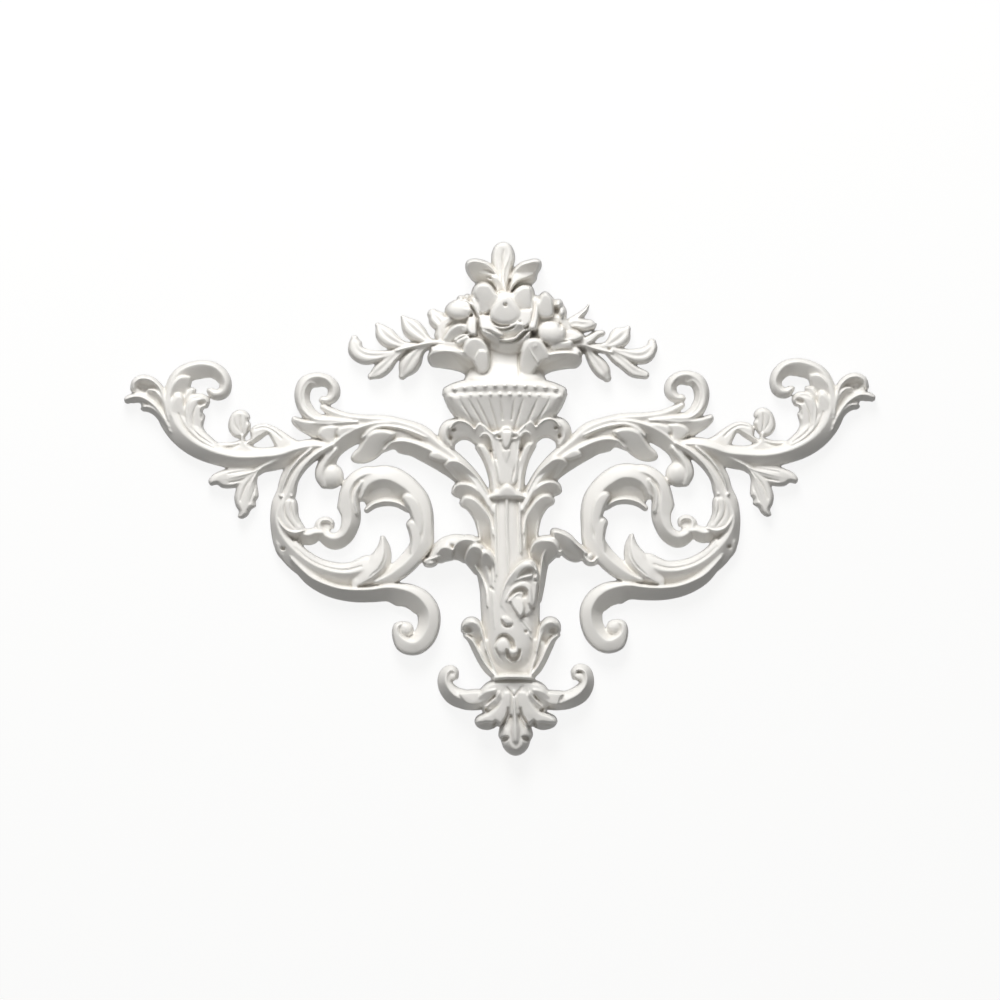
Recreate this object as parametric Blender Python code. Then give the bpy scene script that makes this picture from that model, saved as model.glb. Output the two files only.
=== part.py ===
"""Wall applique ornament: one casting with a flat back, modelled in metres with +Z up.

The front faces -Y, the flat back is the plane y = 0, and the origin is the fixing point on the back, behind
the collar of the stem. The relief is drawn in millimetres on a sheet, with x to the right and y down. Every
form on the sheet is a ridge, a dome or a petal. A ridge is a smooth path with stations (x, y, width to the
left, width to the right, height of the crest over the back), and each side of it has one of the named
profiles. A petal is a face inside an outline. Widths and outlines are measured at the foot of the wall. The
casting is the highest of all the forms at every place, and it is planed flat at the back.
"""

from __future__ import annotations

import math
from dataclasses import dataclass, replace

import bpy
import numpy as np

MM = 0.001
FIXING = (507.0, 490.0)  # the place on the sheet that becomes the origin
SHEET = (112.0, 232.0, 888.0, 768.0)  # left, top, right and bottom of the drawing
GRID = 1.0  # spacing of the heights over the sheet
STEP = 2.0  # spacing along a smoothed path
FLOOR = -3.0  # depth to which the walls run behind the back before it is planed
SLAB = 6.0  # thickness of the blank behind the floor
DRAFT = 9.0  # fall of a wall for each millimetre outwards, so that the casting leaves its mould
WALL = 1.5  # most that a wall takes of a width
PETAL_WALL = 0.5  # how far inside a petal's outline its wall stands
LOOP_PARTS = 4  # pieces of a smoothed outline for each of its corners
PROFILE_MARKS = 5  # places at which a profile is given, from the crest to the edge
THINNEST = 0.3  # least width and height of a smoothed ridge
SAMPLES = 16  # places worked out on a ridge for each station before they are spaced evenly
RIDGE_WALL, DOME_WALL = 0.4, 0.3  # most that a wall takes of a ridge side and of a dome, as shares
ROUNDING = 1.6  # power by which a bevel rounds over
BEAD_FOOT = 0.72  # share of a bead's height that its wall takes
FACES = 7700  # triangles of the blank before the back is planed
WHITE = (0.86, 0.85, 0.83, 1.0)


@dataclass(frozen=True)
class BeadRow:
    """A row of beads on the rim: its middle, half its length, and how it sags and falls back to the sides."""

    count: int
    x: float
    y: float
    reach: float
    sag: float
    half_width: float
    half_height: float
    high: float
    fall: float


BEAD_ROWS = (
    BeadRow(11, 505.0, 385.0, 49.5, 3.0, 6.2, 4.9, 43.0, 3.4),
    BeadRow(12, 505.0, 393.2, 53.5, 2.0, 6.0, 5.0, 41.7, 3.4),
)

# The right arm is the left arm turned over, a little shorter and leaning outwards below LEVEL.
MIDDLE, SHARE, LEAN, LEVEL, LIFT = 505.0, 0.974, 0.058, 410.0, 2.0

# Height across one side of a ridge, from the crest to the edge, as shares of the crest's height.
PROFILES = {
    "slope": (1.0, 0.86, 0.70, 0.53, 0.36),
    "round": (1.0, 0.97, 0.88, 0.70, 0.40),
    "full": (1.0, 0.99, 0.95, 0.84, 0.55),
    "gentle": (1.0, 0.97, 0.92, 0.86, 0.76),
    "leaf": (1.0, 1.0, 0.97, 0.82, 0.30),
    "under": (1.0, 0.80, 0.60, 0.40, 0.22),
}


def twin_place(x: float, y: float) -> tuple[float, float]:
    """The place in the right arm that answers a place in the left arm."""
    return MIDDLE + (MIDDLE - x) * SHARE + LEAN * (y - LEVEL), y - LIFT


def knots_of(rows: np.ndarray) -> np.ndarray:
    """Centripetal knots of rows (x, y, ...): running sums of the roots of the chords."""
    return np.concatenate([[0.0], np.cumsum(np.sqrt(np.hypot(*np.diff(rows[:, :2], axis=0).T)))])


def cubic(rows: np.ndarray, knots: np.ndarray, at: np.ndarray) -> np.ndarray:
    """A smooth curve through rows, read at places on its knots, by cubic pieces."""
    slopes = np.gradient(rows, knots, axis=0)
    k = np.clip(np.searchsorted(knots, at, side="right") - 1, 0, len(rows) - 2)
    span = (knots[k + 1] - knots[k])[:, None]
    t = (at - knots[k])[:, None] / span
    near = (1 + 2 * t) * (1 - t) ** 2 * rows[k] + t * (1 - t) ** 2 * span * slopes[k]
    return near + t * t * (3 - 2 * t) * rows[k + 1] + t * t * (t - 1) * span * slopes[k + 1]


def smooth_path(stations: list[tuple]) -> np.ndarray:
    """A curve through the stations of a ridge, as rows at even spacing."""
    rows = np.asarray(stations, float)
    knots = knots_of(rows)
    curve = cubic(rows, knots, np.linspace(0.0, knots[-1], SAMPLES * len(rows)))
    curve[:, 2:] = np.maximum(curve[:, 2:], THINNEST)
    run = np.concatenate([[0.0], np.cumsum(np.hypot(*np.diff(curve[:, :2], axis=0).T))])
    even = np.linspace(0.0, run[-1], max(4, int(run[-1] / STEP) + 1))
    return np.stack([np.interp(even, run, column) for column in curve.T], axis=1)


def smooth_loop(corners: list[tuple]) -> np.ndarray:
    """A closed curve through the corners of an outline."""
    rows = np.asarray(corners, float)
    n = len(rows)
    ring = rows[np.arange(-2, n + 3) % n]
    knots = knots_of(ring)
    return cubic(ring, knots, np.linspace(knots[2], knots[n + 2], LOOP_PARTS * n, endpoint=False))


@dataclass(frozen=True)
class Ridge:
    """A moulded ridge along a smooth path, with a profile to each side."""

    left: str
    right: str
    stations: list[tuple]
    square_ends: bool = False
    cut: bool = False

    def twin(self) -> Ridge:
        """The same ridge in the right arm, where its sides change places."""
        stations = [(*twin_place(x, y), right, left, high) for x, y, left, right, high in self.stations]
        return replace(self, left=self.right, right=self.left, stations=stations)

    def reach(self) -> tuple[float, float, float, float]:
        """The rectangle of the sheet that the ridge can touch."""
        path = smooth_path(self.stations)
        wide = path[:, 2:4].max() + path[:, 4].max() / DRAFT + GRID
        return (*(path[:, :2].min(axis=0) - wide), *(path[:, :2].max(axis=0) + wide))

    def heights(self, x: np.ndarray, y: np.ndarray) -> np.ndarray:
        """The height of the ridge over every place: the profile's share of the crest, then the wall."""
        path = smooth_path(self.stations)
        nearest = np.full(x.shape, np.inf)
        side = np.zeros(x.shape)
        rows = np.zeros((*x.shape, 3))
        for a, b in zip(path[:-1], path[1:]):
            run = b[:2] - a[:2]
            u = np.clip(((x - a[0]) * run[0] + (y - a[1]) * run[1]) / (run @ run), 0.0, 1.0)
            off = (x - a[0] - u * run[0]) ** 2 + (y - a[1] - u * run[1]) ** 2
            closer = off < nearest
            nearest[closer] = off[closer]
            side[closer] = (run[0] * (y - a[1]) - run[1] * (x - a[0]))[closer]
            rows[closer] = a[2:] + u[closer][:, None] * (b - a)[2:]
        distance = np.sqrt(nearest)
        before = side < 0
        marks = np.linspace(0.0, 1.0, PROFILE_MARKS)
        wide = np.where(before, rows[..., 0], rows[..., 1])
        if not self.cut:
            edge = rows[..., 2] * np.where(before, PROFILES[self.left][-1], PROFILES[self.right][-1])
            wide = wide - np.minimum(np.minimum(edge / DRAFT, WALL), RIDGE_WALL * wide)
        t = np.clip(distance / wide, 0.0, 1.0)
        share_left = np.interp(t, marks, PROFILES[self.left])
        share_right = np.interp(t, marks, PROFILES[self.right])
        high = rows[..., 2] * np.where(before, share_left, share_right)
        past = np.maximum(distance - wide, 0.0)
        if self.square_ends:
            for end, inner in ((path[0], path[1]), (path[-1], path[-2])):
                way = (end - inner)[:2] / np.hypot(*(end - inner)[:2])
                past = np.maximum(past, (x - end[0]) * way[0] + (y - end[1]) * way[1])
        return high - DRAFT * past


@dataclass(frozen=True)
class Dome:
    """A rounded boss on an oval foot.

    Its wall takes `foot` of the height, its cap the rest, and `lean` is its rise a millimetre right and down.
    """

    x: float
    y: float
    half_width: float
    half_height: float
    high: float
    turn: float = 0.0
    foot: float = 0.45
    lean: tuple[float, float] = (0.0, 0.0)
    cut: bool = False

    def twin(self) -> Dome:
        """The same dome in the right arm."""
        x, y = twin_place(self.x, self.y)
        return replace(self, x=x, y=y, turn=-self.turn, lean=(-self.lean[0], self.lean[1]))

    def reach(self) -> tuple[float, float, float, float]:
        """The rectangle of the sheet that the dome can touch."""
        wide = max(self.half_width, self.half_height) + self.high / DRAFT + GRID
        return self.x - wide, self.y - wide, self.x + wide, self.y + wide

    def heights(self, x: np.ndarray, y: np.ndarray) -> np.ndarray:
        """The height of the dome over every place: a half ellipsoid on its foot, then the drafted wall."""
        c, s = math.cos(math.radians(self.turn)), math.sin(math.radians(self.turn))
        small = min(self.half_width, self.half_height)
        wall = 0.0 if self.cut else min(self.high * self.foot / DRAFT, WALL, DOME_WALL * small)
        across = ((x - self.x) * c + (y - self.y) * s) / (self.half_width - wall)
        along = ((y - self.y) * c - (x - self.x) * s) / (self.half_height - wall)
        radius = np.hypot(across, along)
        cap = np.sqrt(np.maximum(1.0 - radius**2, 0.0))
        past = np.maximum(radius - 1.0, 0.0) * (small - wall)
        leaned = (x - self.x) * self.lean[0] + (y - self.y) * self.lean[1]
        return self.high * (self.foot + (1.0 - self.foot) * cap) + leaned - DRAFT * past


@dataclass(frozen=True)
class Petal:
    """A face inside an outline, level or leaning, rounded down at its edge by a bevel."""

    outline: list[tuple]
    high: float
    lean: tuple[float, float] = (0.0, 0.0)
    bevel: tuple[float, float] = (2.0, 2.0)
    cut: bool = False

    def twin(self) -> Petal:
        """The same petal in the right arm."""
        outline = [twin_place(x, y) for x, y in self.outline]
        return replace(self, outline=outline, lean=(-self.lean[0], self.lean[1]))

    def reach(self) -> tuple[float, float, float, float]:
        """The rectangle of the sheet that the petal can touch."""
        places = np.array(self.outline)
        wide = 2 * GRID + (self.high - FLOOR) / DRAFT
        return (*(places.min(axis=0) - wide), *(places.max(axis=0) + wide))

    def heights(self, x: np.ndarray, y: np.ndarray) -> np.ndarray:
        """The height of the petal over every place: a leaning plane less the bevel, then the drafted wall."""
        loop = smooth_loop(self.outline)
        nearest = np.full(x.shape, np.inf)
        inside = np.zeros(x.shape, bool)
        for a, b in zip(loop, np.roll(loop, -1, axis=0)):
            run = b - a
            u = np.clip(((x - a[0]) * run[0] + (y - a[1]) * run[1]) / (run @ run), 0.0, 1.0)
            nearest = np.minimum(nearest, (x - a[0] - u * run[0]) ** 2 + (y - a[1] - u * run[1]) ** 2)
            up = np.sign(run[1])
            spans = (a[1] > y) != (b[1] > y)
            inside ^= spans & ((x - a[0]) * run[1] * up < (y - a[1]) * run[0] * up)
        middle = np.mean(self.outline, axis=0)
        leaned = self.high + (x - middle[0]) * self.lean[0] + (y - middle[1]) * self.lean[1]
        edge = np.where(inside, -1.0, 1.0) * np.sqrt(nearest) + PETAL_WALL
        through = np.clip(1.0 + edge / self.bevel[0], 0.0, 1.0)
        return leaned - self.bevel[1] * through**ROUNDING - DRAFT * np.maximum(edge, 0.0)


def wing() -> list:
    """Band of the wing, its hook and the lobes that fill the hook."""
    return [
        Ridge("slope", "gentle", [(326, 446, 6, 5, 17), (310, 447, 11, 8, 21), (296, 450, 12, 8, 22),
             (280, 455, 12, 7, 21), (262, 457, 12, 7, 20), (240, 457.5, 12.5, 7, 20),
             (220, 454, 12, 9, 20), (202, 447, 13, 14, 19), (187, 437, 13.5, 16, 18),
             (176, 424, 14, 14, 17), (170, 410, 14, 10, 16), (167, 398, 8, 6, 14)]),
        Ridge("round", "slope", [(172, 416, 5, 12, 17), (168, 402, 4, 12, 17), (170.5, 387, 5, 14, 17),
             (177.5, 375, 5.5, 14, 17), (189, 367.5, 5, 14, 17), (203, 364.5, 4.5, 14.5, 17),
             (215, 367.5, 5, 12, 17), (223, 375.5, 6, 9, 16.5), (226, 384, 6, 7, 16),
             (222.5, 391, 8, 5, 15), (216, 393, 7.5, 3.5, 14), (211.5, 390.5, 5, 3, 12.5)]),
        Petal([(171, 404), (171.5, 390), (176, 381), (182.5, 376.5), (189.5, 377.5), (191.3, 382.5),
             (188.5, 390), (184.5, 398), (181, 407), (175, 412)], 12, lean=(-0.5, -0.6), bevel=(1, 1)),
        Ridge("round", "round", [(172, 414, 2.5, 3, 16.5), (170.5, 400, 2.5, 3, 17.3),
             (173, 388, 2.5, 3, 17.3), (178, 380.5, 2.5, 3, 17), (184, 377, 2.5, 2.5, 16.5),
             (189.5, 378, 2.2, 2.2, 15)]),
        Petal([(173, 414), (173, 404), (176, 397.5), (180, 395), (183.5, 398), (185, 406), (188, 415),
             (191, 424), (185, 430), (177, 423)], 15, lean=(-0.12, -0.2), bevel=(1.5, 2)),
        Ridge("round", "round", [(176, 424, 2.5, 2.5, 17), (172, 411, 2.5, 2.5, 17.3),
             (173, 401.5, 2.5, 2.5, 17), (177, 395, 2.5, 2.5, 16.5), (181.5, 394.3, 2.2, 2.2, 15.5),
             (183.3, 398, 1.8, 1.8, 14.5)]),
        Petal([(190, 424), (188, 410), (190.5, 401.5), (197, 398), (204, 398.5), (207, 403), (204, 408),
             (202, 412), (205, 416), (204, 421), (203, 427), (208, 437), (200, 438),
             (193, 432)], 13.5, lean=(-0.25, -0.35), bevel=(1.2, 1.8)),
        Ridge("round", "round", [(191, 430, 2.5, 2.5, 16.5), (187.5, 418, 2.5, 2.5, 16.8),
             (187, 408, 2.5, 2.5, 16.8), (190, 400, 2.5, 2.5, 16.5), (196, 396.5, 2.8, 2.8, 16),
             (203, 397, 3, 3, 15.5), (207.3, 401.5, 3, 3, 14), (206, 406, 2.6, 2.6, 12)]),
        Ridge("gentle", "round", [(228, 450, 6, 5, 14), (216, 447, 6, 4, 14.5), (208, 441, 6, 3, 15)]),
    ]


def wing_tip() -> list:
    """Half-open flower at the outer end of the wing."""
    return [
        Petal([(131, 385), (136, 377.5), (147, 376), (156, 379), (162, 387), (165.5, 397), (169, 412),
             (173, 424), (169, 432), (161, 421), (152, 411), (143, 409), (139, 402), (128.5, 402),
             (127, 399), (134, 395), (131.5, 391)], 8.5, bevel=(2, 3)),
        Ridge("under", "round", [(167.5, 416, 4, 4, 17), (164.5, 400, 5, 3.5, 17),
             (160, 388, 6, 3.5, 17.5), (152, 380.8, 6.5, 4, 18), (143, 379, 6.5, 4.5, 17.5),
             (136, 382.5, 6.5, 4.5, 16), (134.5, 388.5, 5.5, 4.5, 14)]),
        Dome(145.5, 388, 6, 4, 6, turn=20, cut=True),
        Ridge("under", "round", [(168.5, 420, 3, 3, 16), (165.5, 408, 5, 3, 16), (161, 397, 7.5, 3, 16),
             (155, 391, 7.5, 3, 15.5), (149.5, 390.5, 5, 2.5, 14.5)]),
        Ridge("under", "round", [(169, 427, 3, 3, 15), (162, 415, 5, 4, 15), (155, 406, 5.5, 4, 15),
             (147, 400, 6, 4, 15), (139, 397, 6, 4, 15), (131, 398, 6, 4, 14.5),
             (128, 399.5, 4.5, 4, 13)]),
        Ridge("under", "round", [(170.5, 432, 3, 3, 13), (163.5, 420.5, 4, 4, 13), (156, 411, 5, 4, 13),
             (149, 407, 5.5, 3.5, 12.5), (145, 407, 5, 3, 12)]),
    ]


def wing_branch() -> list:
    """Twig on top of the wing with its leaves."""
    return [
        Petal([(243.5, 437.5), (236, 438), (231, 434), (228.3, 427), (229.5, 419), (232.5, 413.5),
             (238, 410), (244, 410.5), (248, 413), (250.3, 418), (248.5, 420.5), (250.8, 424.5),
             (249, 430), (247, 435)], 12.5, lean=(0, -0.05), bevel=(3, 4)),
        Ridge("round", "round", [(243, 436, 2.4, 2.4, 13), (243, 442, 2.6, 2.6, 13),
             (248.5, 447.5, 3, 3, 13.5), (260, 450.5, 3, 3, 14), (275, 449.5, 3, 3, 15),
             (290, 448, 4, 4, 16)]),
        Petal([(217, 445), (222, 442.5), (232, 442.5), (242, 440.5), (249, 446), (262, 449.5), (262, 457),
             (240, 458), (222, 455)], 12.5, lean=(0.05, 0.12), bevel=(2, 2.5)),
        Petal([(250.5, 432), (254.5, 425.8), (264, 423.6), (273, 426), (282, 431), (292, 438), (304, 445),
             (298, 450), (284, 449.5), (277, 448), (272.5, 441), (268.5, 434.5), (265, 432.5), (258, 436),
             (252, 438.5)], 13, lean=(0.05, 0.1), bevel=(2.5, 3.5)),
    ]


def wing_sprig() -> list:
    """Two leaves that hang from the root of the wing."""
    return [
        Ridge("slope", "round", [(322, 446, 4, 3, 20), (308, 448, 6, 3, 20), (296, 452, 9, 3, 19),
             (284, 457, 11, 3, 18), (272, 462.5, 9, 3, 17), (262, 467.5, 6, 3, 15), (256, 472, 5, 5, 13)]),
        Petal([(266, 465.5), (258, 469), (250, 468), (240, 467.5), (229, 468.5), (219, 471.5),
             (211.5, 476), (208.3, 481.5), (211, 485.8), (217, 484.8), (222, 488), (231, 488.5),
             (241, 486), (249, 481.5), (257, 475)], 12.5, lean=(0, -0.1), bevel=(4, 5)),
        Ridge("round", "round", [(264, 467, 1.3, 1.3, 15), (250, 473, 1.4, 1.4, 15.3),
             (235, 477, 1.3, 1.3, 14.5), (219, 480, 1, 1, 12.5)]),
        Petal([(263, 467.5), (259, 474), (257, 482), (258, 490), (258.5, 497), (255.5, 502), (256.3, 506),
             (251, 510), (248, 515.5), (242, 519), (237.8, 517), (239, 512), (235.8, 506), (234.3, 498),
             (236, 490), (240, 481), (247, 474), (255, 469.5)], 12.5, lean=(0, -0.03), bevel=(4, 5)),
        Ridge("round", "round", [(262, 468, 1.3, 1.3, 15), (254, 479, 1.4, 1.4, 15.3),
             (249, 492, 1.3, 1.3, 14.5), (244.5, 507, 1, 1, 12.5)]),
    ]


def volute() -> list:
    """Upright volute at the root of the wing."""
    return [
        Ridge("round", "slope", [(352, 421, 7, 6, 19), (332, 420, 7, 6, 19), (318, 419.5, 7, 6, 19),
             (307, 413, 6, 9, 18), (301.5, 403, 6, 9, 17), (301.5, 392, 7, 9, 17), (306, 382.5, 7, 9, 17),
             (315, 377, 4.5, 11, 17), (326, 379, 5, 9, 16), (333, 387, 6.5, 6, 15), (333, 395, 7, 6, 14),
             (327.5, 399.5, 6, 4, 13), (323, 399.5, 4.5, 3.5, 12)]),
        Ridge("round", "under", [(326, 420, 2.2, 3, 18.5), (313.5, 414, 2.2, 4.5, 18),
             (306.5, 405, 2.2, 5, 17), (304.5, 395, 2.2, 5, 16.5), (307, 387, 2.2, 5, 16.3),
             (311.5, 383, 2.2, 3.5, 15.5), (315.5, 385, 1.8, 2, 13)]),
    ]


def volute_leaf() -> list:
    """Leaf of three tongues that lies under the volute."""
    return [
        Petal([(292.3, 421.5), (293.5, 417.5), (299, 418.5), (308, 421.5), (320, 423), (335, 423.5),
             (350, 422.5), (366, 423), (372, 429), (358, 434), (348, 438), (341, 439), (337, 443.5),
             (330, 445.5), (324.5, 442.5), (321, 439), (313, 438), (305, 433.5),
             (297, 428)], 13.5, lean=(0, -0.6), bevel=(2, 2.5)),
        Petal([(317.5, 435), (320.5, 428.5), (327, 425.5), (334, 425), (341, 426.5), (338.5, 431),
             (336.5, 437), (336.5, 442.5), (330, 444.8), (324.5, 441.5),
             (320.5, 438.5)], 17.5, lean=(-0.05, -0.28), bevel=(2.5, 4)),
        Petal([(336.5, 433.5), (339, 428), (345, 425.5), (353, 424.5), (363, 426), (357, 430),
             (352, 434.5), (347, 437.5), (341, 438.5),
             (337.5, 437)], 18.5, lean=(-0.05, -0.28), bevel=(2.5, 4)),
        Ridge("round", "round", [(294, 420, 2, 2, 15.5), (301, 420.5, 2.2, 2.6, 17.5),
             (312, 423, 2.2, 2.8, 18.5), (326, 424, 2.2, 2.8, 19), (342, 423, 2.2, 2.8, 19.5),
             (358, 422, 2.2, 2.8, 20)]),
    ]


def arch() -> list:
    """Long acanthus arch from the volute down to the stem."""
    return [
        Ridge("round", "gentle", [(324, 407, 3, 4, 13), (331, 411, 4, 5, 15), (345, 416, 4, 6, 17),
             (365, 418.5, 4, 7, 19), (385, 420, 5, 7, 20), (404, 424, 5, 8, 21), (422, 431, 6, 9, 22),
             (440, 445, 5, 9, 23), (458, 459, 5, 9, 24), (474, 476, 5, 9, 25), (487, 495, 4, 8, 26),
             (494, 512, 4, 6, 28)]),
        Ridge("under", "round", [(398, 424, 5, 2, 20.5), (382, 423, 13, 4, 21.5),
             (364, 426.5, 15, 4, 20.5), (350, 432.5, 14, 4, 19.5), (338, 441, 13, 4, 18.5),
             (329.5, 450.5, 12, 4, 17), (325, 460, 12, 4, 16), (323, 468, 12, 4, 15)]),
        Petal([(317.5, 470), (321, 463), (329, 461), (336, 464), (342.5, 468), (344.8, 476),
             (341.5, 484.5), (333, 489.7), (325, 488.5), (319.3, 483), (316.8, 476)], 15, bevel=(7.5, 9)),
        Petal([(363.5, 440), (368, 434), (377, 430), (388, 430), (396, 434), (392, 440), (386, 445),
             (383, 452), (377.5, 458), (370, 462.8), (361, 465), (353, 463.5), (349.8, 459), (352, 453.5),
             (358, 448)], 15.5, lean=(0.1, -0.45), bevel=(2.5, 4)),
        Ridge("under", "round", [(426, 438, 3, 4, 23.5), (410, 431.5, 4, 5, 23), (396, 428, 4, 5, 22.5),
             (382, 427, 4, 5, 22), (371, 431, 4, 5, 21), (364.5, 437.5, 3.5, 4, 19)]),
        Petal([(378, 438), (384, 430), (400, 431), (416, 436), (430, 445), (419, 446), (405, 443),
             (393, 444), (386, 447)], 15, lean=(0, -0.35), bevel=(1, 1)),
        Ridge("gentle", "under", [(386, 450, 4, 2, 18), (391, 443.5, 3.5, 9, 20.5),
             (402, 441.3, 4.5, 13, 22), (415, 444, 5.5, 13, 23), (428, 449.5, 6.5, 14, 24),
             (442, 456, 7, 15, 24), (458, 466, 7, 15, 25), (472, 480, 7, 13, 26), (483, 494, 6, 9, 27),
             (492, 512, 6, 7, 28)]),
        Petal([(445, 466), (449, 460.5), (457, 460), (467, 466), (478, 477), (488, 491), (492, 507),
             (484, 506), (474, 497), (463, 487), (454, 477),
             (448, 470)], 18.5, lean=(0.45, -1), bevel=(1, 1)),
        Ridge("round", "round", [(445, 465, 2, 2, 21.5), (447.5, 461.5, 2.3, 2.3, 23.5),
             (453, 459.8, 2.5, 2.5, 25), (461, 462, 2.6, 2.6, 26), (471, 470, 2.6, 2.6, 27),
             (480, 481, 2.6, 2.6, 28), (487, 493, 2.5, 2.5, 28.5)]),
        Petal([(453, 495), (456, 486), (463, 483), (472, 485.5), (481, 493), (489, 505), (493, 522),
             (484, 514), (474, 505), (463, 499.5)], 18, lean=(0.45, -0.9), bevel=(1, 1)),
        Ridge("round", "round", [(453.5, 493, 2.3, 2.3, 19.5), (455, 487.5, 2.5, 2.5, 22.5),
             (460, 483.8, 2.6, 2.6, 24.5), (467, 483.5, 2.6, 2.6, 25.5), (475, 487.5, 2.6, 2.6, 26.5),
             (482, 495.5, 2.6, 2.6, 27.5), (488, 506, 2.6, 2.6, 28)]),
        Petal([(461, 505), (465, 497), (473, 498), (482, 505.5), (489, 517), (492, 531), (492.5, 550),
             (487, 560), (481.5, 548), (478, 530), (473, 517),
             (467, 509)], 17.5, lean=(0.5, -0.6), bevel=(1, 1)),
        Ridge("round", "round", [(461.5, 503, 2.3, 2.3, 18.5), (464, 498, 2.5, 2.5, 22),
             (470, 496.8, 2.5, 2.5, 24), (478, 501, 2.5, 2.5, 25.5), (485, 509.5, 2.5, 2.5, 26.5),
             (490, 520, 2.5, 2.5, 27.3), (493, 535, 2.5, 2.5, 27.8)]),
    ]


def c_scroll() -> list:
    """Round scroll under the arch, its inner leaves and the lower scroll that ends in an eye."""
    return [
        Ridge("gentle", "slope", [(332, 445, 4, 5, 22), (314, 455, 6, 9, 21.5), (301, 467, 6, 12, 20),
             (293, 480, 6, 13, 19), (287, 494, 9, 11, 18), (280, 506, 8, 9, 18), (276.5, 518, 8, 6.5, 18),
             (278.5, 529, 8, 8, 18), (285, 540, 7, 13, 18), (295, 551, 8, 16, 18), (307, 560.5, 8, 17, 18),
             (321, 568, 8, 16, 18), (336, 572.5, 9, 14, 18), (352, 573, 11, 13, 18),
             (368, 568, 13, 13, 17)]),
        Ridge("round", "under", [(312, 449, 2.5, 3.5, 23.5), (299, 460, 2.8, 4, 23),
             (290, 472, 2.8, 4, 22), (284.5, 484, 2.5, 3.5, 20.5), (282, 493, 1.8, 2.5, 18.5)]),
        Ridge("round", "under", [(323, 449.5, 2.5, 3, 23), (311, 459.5, 2.5, 4, 22),
             (302, 470, 2.5, 4, 20.5), (296, 482, 2.2, 4, 19), (292.5, 492, 1.6, 2.5, 17)]),
        Petal([(284, 499), (290, 498), (295.5, 500), (297.5, 507), (298, 515), (301, 522), (304.5, 529),
             (299, 532.5), (291, 531), (284, 526.5), (280, 519.5), (279.5, 510),
             (281, 503)], 18, lean=(0, -0.05), bevel=(3, 4)),
        Ridge("under", "round", [(305, 530.5, 3, 2, 18), (296, 532.5, 7, 2.5, 21), (287, 530, 9, 2.5, 22),
             (280, 523, 9, 2.5, 22), (276, 514, 7, 2.5, 20)]),
        Ridge("under", "round", [(323, 533, 6, 5, 15), (316, 533, 9, 6, 15.5), (308, 535.5, 10, 7, 15.5),
             (301, 533, 8, 6, 15.5)]),
        Ridge("slope", "gentle", [(388, 475, 3, 2, 17), (370, 474, 5, 8, 19), (356, 481, 6, 9, 20),
             (350, 492, 9, 10, 20), (351, 505, 9, 14, 19), (352, 518, 9, 14, 18), (350, 526, 9, 12, 18),
             (344, 535, 10, 9, 17), (335, 539, 11, 8, 16), (327, 536.5, 9, 6, 15), (321, 531, 6, 4, 14),
             (318.5, 525, 4, 4, 13), (321.5, 520.5, 3, 3, 12), (327, 520, 3, 3, 11)]),
        Dome(327, 526, 7.5, 6.5, 14, foot=0.75),
        Ridge("under", "gentle", [(376, 581, 4, 4, 16), (388, 575, 6, 10, 18), (396, 569.5, 7, 12, 19),
             (406, 561.5, 8, 12, 20), (416, 550, 9, 12, 20), (422, 541, 11, 12, 20), (425, 528, 13, 9, 21),
             (423.5, 514, 13, 10, 21), (418.5, 502.5, 11, 12, 21), (410, 492.5, 14, 13, 21),
             (400, 485, 17, 14, 21), (390, 480, 18, 14, 21), (380, 479.5, 18, 14, 21),
             (371, 483, 15, 14, 20), (366, 489, 9, 10, 19), (363.5, 496, 6, 6, 17)]),
        Petal([(364, 505), (371, 492), (385, 488.5), (399, 491.5), (410, 500), (414, 517), (405, 511),
             (393, 506), (379, 507), (369, 512)], 7, lean=(0, -0.7), bevel=(1, 1)),
        Ridge("round", "under", [(367, 510, 3, 3.5, 13), (374, 504.5, 3.3, 4.5, 14.5),
             (385, 501.5, 3.3, 5, 15), (397, 503, 3.3, 4.5, 15), (408, 509, 3, 4, 15)]),
        Petal([(402.5, 498.5), (405, 494), (411, 494.5), (418, 500.5), (422.5, 511), (424.5, 524),
             (421.5, 536), (416, 529), (412, 518), (408, 508)], 22.5, lean=(0.12, -0.1), bevel=(2, 3)),
        Petal([(407, 524), (411, 519.5), (417, 524), (421.5, 533), (421.5, 545), (416.5, 555), (410, 554),
             (411, 541), (409, 531)], 20.5, lean=(0.12, -0.05), bevel=(2, 3)),
        Ridge("slope", "gentle", [(383, 538, 2.5, 3, 14), (385, 548, 5.5, 9, 17), (384, 559, 7.5, 14, 19),
             (379, 569, 8, 14, 20), (370, 578, 8, 14, 20), (361, 584, 3, 10, 18)]),
        Ridge("gentle", "under", [(292, 559, 6, 6, 16), (302, 569.5, 6, 7, 17), (312, 577.5, 5, 9, 18),
             (326, 584, 4, 11, 19), (340, 588, 3.5, 12, 19), (356, 589.5, 3.5, 13, 19),
             (372, 589, 3.5, 13.5, 19), (388, 587, 4, 15, 19), (400, 588.5, 6, 18, 19),
             (412, 592.5, 8, 18, 19), (422, 600, 10, 17, 19), (428.5, 611, 11, 13, 19),
             (428.5, 623, 12, 11, 18), (423, 635, 13.5, 9, 17), (414, 642, 13.5, 7, 17),
             (404.5, 639, 13, 5, 16), (398.5, 633, 7, 4, 15), (398.5, 626.5, 5, 4, 14),
             (402, 624, 3, 3, 12)]),
        Dome(406, 629, 7.6, 7.6, 13, foot=0.5),
    ]


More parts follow.
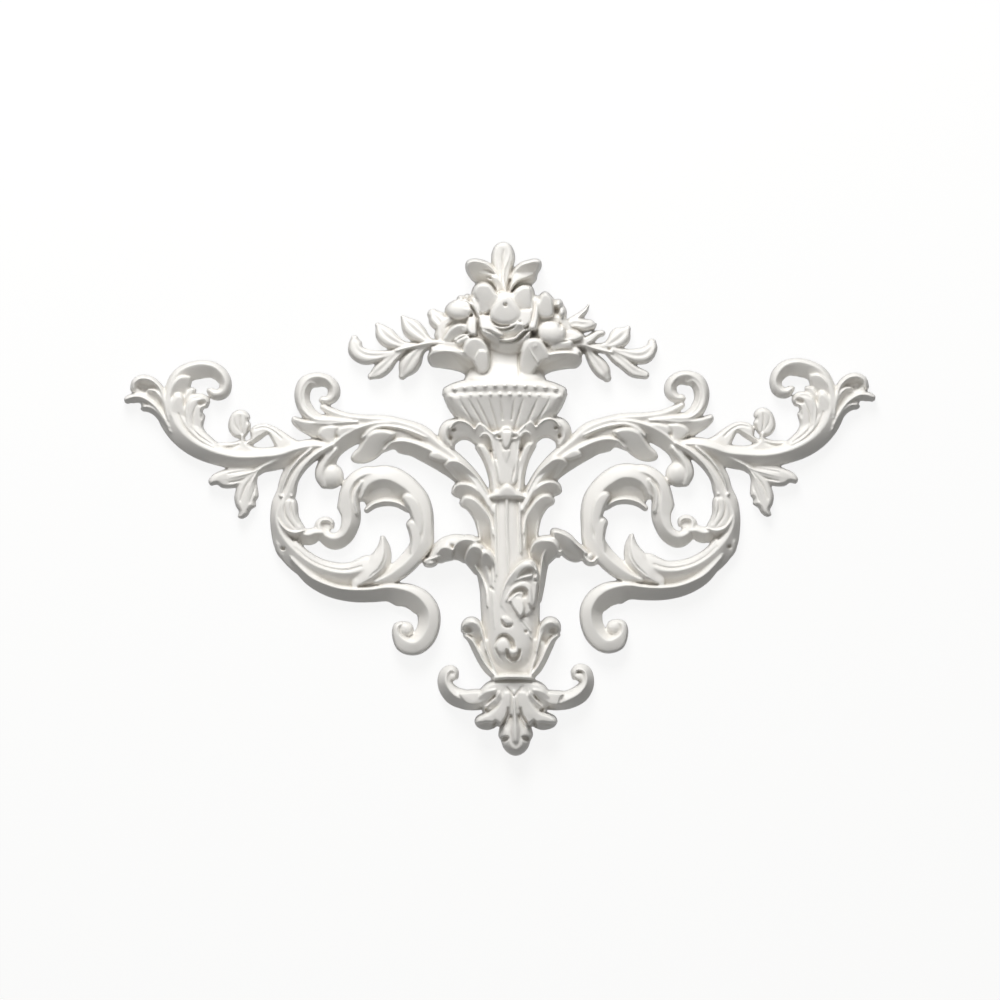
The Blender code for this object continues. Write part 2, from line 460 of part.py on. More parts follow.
def side_leaves() -> list:
    """Leaves that curl out from the stem above its head."""
    return [
        Ridge("slope", "full", [(492, 600, 11, 5, 26), (490, 585, 11, 5, 27), (487, 571, 11, 5, 28),
             (481, 560, 11, 5, 29), (473, 552, 11, 6, 30), (463, 546.5, 12, 9, 30), (452, 545, 12, 10, 29),
             (443, 549, 10, 9, 27), (435, 557, 7, 7, 24), (429, 564, 4, 4, 20)]),
        Petal([(451, 558), (453, 548), (458, 540), (465, 537), (473, 538), (479, 544), (471, 551),
             (469, 558), (467, 565), (458, 562)], 24, lean=(0.15, -1.1), bevel=(0.8, 0.8)),
        Petal([(465, 558), (467, 548), (473, 543.5), (480, 545), (485, 551), (483, 559), (480, 568),
             (476, 575), (470, 569), (467, 563)], 26.5, lean=(0.15, -1.1), bevel=(0.8, 0.8)),
        Petal([(479.5, 562), (481, 552.5), (486, 549.5), (492, 553.5), (494.5, 563), (494, 575),
             (490, 586), (486, 580), (482, 572)], 28.5, lean=(0.15, -1), bevel=(0.8, 0.8)),
        Ridge("round", "round", [(452.5, 553, 2, 2, 30), (456, 544, 2.5, 2.5, 32.5),
             (463, 538.5, 2.8, 2.8, 34.5), (472, 538, 2.8, 2.8, 34.5), (479.5, 542, 2, 2, 33.5)]),
        Ridge("round", "round", [(466, 553, 2, 2, 31), (469.5, 546.5, 2.5, 2.5, 34),
             (475.5, 543.8, 2.6, 2.6, 35.3), (481.5, 546, 2.4, 2.4, 35), (485, 551, 2, 2, 33.5)]),
        Ridge("round", "round", [(480, 556, 2, 2, 32), (482.5, 551, 2.4, 2.4, 35),
             (487, 550, 2.4, 2.4, 35.5), (491.5, 553.5, 2.2, 2.2, 35), (494.5, 561, 2, 2, 34)]),
        Ridge("round", "under", [(539, 600, 4, 3, 20), (540, 585, 4, 5, 23), (541, 567, 4, 7, 27),
             (544, 553, 5, 8, 30), (551, 545, 5, 9, 31), (557, 546, 4, 9, 29), (559, 552, 3, 6, 25)]),
        Petal([(531, 557), (532, 549), (537, 543), (545, 541.5), (553, 542.5), (558, 547), (560, 554),
             (553, 560), (546, 568), (542, 578), (536, 570)], 25.5, lean=(0.15, -0.85), bevel=(1, 1.2)),
        Ridge("round", "round", [(530.5, 553, 1.8, 1.8, 31), (532.5, 545, 2, 2, 34),
             (538, 539.5, 2.2, 2, 35.5), (546, 538, 2.2, 2, 36), (554, 539.5, 2.2, 2, 35),
             (559, 545, 2, 2, 33), (560, 551, 1.6, 1.6, 31)]),
        Ridge("full", "under", [(553, 534, 3, 4, 30), (560, 535, 4, 7, 32), (567, 541, 5, 10, 32),
             (573, 550, 5, 10, 31), (581, 559, 5, 8, 28), (590, 564.5, 4, 6, 24), (598, 563, 3, 4, 20)]),
        Ridge("round", "round", [(566, 535, 3, 3, 28), (573, 543, 4, 4, 30), (580, 552, 4, 4, 28),
             (588, 558, 3.5, 3.5, 25)]),
    ]


def trunk() -> list:
    """Reeded shaft that widens to the carved drop."""
    return [
        Ridge("full", "full", [(507, 486, 15, 15, 24), (507, 510, 16, 16, 27), (508, 540, 18, 18, 29),
             (509, 565, 24, 24, 30), (510, 585, 30, 29.5, 31), (510, 605, 30, 29.5, 32),
             (510.5, 625, 29, 28.5, 32), (511, 640, 27.5, 27.5, 31.7), (511.5, 650, 26, 26, 30.5),
             (512, 658, 24, 24, 28), (512.3, 666, 21.5, 21.5, 23.5),
             (512.5, 675, 18, 18, 16.5)], square_ends=True),
        Ridge("round", "round", [(507, 500, 4, 4, 30), (507, 530, 4.5, 4.5, 31), (508, 552, 5, 5, 32),
             (508.5, 572, 4, 4, 32)]),
        Ridge("round", "round", [(495, 505, 3.5, 3.5, 28), (495.5, 530, 4, 4, 29), (496, 556, 4, 4, 30),
             (497, 575, 3, 3, 31)]),
        Ridge("round", "round", [(519.5, 503, 3, 3, 29), (520, 530, 3.5, 3.5, 30), (521, 552, 4, 4, 31)]),
    ]


def capital() -> list:
    """Collar on the shaft and the leaf capital above it."""
    return [
        Ridge("full", "under", [(496, 495.5, 4.5, 6, 32), (507, 495, 4.5, 6, 34),
             (519, 495.5, 4.5, 6, 32)]),
        Ridge("gentle", "gentle", [(507, 430, 15, 14, 23), (507, 455, 13, 13, 24.5),
             (507, 470, 12, 12, 25.5), (507, 488, 12.5, 12.5, 26)], square_ends=True),
        Ridge("round", "round", [(495, 436.5, 1.8, 1.8, 31), (498.5, 431.5, 2.2, 2.2, 32.5),
             (502, 428.5, 2.4, 2.6, 33.5), (507, 427.2, 2.6, 2.8, 34), (512, 428.5, 2.4, 2.6, 33.5),
             (515.5, 431.5, 2.2, 2.2, 32.5), (519, 436.5, 1.8, 1.8, 31)]),
        Petal([(501, 431.5), (506.5, 429.5), (511.5, 431.5), (511.5, 439), (508.5, 447.5), (503.5, 447.5),
             (501, 439)], 29.5, lean=(0, -0.15), bevel=(1.5, 2)),
        Petal([(502.5, 449.5), (509.5, 449.5), (508.8, 457), (506, 464.5),
             (503.2, 457)], 28.8, lean=(0, 0.05), bevel=(1.5, 2)),
    ]


def capital_leaves() -> list:
    """Large leaf of the capital and its curl."""
    return [
        Ridge("gentle", "gentle", [(495.5, 491, 5, 6, 27), (493, 474, 5.5, 6.5, 26),
             (488, 459, 6.5, 8, 24), (480, 447, 8, 9, 20), (471, 441, 7, 7, 17)]),
        Petal([(451, 429), (455, 424.5), (460, 422), (466, 423.5), (471, 427.5), (475, 431), (478, 426.5),
             (482, 425), (488, 430), (493, 439), (495, 450), (490, 456), (480, 452), (470, 442),
             (463, 439.5), (456, 443), (453, 446), (450, 438)], 21, lean=(0.16, -0.72), bevel=(1.2, 1.2)),
        Ridge("round", "round", [(495, 450, 1.8, 1.8, 29.5), (492, 439, 2, 2, 31), (487, 430.5, 2, 2, 32),
             (481.5, 425.5, 2, 2.2, 32.5), (477, 428, 1.8, 1.8, 31)]),
        Ridge("round", "round", [(474.8, 431, 1.6, 1.6, 31), (470.5, 426.5, 2, 2.2, 33),
             (465, 423, 2.2, 2.4, 33.5), (459, 422, 2.4, 2.6, 33.5), (454, 425, 2.6, 2.6, 32.5),
             (451.5, 431, 2, 2, 30)]),
        Ridge("gentle", "gentle", [(466, 421, 3, 3, 27), (456, 421.5, 5, 3.5, 27),
             (448.5, 426, 6.5, 6, 27), (445, 433.5, 6.5, 6.5, 26), (447, 441, 5.5, 6, 24),
             (451.5, 446.5, 3.5, 3.5, 21)]),
    ]


def bowl() -> list:
    """Ribbed bowl with two rows of beads on the rim."""
    forms = [
        Petal([(446.5, 394), (448.5, 405), (453.5, 413.5), (461, 421), (474, 428), (488, 433), (506, 436),
             (522, 433), (537, 427), (549, 420.5), (556.5, 413), (561.5, 404.5),
             (563.5, 394)], 30.5, lean=(0, -0.33), bevel=(13, 11)),
        Ridge("round", "round", [(460, 400, 0.5, 0.5, 1), (463, 406, 0.8, 0.8, 2.2),
             (468, 414, 0.8, 0.8, 2.2), (473, 422, 0.8, 0.8, 2)], cut=True),
        Ridge("round", "round", [(469, 400, 0.5, 0.5, 1), (473, 408, 0.9, 0.9, 2.2),
             (479, 418, 0.9, 0.9, 2.2), (485, 429, 0.8, 0.8, 2)], cut=True),
        Ridge("round", "round", [(477, 400, 0.5, 0.5, 1), (481, 409, 0.9, 0.9, 2.2),
             (486, 419, 0.9, 0.9, 2.2), (491, 430, 0.8, 0.8, 2)], cut=True),
        Ridge("round", "round", [(489, 400, 0.5, 0.5, 1), (492, 410, 0.9, 0.9, 2.2),
             (495, 420, 0.9, 0.9, 2.2), (498, 431, 0.8, 0.8, 2)], cut=True),
        Ridge("round", "round", [(500, 401, 0.5, 0.5, 1), (501.5, 410, 0.9, 0.9, 2.2),
             (502.5, 420, 0.9, 0.9, 2)], cut=True),
        Ridge("round", "round", [(514, 400, 0.5, 0.5, 1), (513, 410, 0.9, 0.9, 2.2),
             (511.5, 420, 0.9, 0.9, 2)], cut=True),
        Ridge("round", "round", [(523, 400, 0.5, 0.5, 1), (520, 410, 0.9, 0.9, 2.2),
             (517, 420, 0.9, 0.9, 2.2), (514, 430, 0.8, 0.8, 2)], cut=True),
        Ridge("round", "round", [(537, 400, 0.5, 0.5, 1), (533, 410, 0.9, 0.9, 2.2),
             (528.5, 420, 0.9, 0.9, 2.2), (524, 429, 0.8, 0.8, 2)], cut=True),
        Ridge("round", "round", [(549, 400, 0.5, 0.5, 1), (545, 408, 0.8, 0.8, 2.2),
             (539.5, 417, 0.8, 0.8, 2.2), (535, 425, 0.8, 0.8, 2)], cut=True),
        Ridge("full", "full", [(448, 391, 4, 6, 31), (456, 387.5, 5, 9, 34), (468, 385.5, 5.5, 11, 36),
             (487, 384.5, 5, 12, 37.5), (505, 384, 5, 12, 38), (523, 384.5, 5, 12, 37.5),
             (541, 385.5, 5.5, 11, 36), (553, 387.5, 5, 9, 34), (561.5, 391, 4, 6, 31)]),
    ]
    for row in BEAD_ROWS:
        for i in range(row.count):
            u = 2 * i / (row.count - 1) - 1
            place = (row.x + row.reach * u, row.y + row.sag * u * u)
            high = row.high - row.fall * u * u
            forms.append(Dome(*place, row.half_width, row.half_height, high, foot=BEAD_FOOT))
    return forms


def neck() -> list:
    """Neck of the vase behind the folded leaves."""
    return [
        Ridge("full", "full", [(504, 340, 28, 30, 20), (505, 360, 32, 34, 23), (505, 370, 36, 36, 27),
             (505, 377, 40, 40, 32), (505, 384, 43, 43, 36)], square_ends=True),
        Petal([(429.5, 357), (432, 351.5), (440, 350), (450, 350), (459, 351), (468, 352), (477, 356),
             (482, 366), (478, 376), (471.5, 381), (467, 375.5), (459, 371), (447, 368.5), (437, 367),
             (430.5, 365)], 23, lean=(0.15, -1.2), bevel=(1.5, 2)),
        Ridge("round", "round", [(431, 356, 1.6, 1.6, 31.5), (433, 352, 2, 2, 33.5),
             (441, 350.5, 2, 2, 35), (450, 350.5, 2, 2, 35.5), (459, 351.5, 2, 2, 36),
             (465, 353.5, 1.6, 1.6, 36)]),
        Petal([(538, 381), (544.5, 376), (552, 371.5), (561, 369.5), (570, 368.5), (577, 367.5),
             (580.5, 362.5), (579.5, 356.5), (573, 353), (562, 352.5), (551, 354), (542, 357), (530, 364),
             (529, 374)], 23, lean=(-0.15, -1.2), bevel=(1.5, 2)),
        Ridge("round", "round", [(547, 356, 1.6, 1.6, 36), (553, 353.5, 2, 2, 36),
             (562, 352.5, 2, 2, 35.5), (571, 352.8, 2, 2, 34.5), (577, 354.8, 2, 2, 32.5),
             (580, 359, 1.6, 1.6, 30)]),
        Petal([(463, 353), (464, 346), (468, 340), (474, 336), (480.5, 338), (485.5, 344.5), (489, 352),
             (490.3, 361), (488.5, 369.5), (484, 374.5), (478.5, 373), (475, 367), (470, 361),
             (465, 359)], 35.5, lean=(0.02, -0.42), bevel=(3, 4.5)),
        Petal([(476.8, 368), (476, 362), (478, 355), (482, 350), (486.5, 352), (489, 360), (487, 370),
             (482, 374)], 37, lean=(0.1, -0.35), bevel=(2, 2.6)),
        Petal([(520, 369), (520.3, 359), (522.5, 349.5), (527, 342.5), (533, 339), (539, 340),
             (544.5, 346), (549, 354), (550, 359), (543, 361), (537, 367), (531, 374),
             (524, 375)], 35.5, lean=(-0.02, -0.42), bevel=(3, 4.5)),
    ]


def flowers() -> list:
    """Roses and buds."""
    return [
        Petal([(447, 341), (445, 333), (453, 322), (449, 313), (456, 302), (470, 301), (475, 292),
             (483, 289), (493, 291), (507, 295), (520, 290), (531, 293), (535, 303), (545, 297),
             (556, 302), (564, 312), (562, 322), (574, 331), (576, 340), (560, 350), (530, 352),
             (505, 355), (480, 346), (460, 344)], 30, bevel=(4, 6)),
        Dome(505, 325, 28, 26.5, 36, foot=0.6),
        Petal([(474, 297.5), (476.5, 290.5), (481, 286.5), (485, 288.5), (489.5, 287), (493, 293),
             (497, 301), (494.5, 308.5), (489.5, 314), (483, 316), (479, 312),
             (479, 303)], 43.5, lean=(0.05, -0.16), bevel=(4, 5.5)),
        Petal([(512.5, 307), (514.5, 299), (518.5, 292), (524.5, 287.5), (530, 289), (532, 296),
             (532, 304), (528.5, 310.5), (520, 310.5)], 43.5, lean=(-0.08, -0.16), bevel=(3.5, 5)),
        Petal([(518.5, 311.5), (525, 309.5), (531, 308), (533, 314), (531.5, 322), (527.5, 328.5),
             (522.5, 330), (519, 323)], 43.5, lean=(-0.12, 0.3), bevel=(2, 2)),
        Ridge("under", "gentle", [(532.5, 298, 3.5, 2.5, 42), (534, 307, 3.5, 2.5, 43.5),
             (533, 317, 3.5, 2.5, 44), (529, 327, 3, 2, 44)]),
        Petal([(478.5, 319), (485, 316), (491.5, 316.5), (494.5, 321.5), (499, 326.5), (504.5, 332),
             (499, 335.5), (490, 333), (482, 331.5),
             (478, 326)], 43.5, lean=(-0.06, 0.28), bevel=(2.5, 3)),
        Petal([(496, 299), (499, 293.5), (506, 290.5), (513, 293), (517, 299), (512, 303),
             (500, 303)], 41, lean=(0, 0.3), bevel=(2, 2)),
        Dome(505.3, 313, 15.5, 14, 49.5, foot=0.68),
        Dome(505, 302.5, 9.5, 8.5, 47.5, foot=0.75),
        Ridge("round", "round", [(491.5, 324.5, 1.8, 1.8, 45), (497.5, 328.5, 2, 2, 46.3),
             (505, 330, 2, 2.2, 46.8), (513, 328.3, 2, 2.2, 46.5), (520.5, 323.5, 1.8, 1.8, 45.5)]),
        Ridge("round", "round", [(498, 338.8, 1.8, 1.8, 44), (505, 340.5, 2, 2.2, 45.2),
             (513, 340, 2.2, 2.6, 45.8), (520, 336, 2.2, 2.8, 45.5), (526, 331, 2.2, 2.8, 45),
             (531.5, 328, 1.8, 2.2, 44)]),
        Dome(458, 311, 12.5, 10.5, 38.5, lean=(0, -0.1), foot=0.72),
        Petal([(456, 305), (462, 302.5), (469, 304), (474.5, 309), (478, 318), (472, 321), (463, 320.5),
             (466, 312)], 39, lean=(0.1, -0.2), bevel=(1.5, 2)),
        Ridge("round", "round", [(454, 303, 1.6, 1.6, 36), (460, 300.5, 2.2, 2.2, 38.5),
             (467, 301.5, 2.4, 2.4, 40), (472.5, 305.5, 2.4, 2.4, 41), (476.5, 312, 2.2, 2.4, 41.5),
             (479.5, 319, 1.6, 1.6, 41)]),
        Petal([(443.5, 340), (446, 333), (451, 327), (457, 323), (463, 322), (468.5, 326.5), (469.5, 332),
             (464, 337.5), (456.5, 341.5), (448.5, 343.5)], 36.5, lean=(-0.1, -0.5), bevel=(3.5, 4.5)),
        Petal([(467.5, 321), (473, 316.5), (478.5, 320.5), (479.5, 328), (477, 335), (470.5, 336.5),
             (467, 330)], 41.5, lean=(0, 0.32), bevel=(1.5, 2)),
        Dome(548.5, 331.5, 16, 14, 43, foot=0.66),
        Ridge("round", "round", [(549, 351, 1.6, 1.6, 36), (555, 347, 2, 2, 37.5), (563, 343.5, 2, 2, 38),
             (572, 341.5, 1.6, 1.6, 37)]),
        Petal([(537, 305.5), (540, 298.5), (545.5, 294.5), (550.5, 298), (554, 304.5), (555.5, 313),
             (553, 319.5), (546, 320), (540, 316)], 40, lean=(0.05, -0.14), bevel=(3, 4.5)),
        Petal([(553, 299.5), (559, 301), (564, 308.5), (565.5, 316), (561.5, 320), (556.5, 317),
             (555, 308)], 36, lean=(0.1, 0.1), bevel=(2.5, 3)),
        Petal([(562, 333.5), (569, 330), (577, 331.5), (583, 337), (577, 341.5), (568, 342.5),
             (562, 340)], 31, lean=(0, 0.2), bevel=(2, 3)),
    ]


def sprigs() -> list:
    """Leafy sprigs to both sides of the flowers."""
    return [
        Ridge("round", "round", [(468, 346, 4, 4, 30), (450, 344, 4, 4, 30), (436, 343, 4, 4, 28),
             (422, 345, 3, 3, 24), (408, 348, 3, 3, 20), (396, 351, 3, 3, 16)]),
        Ridge("leaf", "leaf", [(402, 350, 2.5, 2.5, 15), (390, 353.5, 4, 3.5, 15), (377, 356, 6, 5, 14.5),
             (366, 355, 9, 5.5, 14), (358, 350, 9, 5, 13), (355, 343, 6, 6, 11.5),
             (354.5, 339, 4, 4, 10)]),
        Ridge("leaf", "leaf", [(404, 350, 2.5, 2.5, 15), (393, 358, 5, 4.5, 14.5), (386, 365, 7, 6, 14),
             (378, 372, 6.5, 6, 12.5), (371, 376.5, 3.5, 3.5, 10)]),
        Ridge("leaf", "leaf", [(416, 345, 2.5, 2.5, 17), (404, 345, 4, 4, 16), (393, 341, 8, 7, 15.5),
             (385, 335, 8.5, 8, 14.5), (380, 328, 5, 4.5, 12), (377.5, 325, 2.5, 2.5, 10)]),
        Ridge("leaf", "leaf", [(440, 344, 2.5, 2.5, 22), (429, 341, 4, 4, 21), (419, 334, 8.5, 7.5, 19.5),
             (411, 327, 9, 8, 17.5), (404.5, 319.5, 4.5, 4, 14), (402.5, 317, 2, 2, 12)]),
        Ridge("leaf", "leaf", [(432, 344, 2.5, 2.5, 21), (421, 350, 4.5, 5, 19), (413, 359, 9, 8, 17),
             (407, 368, 8.5, 8, 15), (402.5, 376, 4, 4, 11.5)]),
        Ridge("leaf", "leaf", [(448, 331, 3, 3, 24), (441, 324, 7.5, 8, 24), (435.5, 317.5, 7.5, 7.5, 21),
             (433, 314.5, 5, 5, 18)]),
        Ridge("round", "round", [(548, 348, 4, 4, 30), (565, 346, 4, 4, 29), (580, 345, 3.5, 3.5, 25),
             (595, 349, 3, 3, 20), (612, 353, 3, 3, 16)]),
        Ridge("leaf", "leaf", [(566, 327, 5, 5, 24), (574, 324, 6, 6, 23), (583, 325, 6, 7, 22),
             (590, 324, 4, 6, 20)]),
        Ridge("leaf", "leaf", [(576, 345, 4, 4, 24), (588, 340, 4, 5, 22), (597, 334.5, 4, 4, 20),
             (602, 333, 3, 3.5, 17)]),
        Ridge("leaf", "leaf", [(592, 346, 2.5, 2.5, 18), (606, 345.5, 4, 4, 16), (616, 341, 9, 8, 15),
             (623, 335, 9, 8, 14), (628, 329, 3.5, 3, 11)]),
        Ridge("leaf", "leaf", [(612, 350, 2.5, 2.5, 16), (624, 353, 4, 5, 15), (635, 356, 6.5, 7, 15),
             (645, 354.5, 7, 8, 14), (651.5, 347.5, 5.5, 5.5, 12), (652, 343, 4.5, 4.5, 10)]),
        Ridge("leaf", "leaf", [(606, 351, 3, 3, 15), (616, 357, 4, 6, 14), (625, 364, 4.5, 6, 14),
             (634, 371, 5, 6, 13), (645, 375, 4.5, 4.5, 11)]),
        Ridge("leaf", "leaf", [(586, 347, 3, 3, 18), (591, 356, 5, 5, 16), (598, 366, 8, 7, 15),
             (604, 374, 7, 6, 14), (607, 378, 4.5, 4.5, 11)]),
    ]


def crest() -> list:
    """Three leaves on top."""
    return [
        Petal([(505, 298), (500.5, 287), (497, 277), (493.3, 267), (492.5, 256), (495, 248), (499, 244.3),
             (505, 243.3), (509.8, 246), (513.3, 253), (513.8, 262), (511, 271),
             (508.5, 283)], 24.5, lean=(-0.15, 0.1), bevel=(3, 5)),
        Ridge("round", "round", [(505, 296, 1.2, 1.2, 31), (504.5, 280, 1.3, 1.3, 29),
             (503.5, 265, 1.2, 1.2, 26), (503, 253, 1, 1, 23.5)]),
        Petal([(504.5, 298), (499, 287), (495, 277), (489.5, 268), (482, 263), (473.5, 261.5),
             (467.3, 265), (468.3, 273.5), (472.5, 280), (481, 284.5), (489, 287),
             (496, 293)], 24, lean=(0.2, -0.12), bevel=(3, 5)),
        Ridge("round", "round", [(503, 294, 1.2, 1.2, 31), (495, 283, 1.5, 1.5, 29.5),
             (485, 275, 1.4, 1.4, 26.5), (474, 268, 1.1, 1.1, 22)]),
        Petal([(505.5, 298), (509.5, 285), (514.5, 275), (521, 267), (529, 262.3), (537, 261.3),
             (540.7, 265), (539.2, 273), (535.5, 280), (528, 284.8), (520, 288.5),
             (512, 296)], 24, lean=(-0.2, -0.12), bevel=(3, 5)),
        Ridge("round", "round", [(507, 294, 1.2, 1.2, 31), (514, 282, 1.5, 1.5, 29.5),
             (523, 273.5, 1.4, 1.4, 26.5), (534, 267, 1.1, 1.1, 22)]),
    ]


def drop_carving() -> list:
    """Leaf and curl carved on the drop."""
    return [
        Ridge("round", "slope", [(501, 606, 1.5, 1.5, 33), (500.5, 597, 1.8, 3, 34.8),
             (504, 587, 2, 4.5, 36), (509, 577.5, 2.2, 6, 37.5), (516, 568.5, 2.4, 8, 38.5),
             (523, 562, 2.4, 9, 39), (530, 560, 2.4, 8, 39), (535.5, 564, 2.4, 5, 38),
             (538, 571, 2, 3, 36)]),
        Ridge("round", "round", [(517, 577, 1, 1, 2), (522, 573.5, 2.2, 2.2, 4), (528, 571.5, 3, 3, 5.5),
             (533, 572, 2.6, 2.6, 5)], cut=True),
        Ridge("round", "slope", [(504, 604, 1.8, 2.5, 34), (507, 595, 2, 3, 35.5),
             (512, 587.5, 2.2, 4, 37), (518, 582.5, 2.4, 4.5, 38), (525, 581, 2.4, 4.5, 38),
             (530, 585, 2.6, 3, 37), (532, 594, 2.6, 2.6, 36), (532.5, 604, 2.2, 2.2, 34.5)]),
        Ridge("round", "round", [(500, 647, 0.8, 0.8, 1.5), (499.5, 641, 1.2, 1.2, 3),
             (503.5, 637.3, 1.8, 1.8, 4.5), (508.5, 639, 2.2, 2.2, 5.5), (511.5, 643.5, 2.3, 2.3, 6),
             (513, 647.5, 1.8, 1.8, 5)], cut=True),
        Ridge("round", "round", [(506.5, 650, 1.2, 1.2, 3.5), (508, 656.5, 1.8, 1.8, 6),
             (513.3, 659, 2.1, 2.1, 7), (518.5, 656.5, 1.8, 1.8, 6), (520, 650, 1.2, 1.2, 3.5)], cut=True),
    ]


def calyx() -> list:
    """Leaves and ring that close the drop."""
    return [
        Petal([(477, 628), (484, 618), (510, 616), (538, 618), (547, 628), (546, 645), (540, 660),
             (530, 676.5), (497, 676.5), (486, 663), (479, 648)], 17, lean=(0, -0.3), bevel=(2, 2)),
        Ridge("gentle", "under", [(465.5, 635.5, 1.6, 2.5, 24), (471.5, 639.5, 3, 4.5, 27),
             (478, 650.5, 3.5, 5.5, 29), (484, 662, 3.5, 5.5, 30), (490, 670, 3.5, 5.5, 30.5),
             (497, 677.5, 3, 4, 31)]),
        Petal([(462.5, 632), (465, 624), (470, 620), (477, 622), (481, 630), (484.5, 642), (487, 652),
             (482, 652), (477, 643), (472, 635.5)], 21, lean=(0.3, -0.75), bevel=(1, 1.2)),
        Ridge("round", "round", [(462.8, 631, 2, 2, 22), (463.5, 624.5, 2.3, 2.3, 25.5),
             (468, 619.8, 2.6, 2.6, 27), (474.5, 619.5, 2.6, 2.6, 28), (480, 625.5, 2.4, 2.6, 29),
             (483, 636, 2.2, 2.6, 30), (486, 650, 2, 2.4, 30.5)]),
        Ridge("under", "gentle", [(558, 635, 2.5, 1.6, 24), (552.5, 638.5, 4.5, 3, 27),
             (547, 648, 5.5, 3.5, 29), (541.5, 660, 5.5, 3.5, 30), (536, 669, 5.5, 3.5, 30.5),
             (529, 677.5, 4, 3, 31)]),
        Petal([(559, 631.5), (557, 624), (551.5, 620), (544.5, 622.5), (540.5, 631), (537.5, 643),
             (536, 653), (541, 652), (545.5, 643),
             (550.5, 635.5)], 21, lean=(-0.3, -0.75), bevel=(1, 1.2)),
        Ridge("round", "round", [(559, 630.5, 2, 2, 22), (558.3, 624, 2.3, 2.3, 25.5),
             (553.5, 619.5, 2.6, 2.6, 27), (547, 619.5, 2.6, 2.6, 28), (541.5, 625.5, 2.6, 2.4, 29),
             (538.5, 637, 2.6, 2.2, 30), (536, 651, 2.4, 2, 30.5)]),
        Ridge("full", "full", [(495.5, 676.5, 4, 5, 33), (505, 675.5, 4, 5.5, 35),
             (513, 675.3, 4, 5.5, 35.5), (521, 675.5, 4, 5.5, 35), (530.5, 676.5, 4, 5, 33)]),
    ]


def pendant() -> list:
    """Pendant with side scrolls, lobes and a tongue."""
    return [
        Petal([(486, 699), (497, 696), (532, 696), (543, 699), (546, 711), (537, 716), (525, 725),
             (514.5, 731), (504, 725), (493, 716), (483, 711)], 17, bevel=(1, 1)),
        Petal([(483, 694), (486, 686.5), (492, 681), (503, 679.5), (514, 679), (526, 679.5), (537, 681.5),
             (543, 687), (545, 694), (536, 698), (525, 703), (504, 703),
             (493, 699)], 28, lean=(0, -0.05), bevel=(3, 4)),
        Ridge("under", "gentle", [(499, 690, 4, 5, 27), (491, 695, 7, 7, 26), (483, 700.5, 9, 10, 25),
             (475, 703.5, 7, 13, 24), (468, 702, 8.5, 12, 23), (462, 699, 10, 10.5, 22.5),
             (454, 694.5, 10.5, 8.5, 22), (448, 687.5, 9.5, 7, 21), (445.3, 680, 8, 5.5, 20.5),
             (446.5, 673, 6.5, 4.5, 19.5), (451, 669.2, 4.5, 3.5, 18.5), (455.3, 671.5, 3.6, 2.8, 17.5),
             (456, 677, 2.8, 2.4, 16.5)]),
        Ridge("gentle", "under", [(530, 690, 5, 4, 27), (538, 695, 7, 7, 26), (546.5, 700.5, 9, 9, 25),
             (555, 704, 12, 6.5, 24), (562, 702, 11, 8.5, 23), (570, 698.5, 9, 10, 22.5),
             (579, 693, 8, 10.5, 22), (585, 685.5, 6.5, 9, 21), (587, 677.5, 5, 7, 20.5),
             (584.5, 670.5, 4, 6, 19.5), (579, 668.5, 3, 5, 18.5), (574.5, 671.5, 2.8, 4, 17.5),
             (574.5, 677, 2.4, 3, 16.5)]),
        Ridge("slope", "round", [(498, 687, 4, 1.8, 29), (492, 694, 6, 2, 29), (487.5, 701, 7, 2, 28),
             (485.5, 707, 5, 1.8, 26)]),
        Ridge("round", "slope", [(531, 687, 1.8, 4, 29), (536.5, 694, 2, 6, 29), (541, 700.5, 2, 7, 28),
             (543.5, 706, 1.8, 5, 26)]),
        Petal([(476, 723), (477.5, 717.5), (484, 714), (492, 712.5), (499, 706), (505, 696), (511, 694),
             (511.5, 706), (508.5, 715.5), (504.5, 723.5), (501, 728), (497, 726.5), (493.5, 729),
             (487.5, 730.8), (481, 729.5), (477, 726.5)], 26, lean=(0.1, -0.02), bevel=(6.5, 12)),
        Ridge("round", "gentle", [(507, 693, 2, 2, 29.5), (503, 702, 2, 2.5, 29.5), (496, 709, 2, 2.5, 28),
             (488, 713.5, 2, 2.5, 26), (480.5, 716, 1.8, 1.8, 23.5)]),
        Petal([(556.5, 723), (555, 717.5), (548, 714.5), (540, 713), (532, 706), (525, 696), (518, 694),
             (518, 706), (521, 715.5), (525.5, 723.5), (529, 728), (533, 726.5), (537, 729), (543, 730.8),
             (550, 729.5), (555, 726.5)], 26, lean=(-0.1, -0.02), bevel=(6.5, 12)),
        Ridge("gentle", "round", [(522.5, 693, 2, 2, 29.5), (526.5, 702, 2.5, 2, 29.5),
             (534, 709, 2.5, 2, 28), (542.5, 713.5, 2.5, 2, 26), (551, 716, 1.8, 1.8, 23.5)]),
        Petal([(510, 700), (519, 700), (521.5, 712), (527, 722), (531, 728.5), (532.5, 735), (530, 740.5),
             (527.8, 747), (522.5, 753), (515.7, 755.3), (509, 753), (503.8, 747.3), (501.5, 741),
             (499, 735.5), (500, 728.5), (504, 722), (508, 712)], 25.5, bevel=(7.5, 12)),
        Ridge("gentle", "gentle", [(514, 688, 5, 5, 30), (514.5, 705, 5, 5, 31), (515, 722, 6, 6, 31),
             (515.5, 733, 8.5, 8.5, 30.5), (515.7, 740, 8, 8, 29.5)]),
    ]


def all_forms() -> list:
    """Every form of the casting, with the arm that is drawn on the left given its twin on the right."""
    arm = [
        *wing(), *wing_tip(), *wing_branch(), *wing_sprig(), *volute(), *volute_leaf(), *arch(), *c_scroll(),
        *capital_leaves(),
    ]
    middle = [
        *side_leaves(), *trunk(), *capital(), *bowl(), *neck(), *flowers(), *sprigs(), *crest(),
        *drop_carving(), *calyx(), *pendant(),
    ]
    return arm + [form.twin() for form in arm] + middle


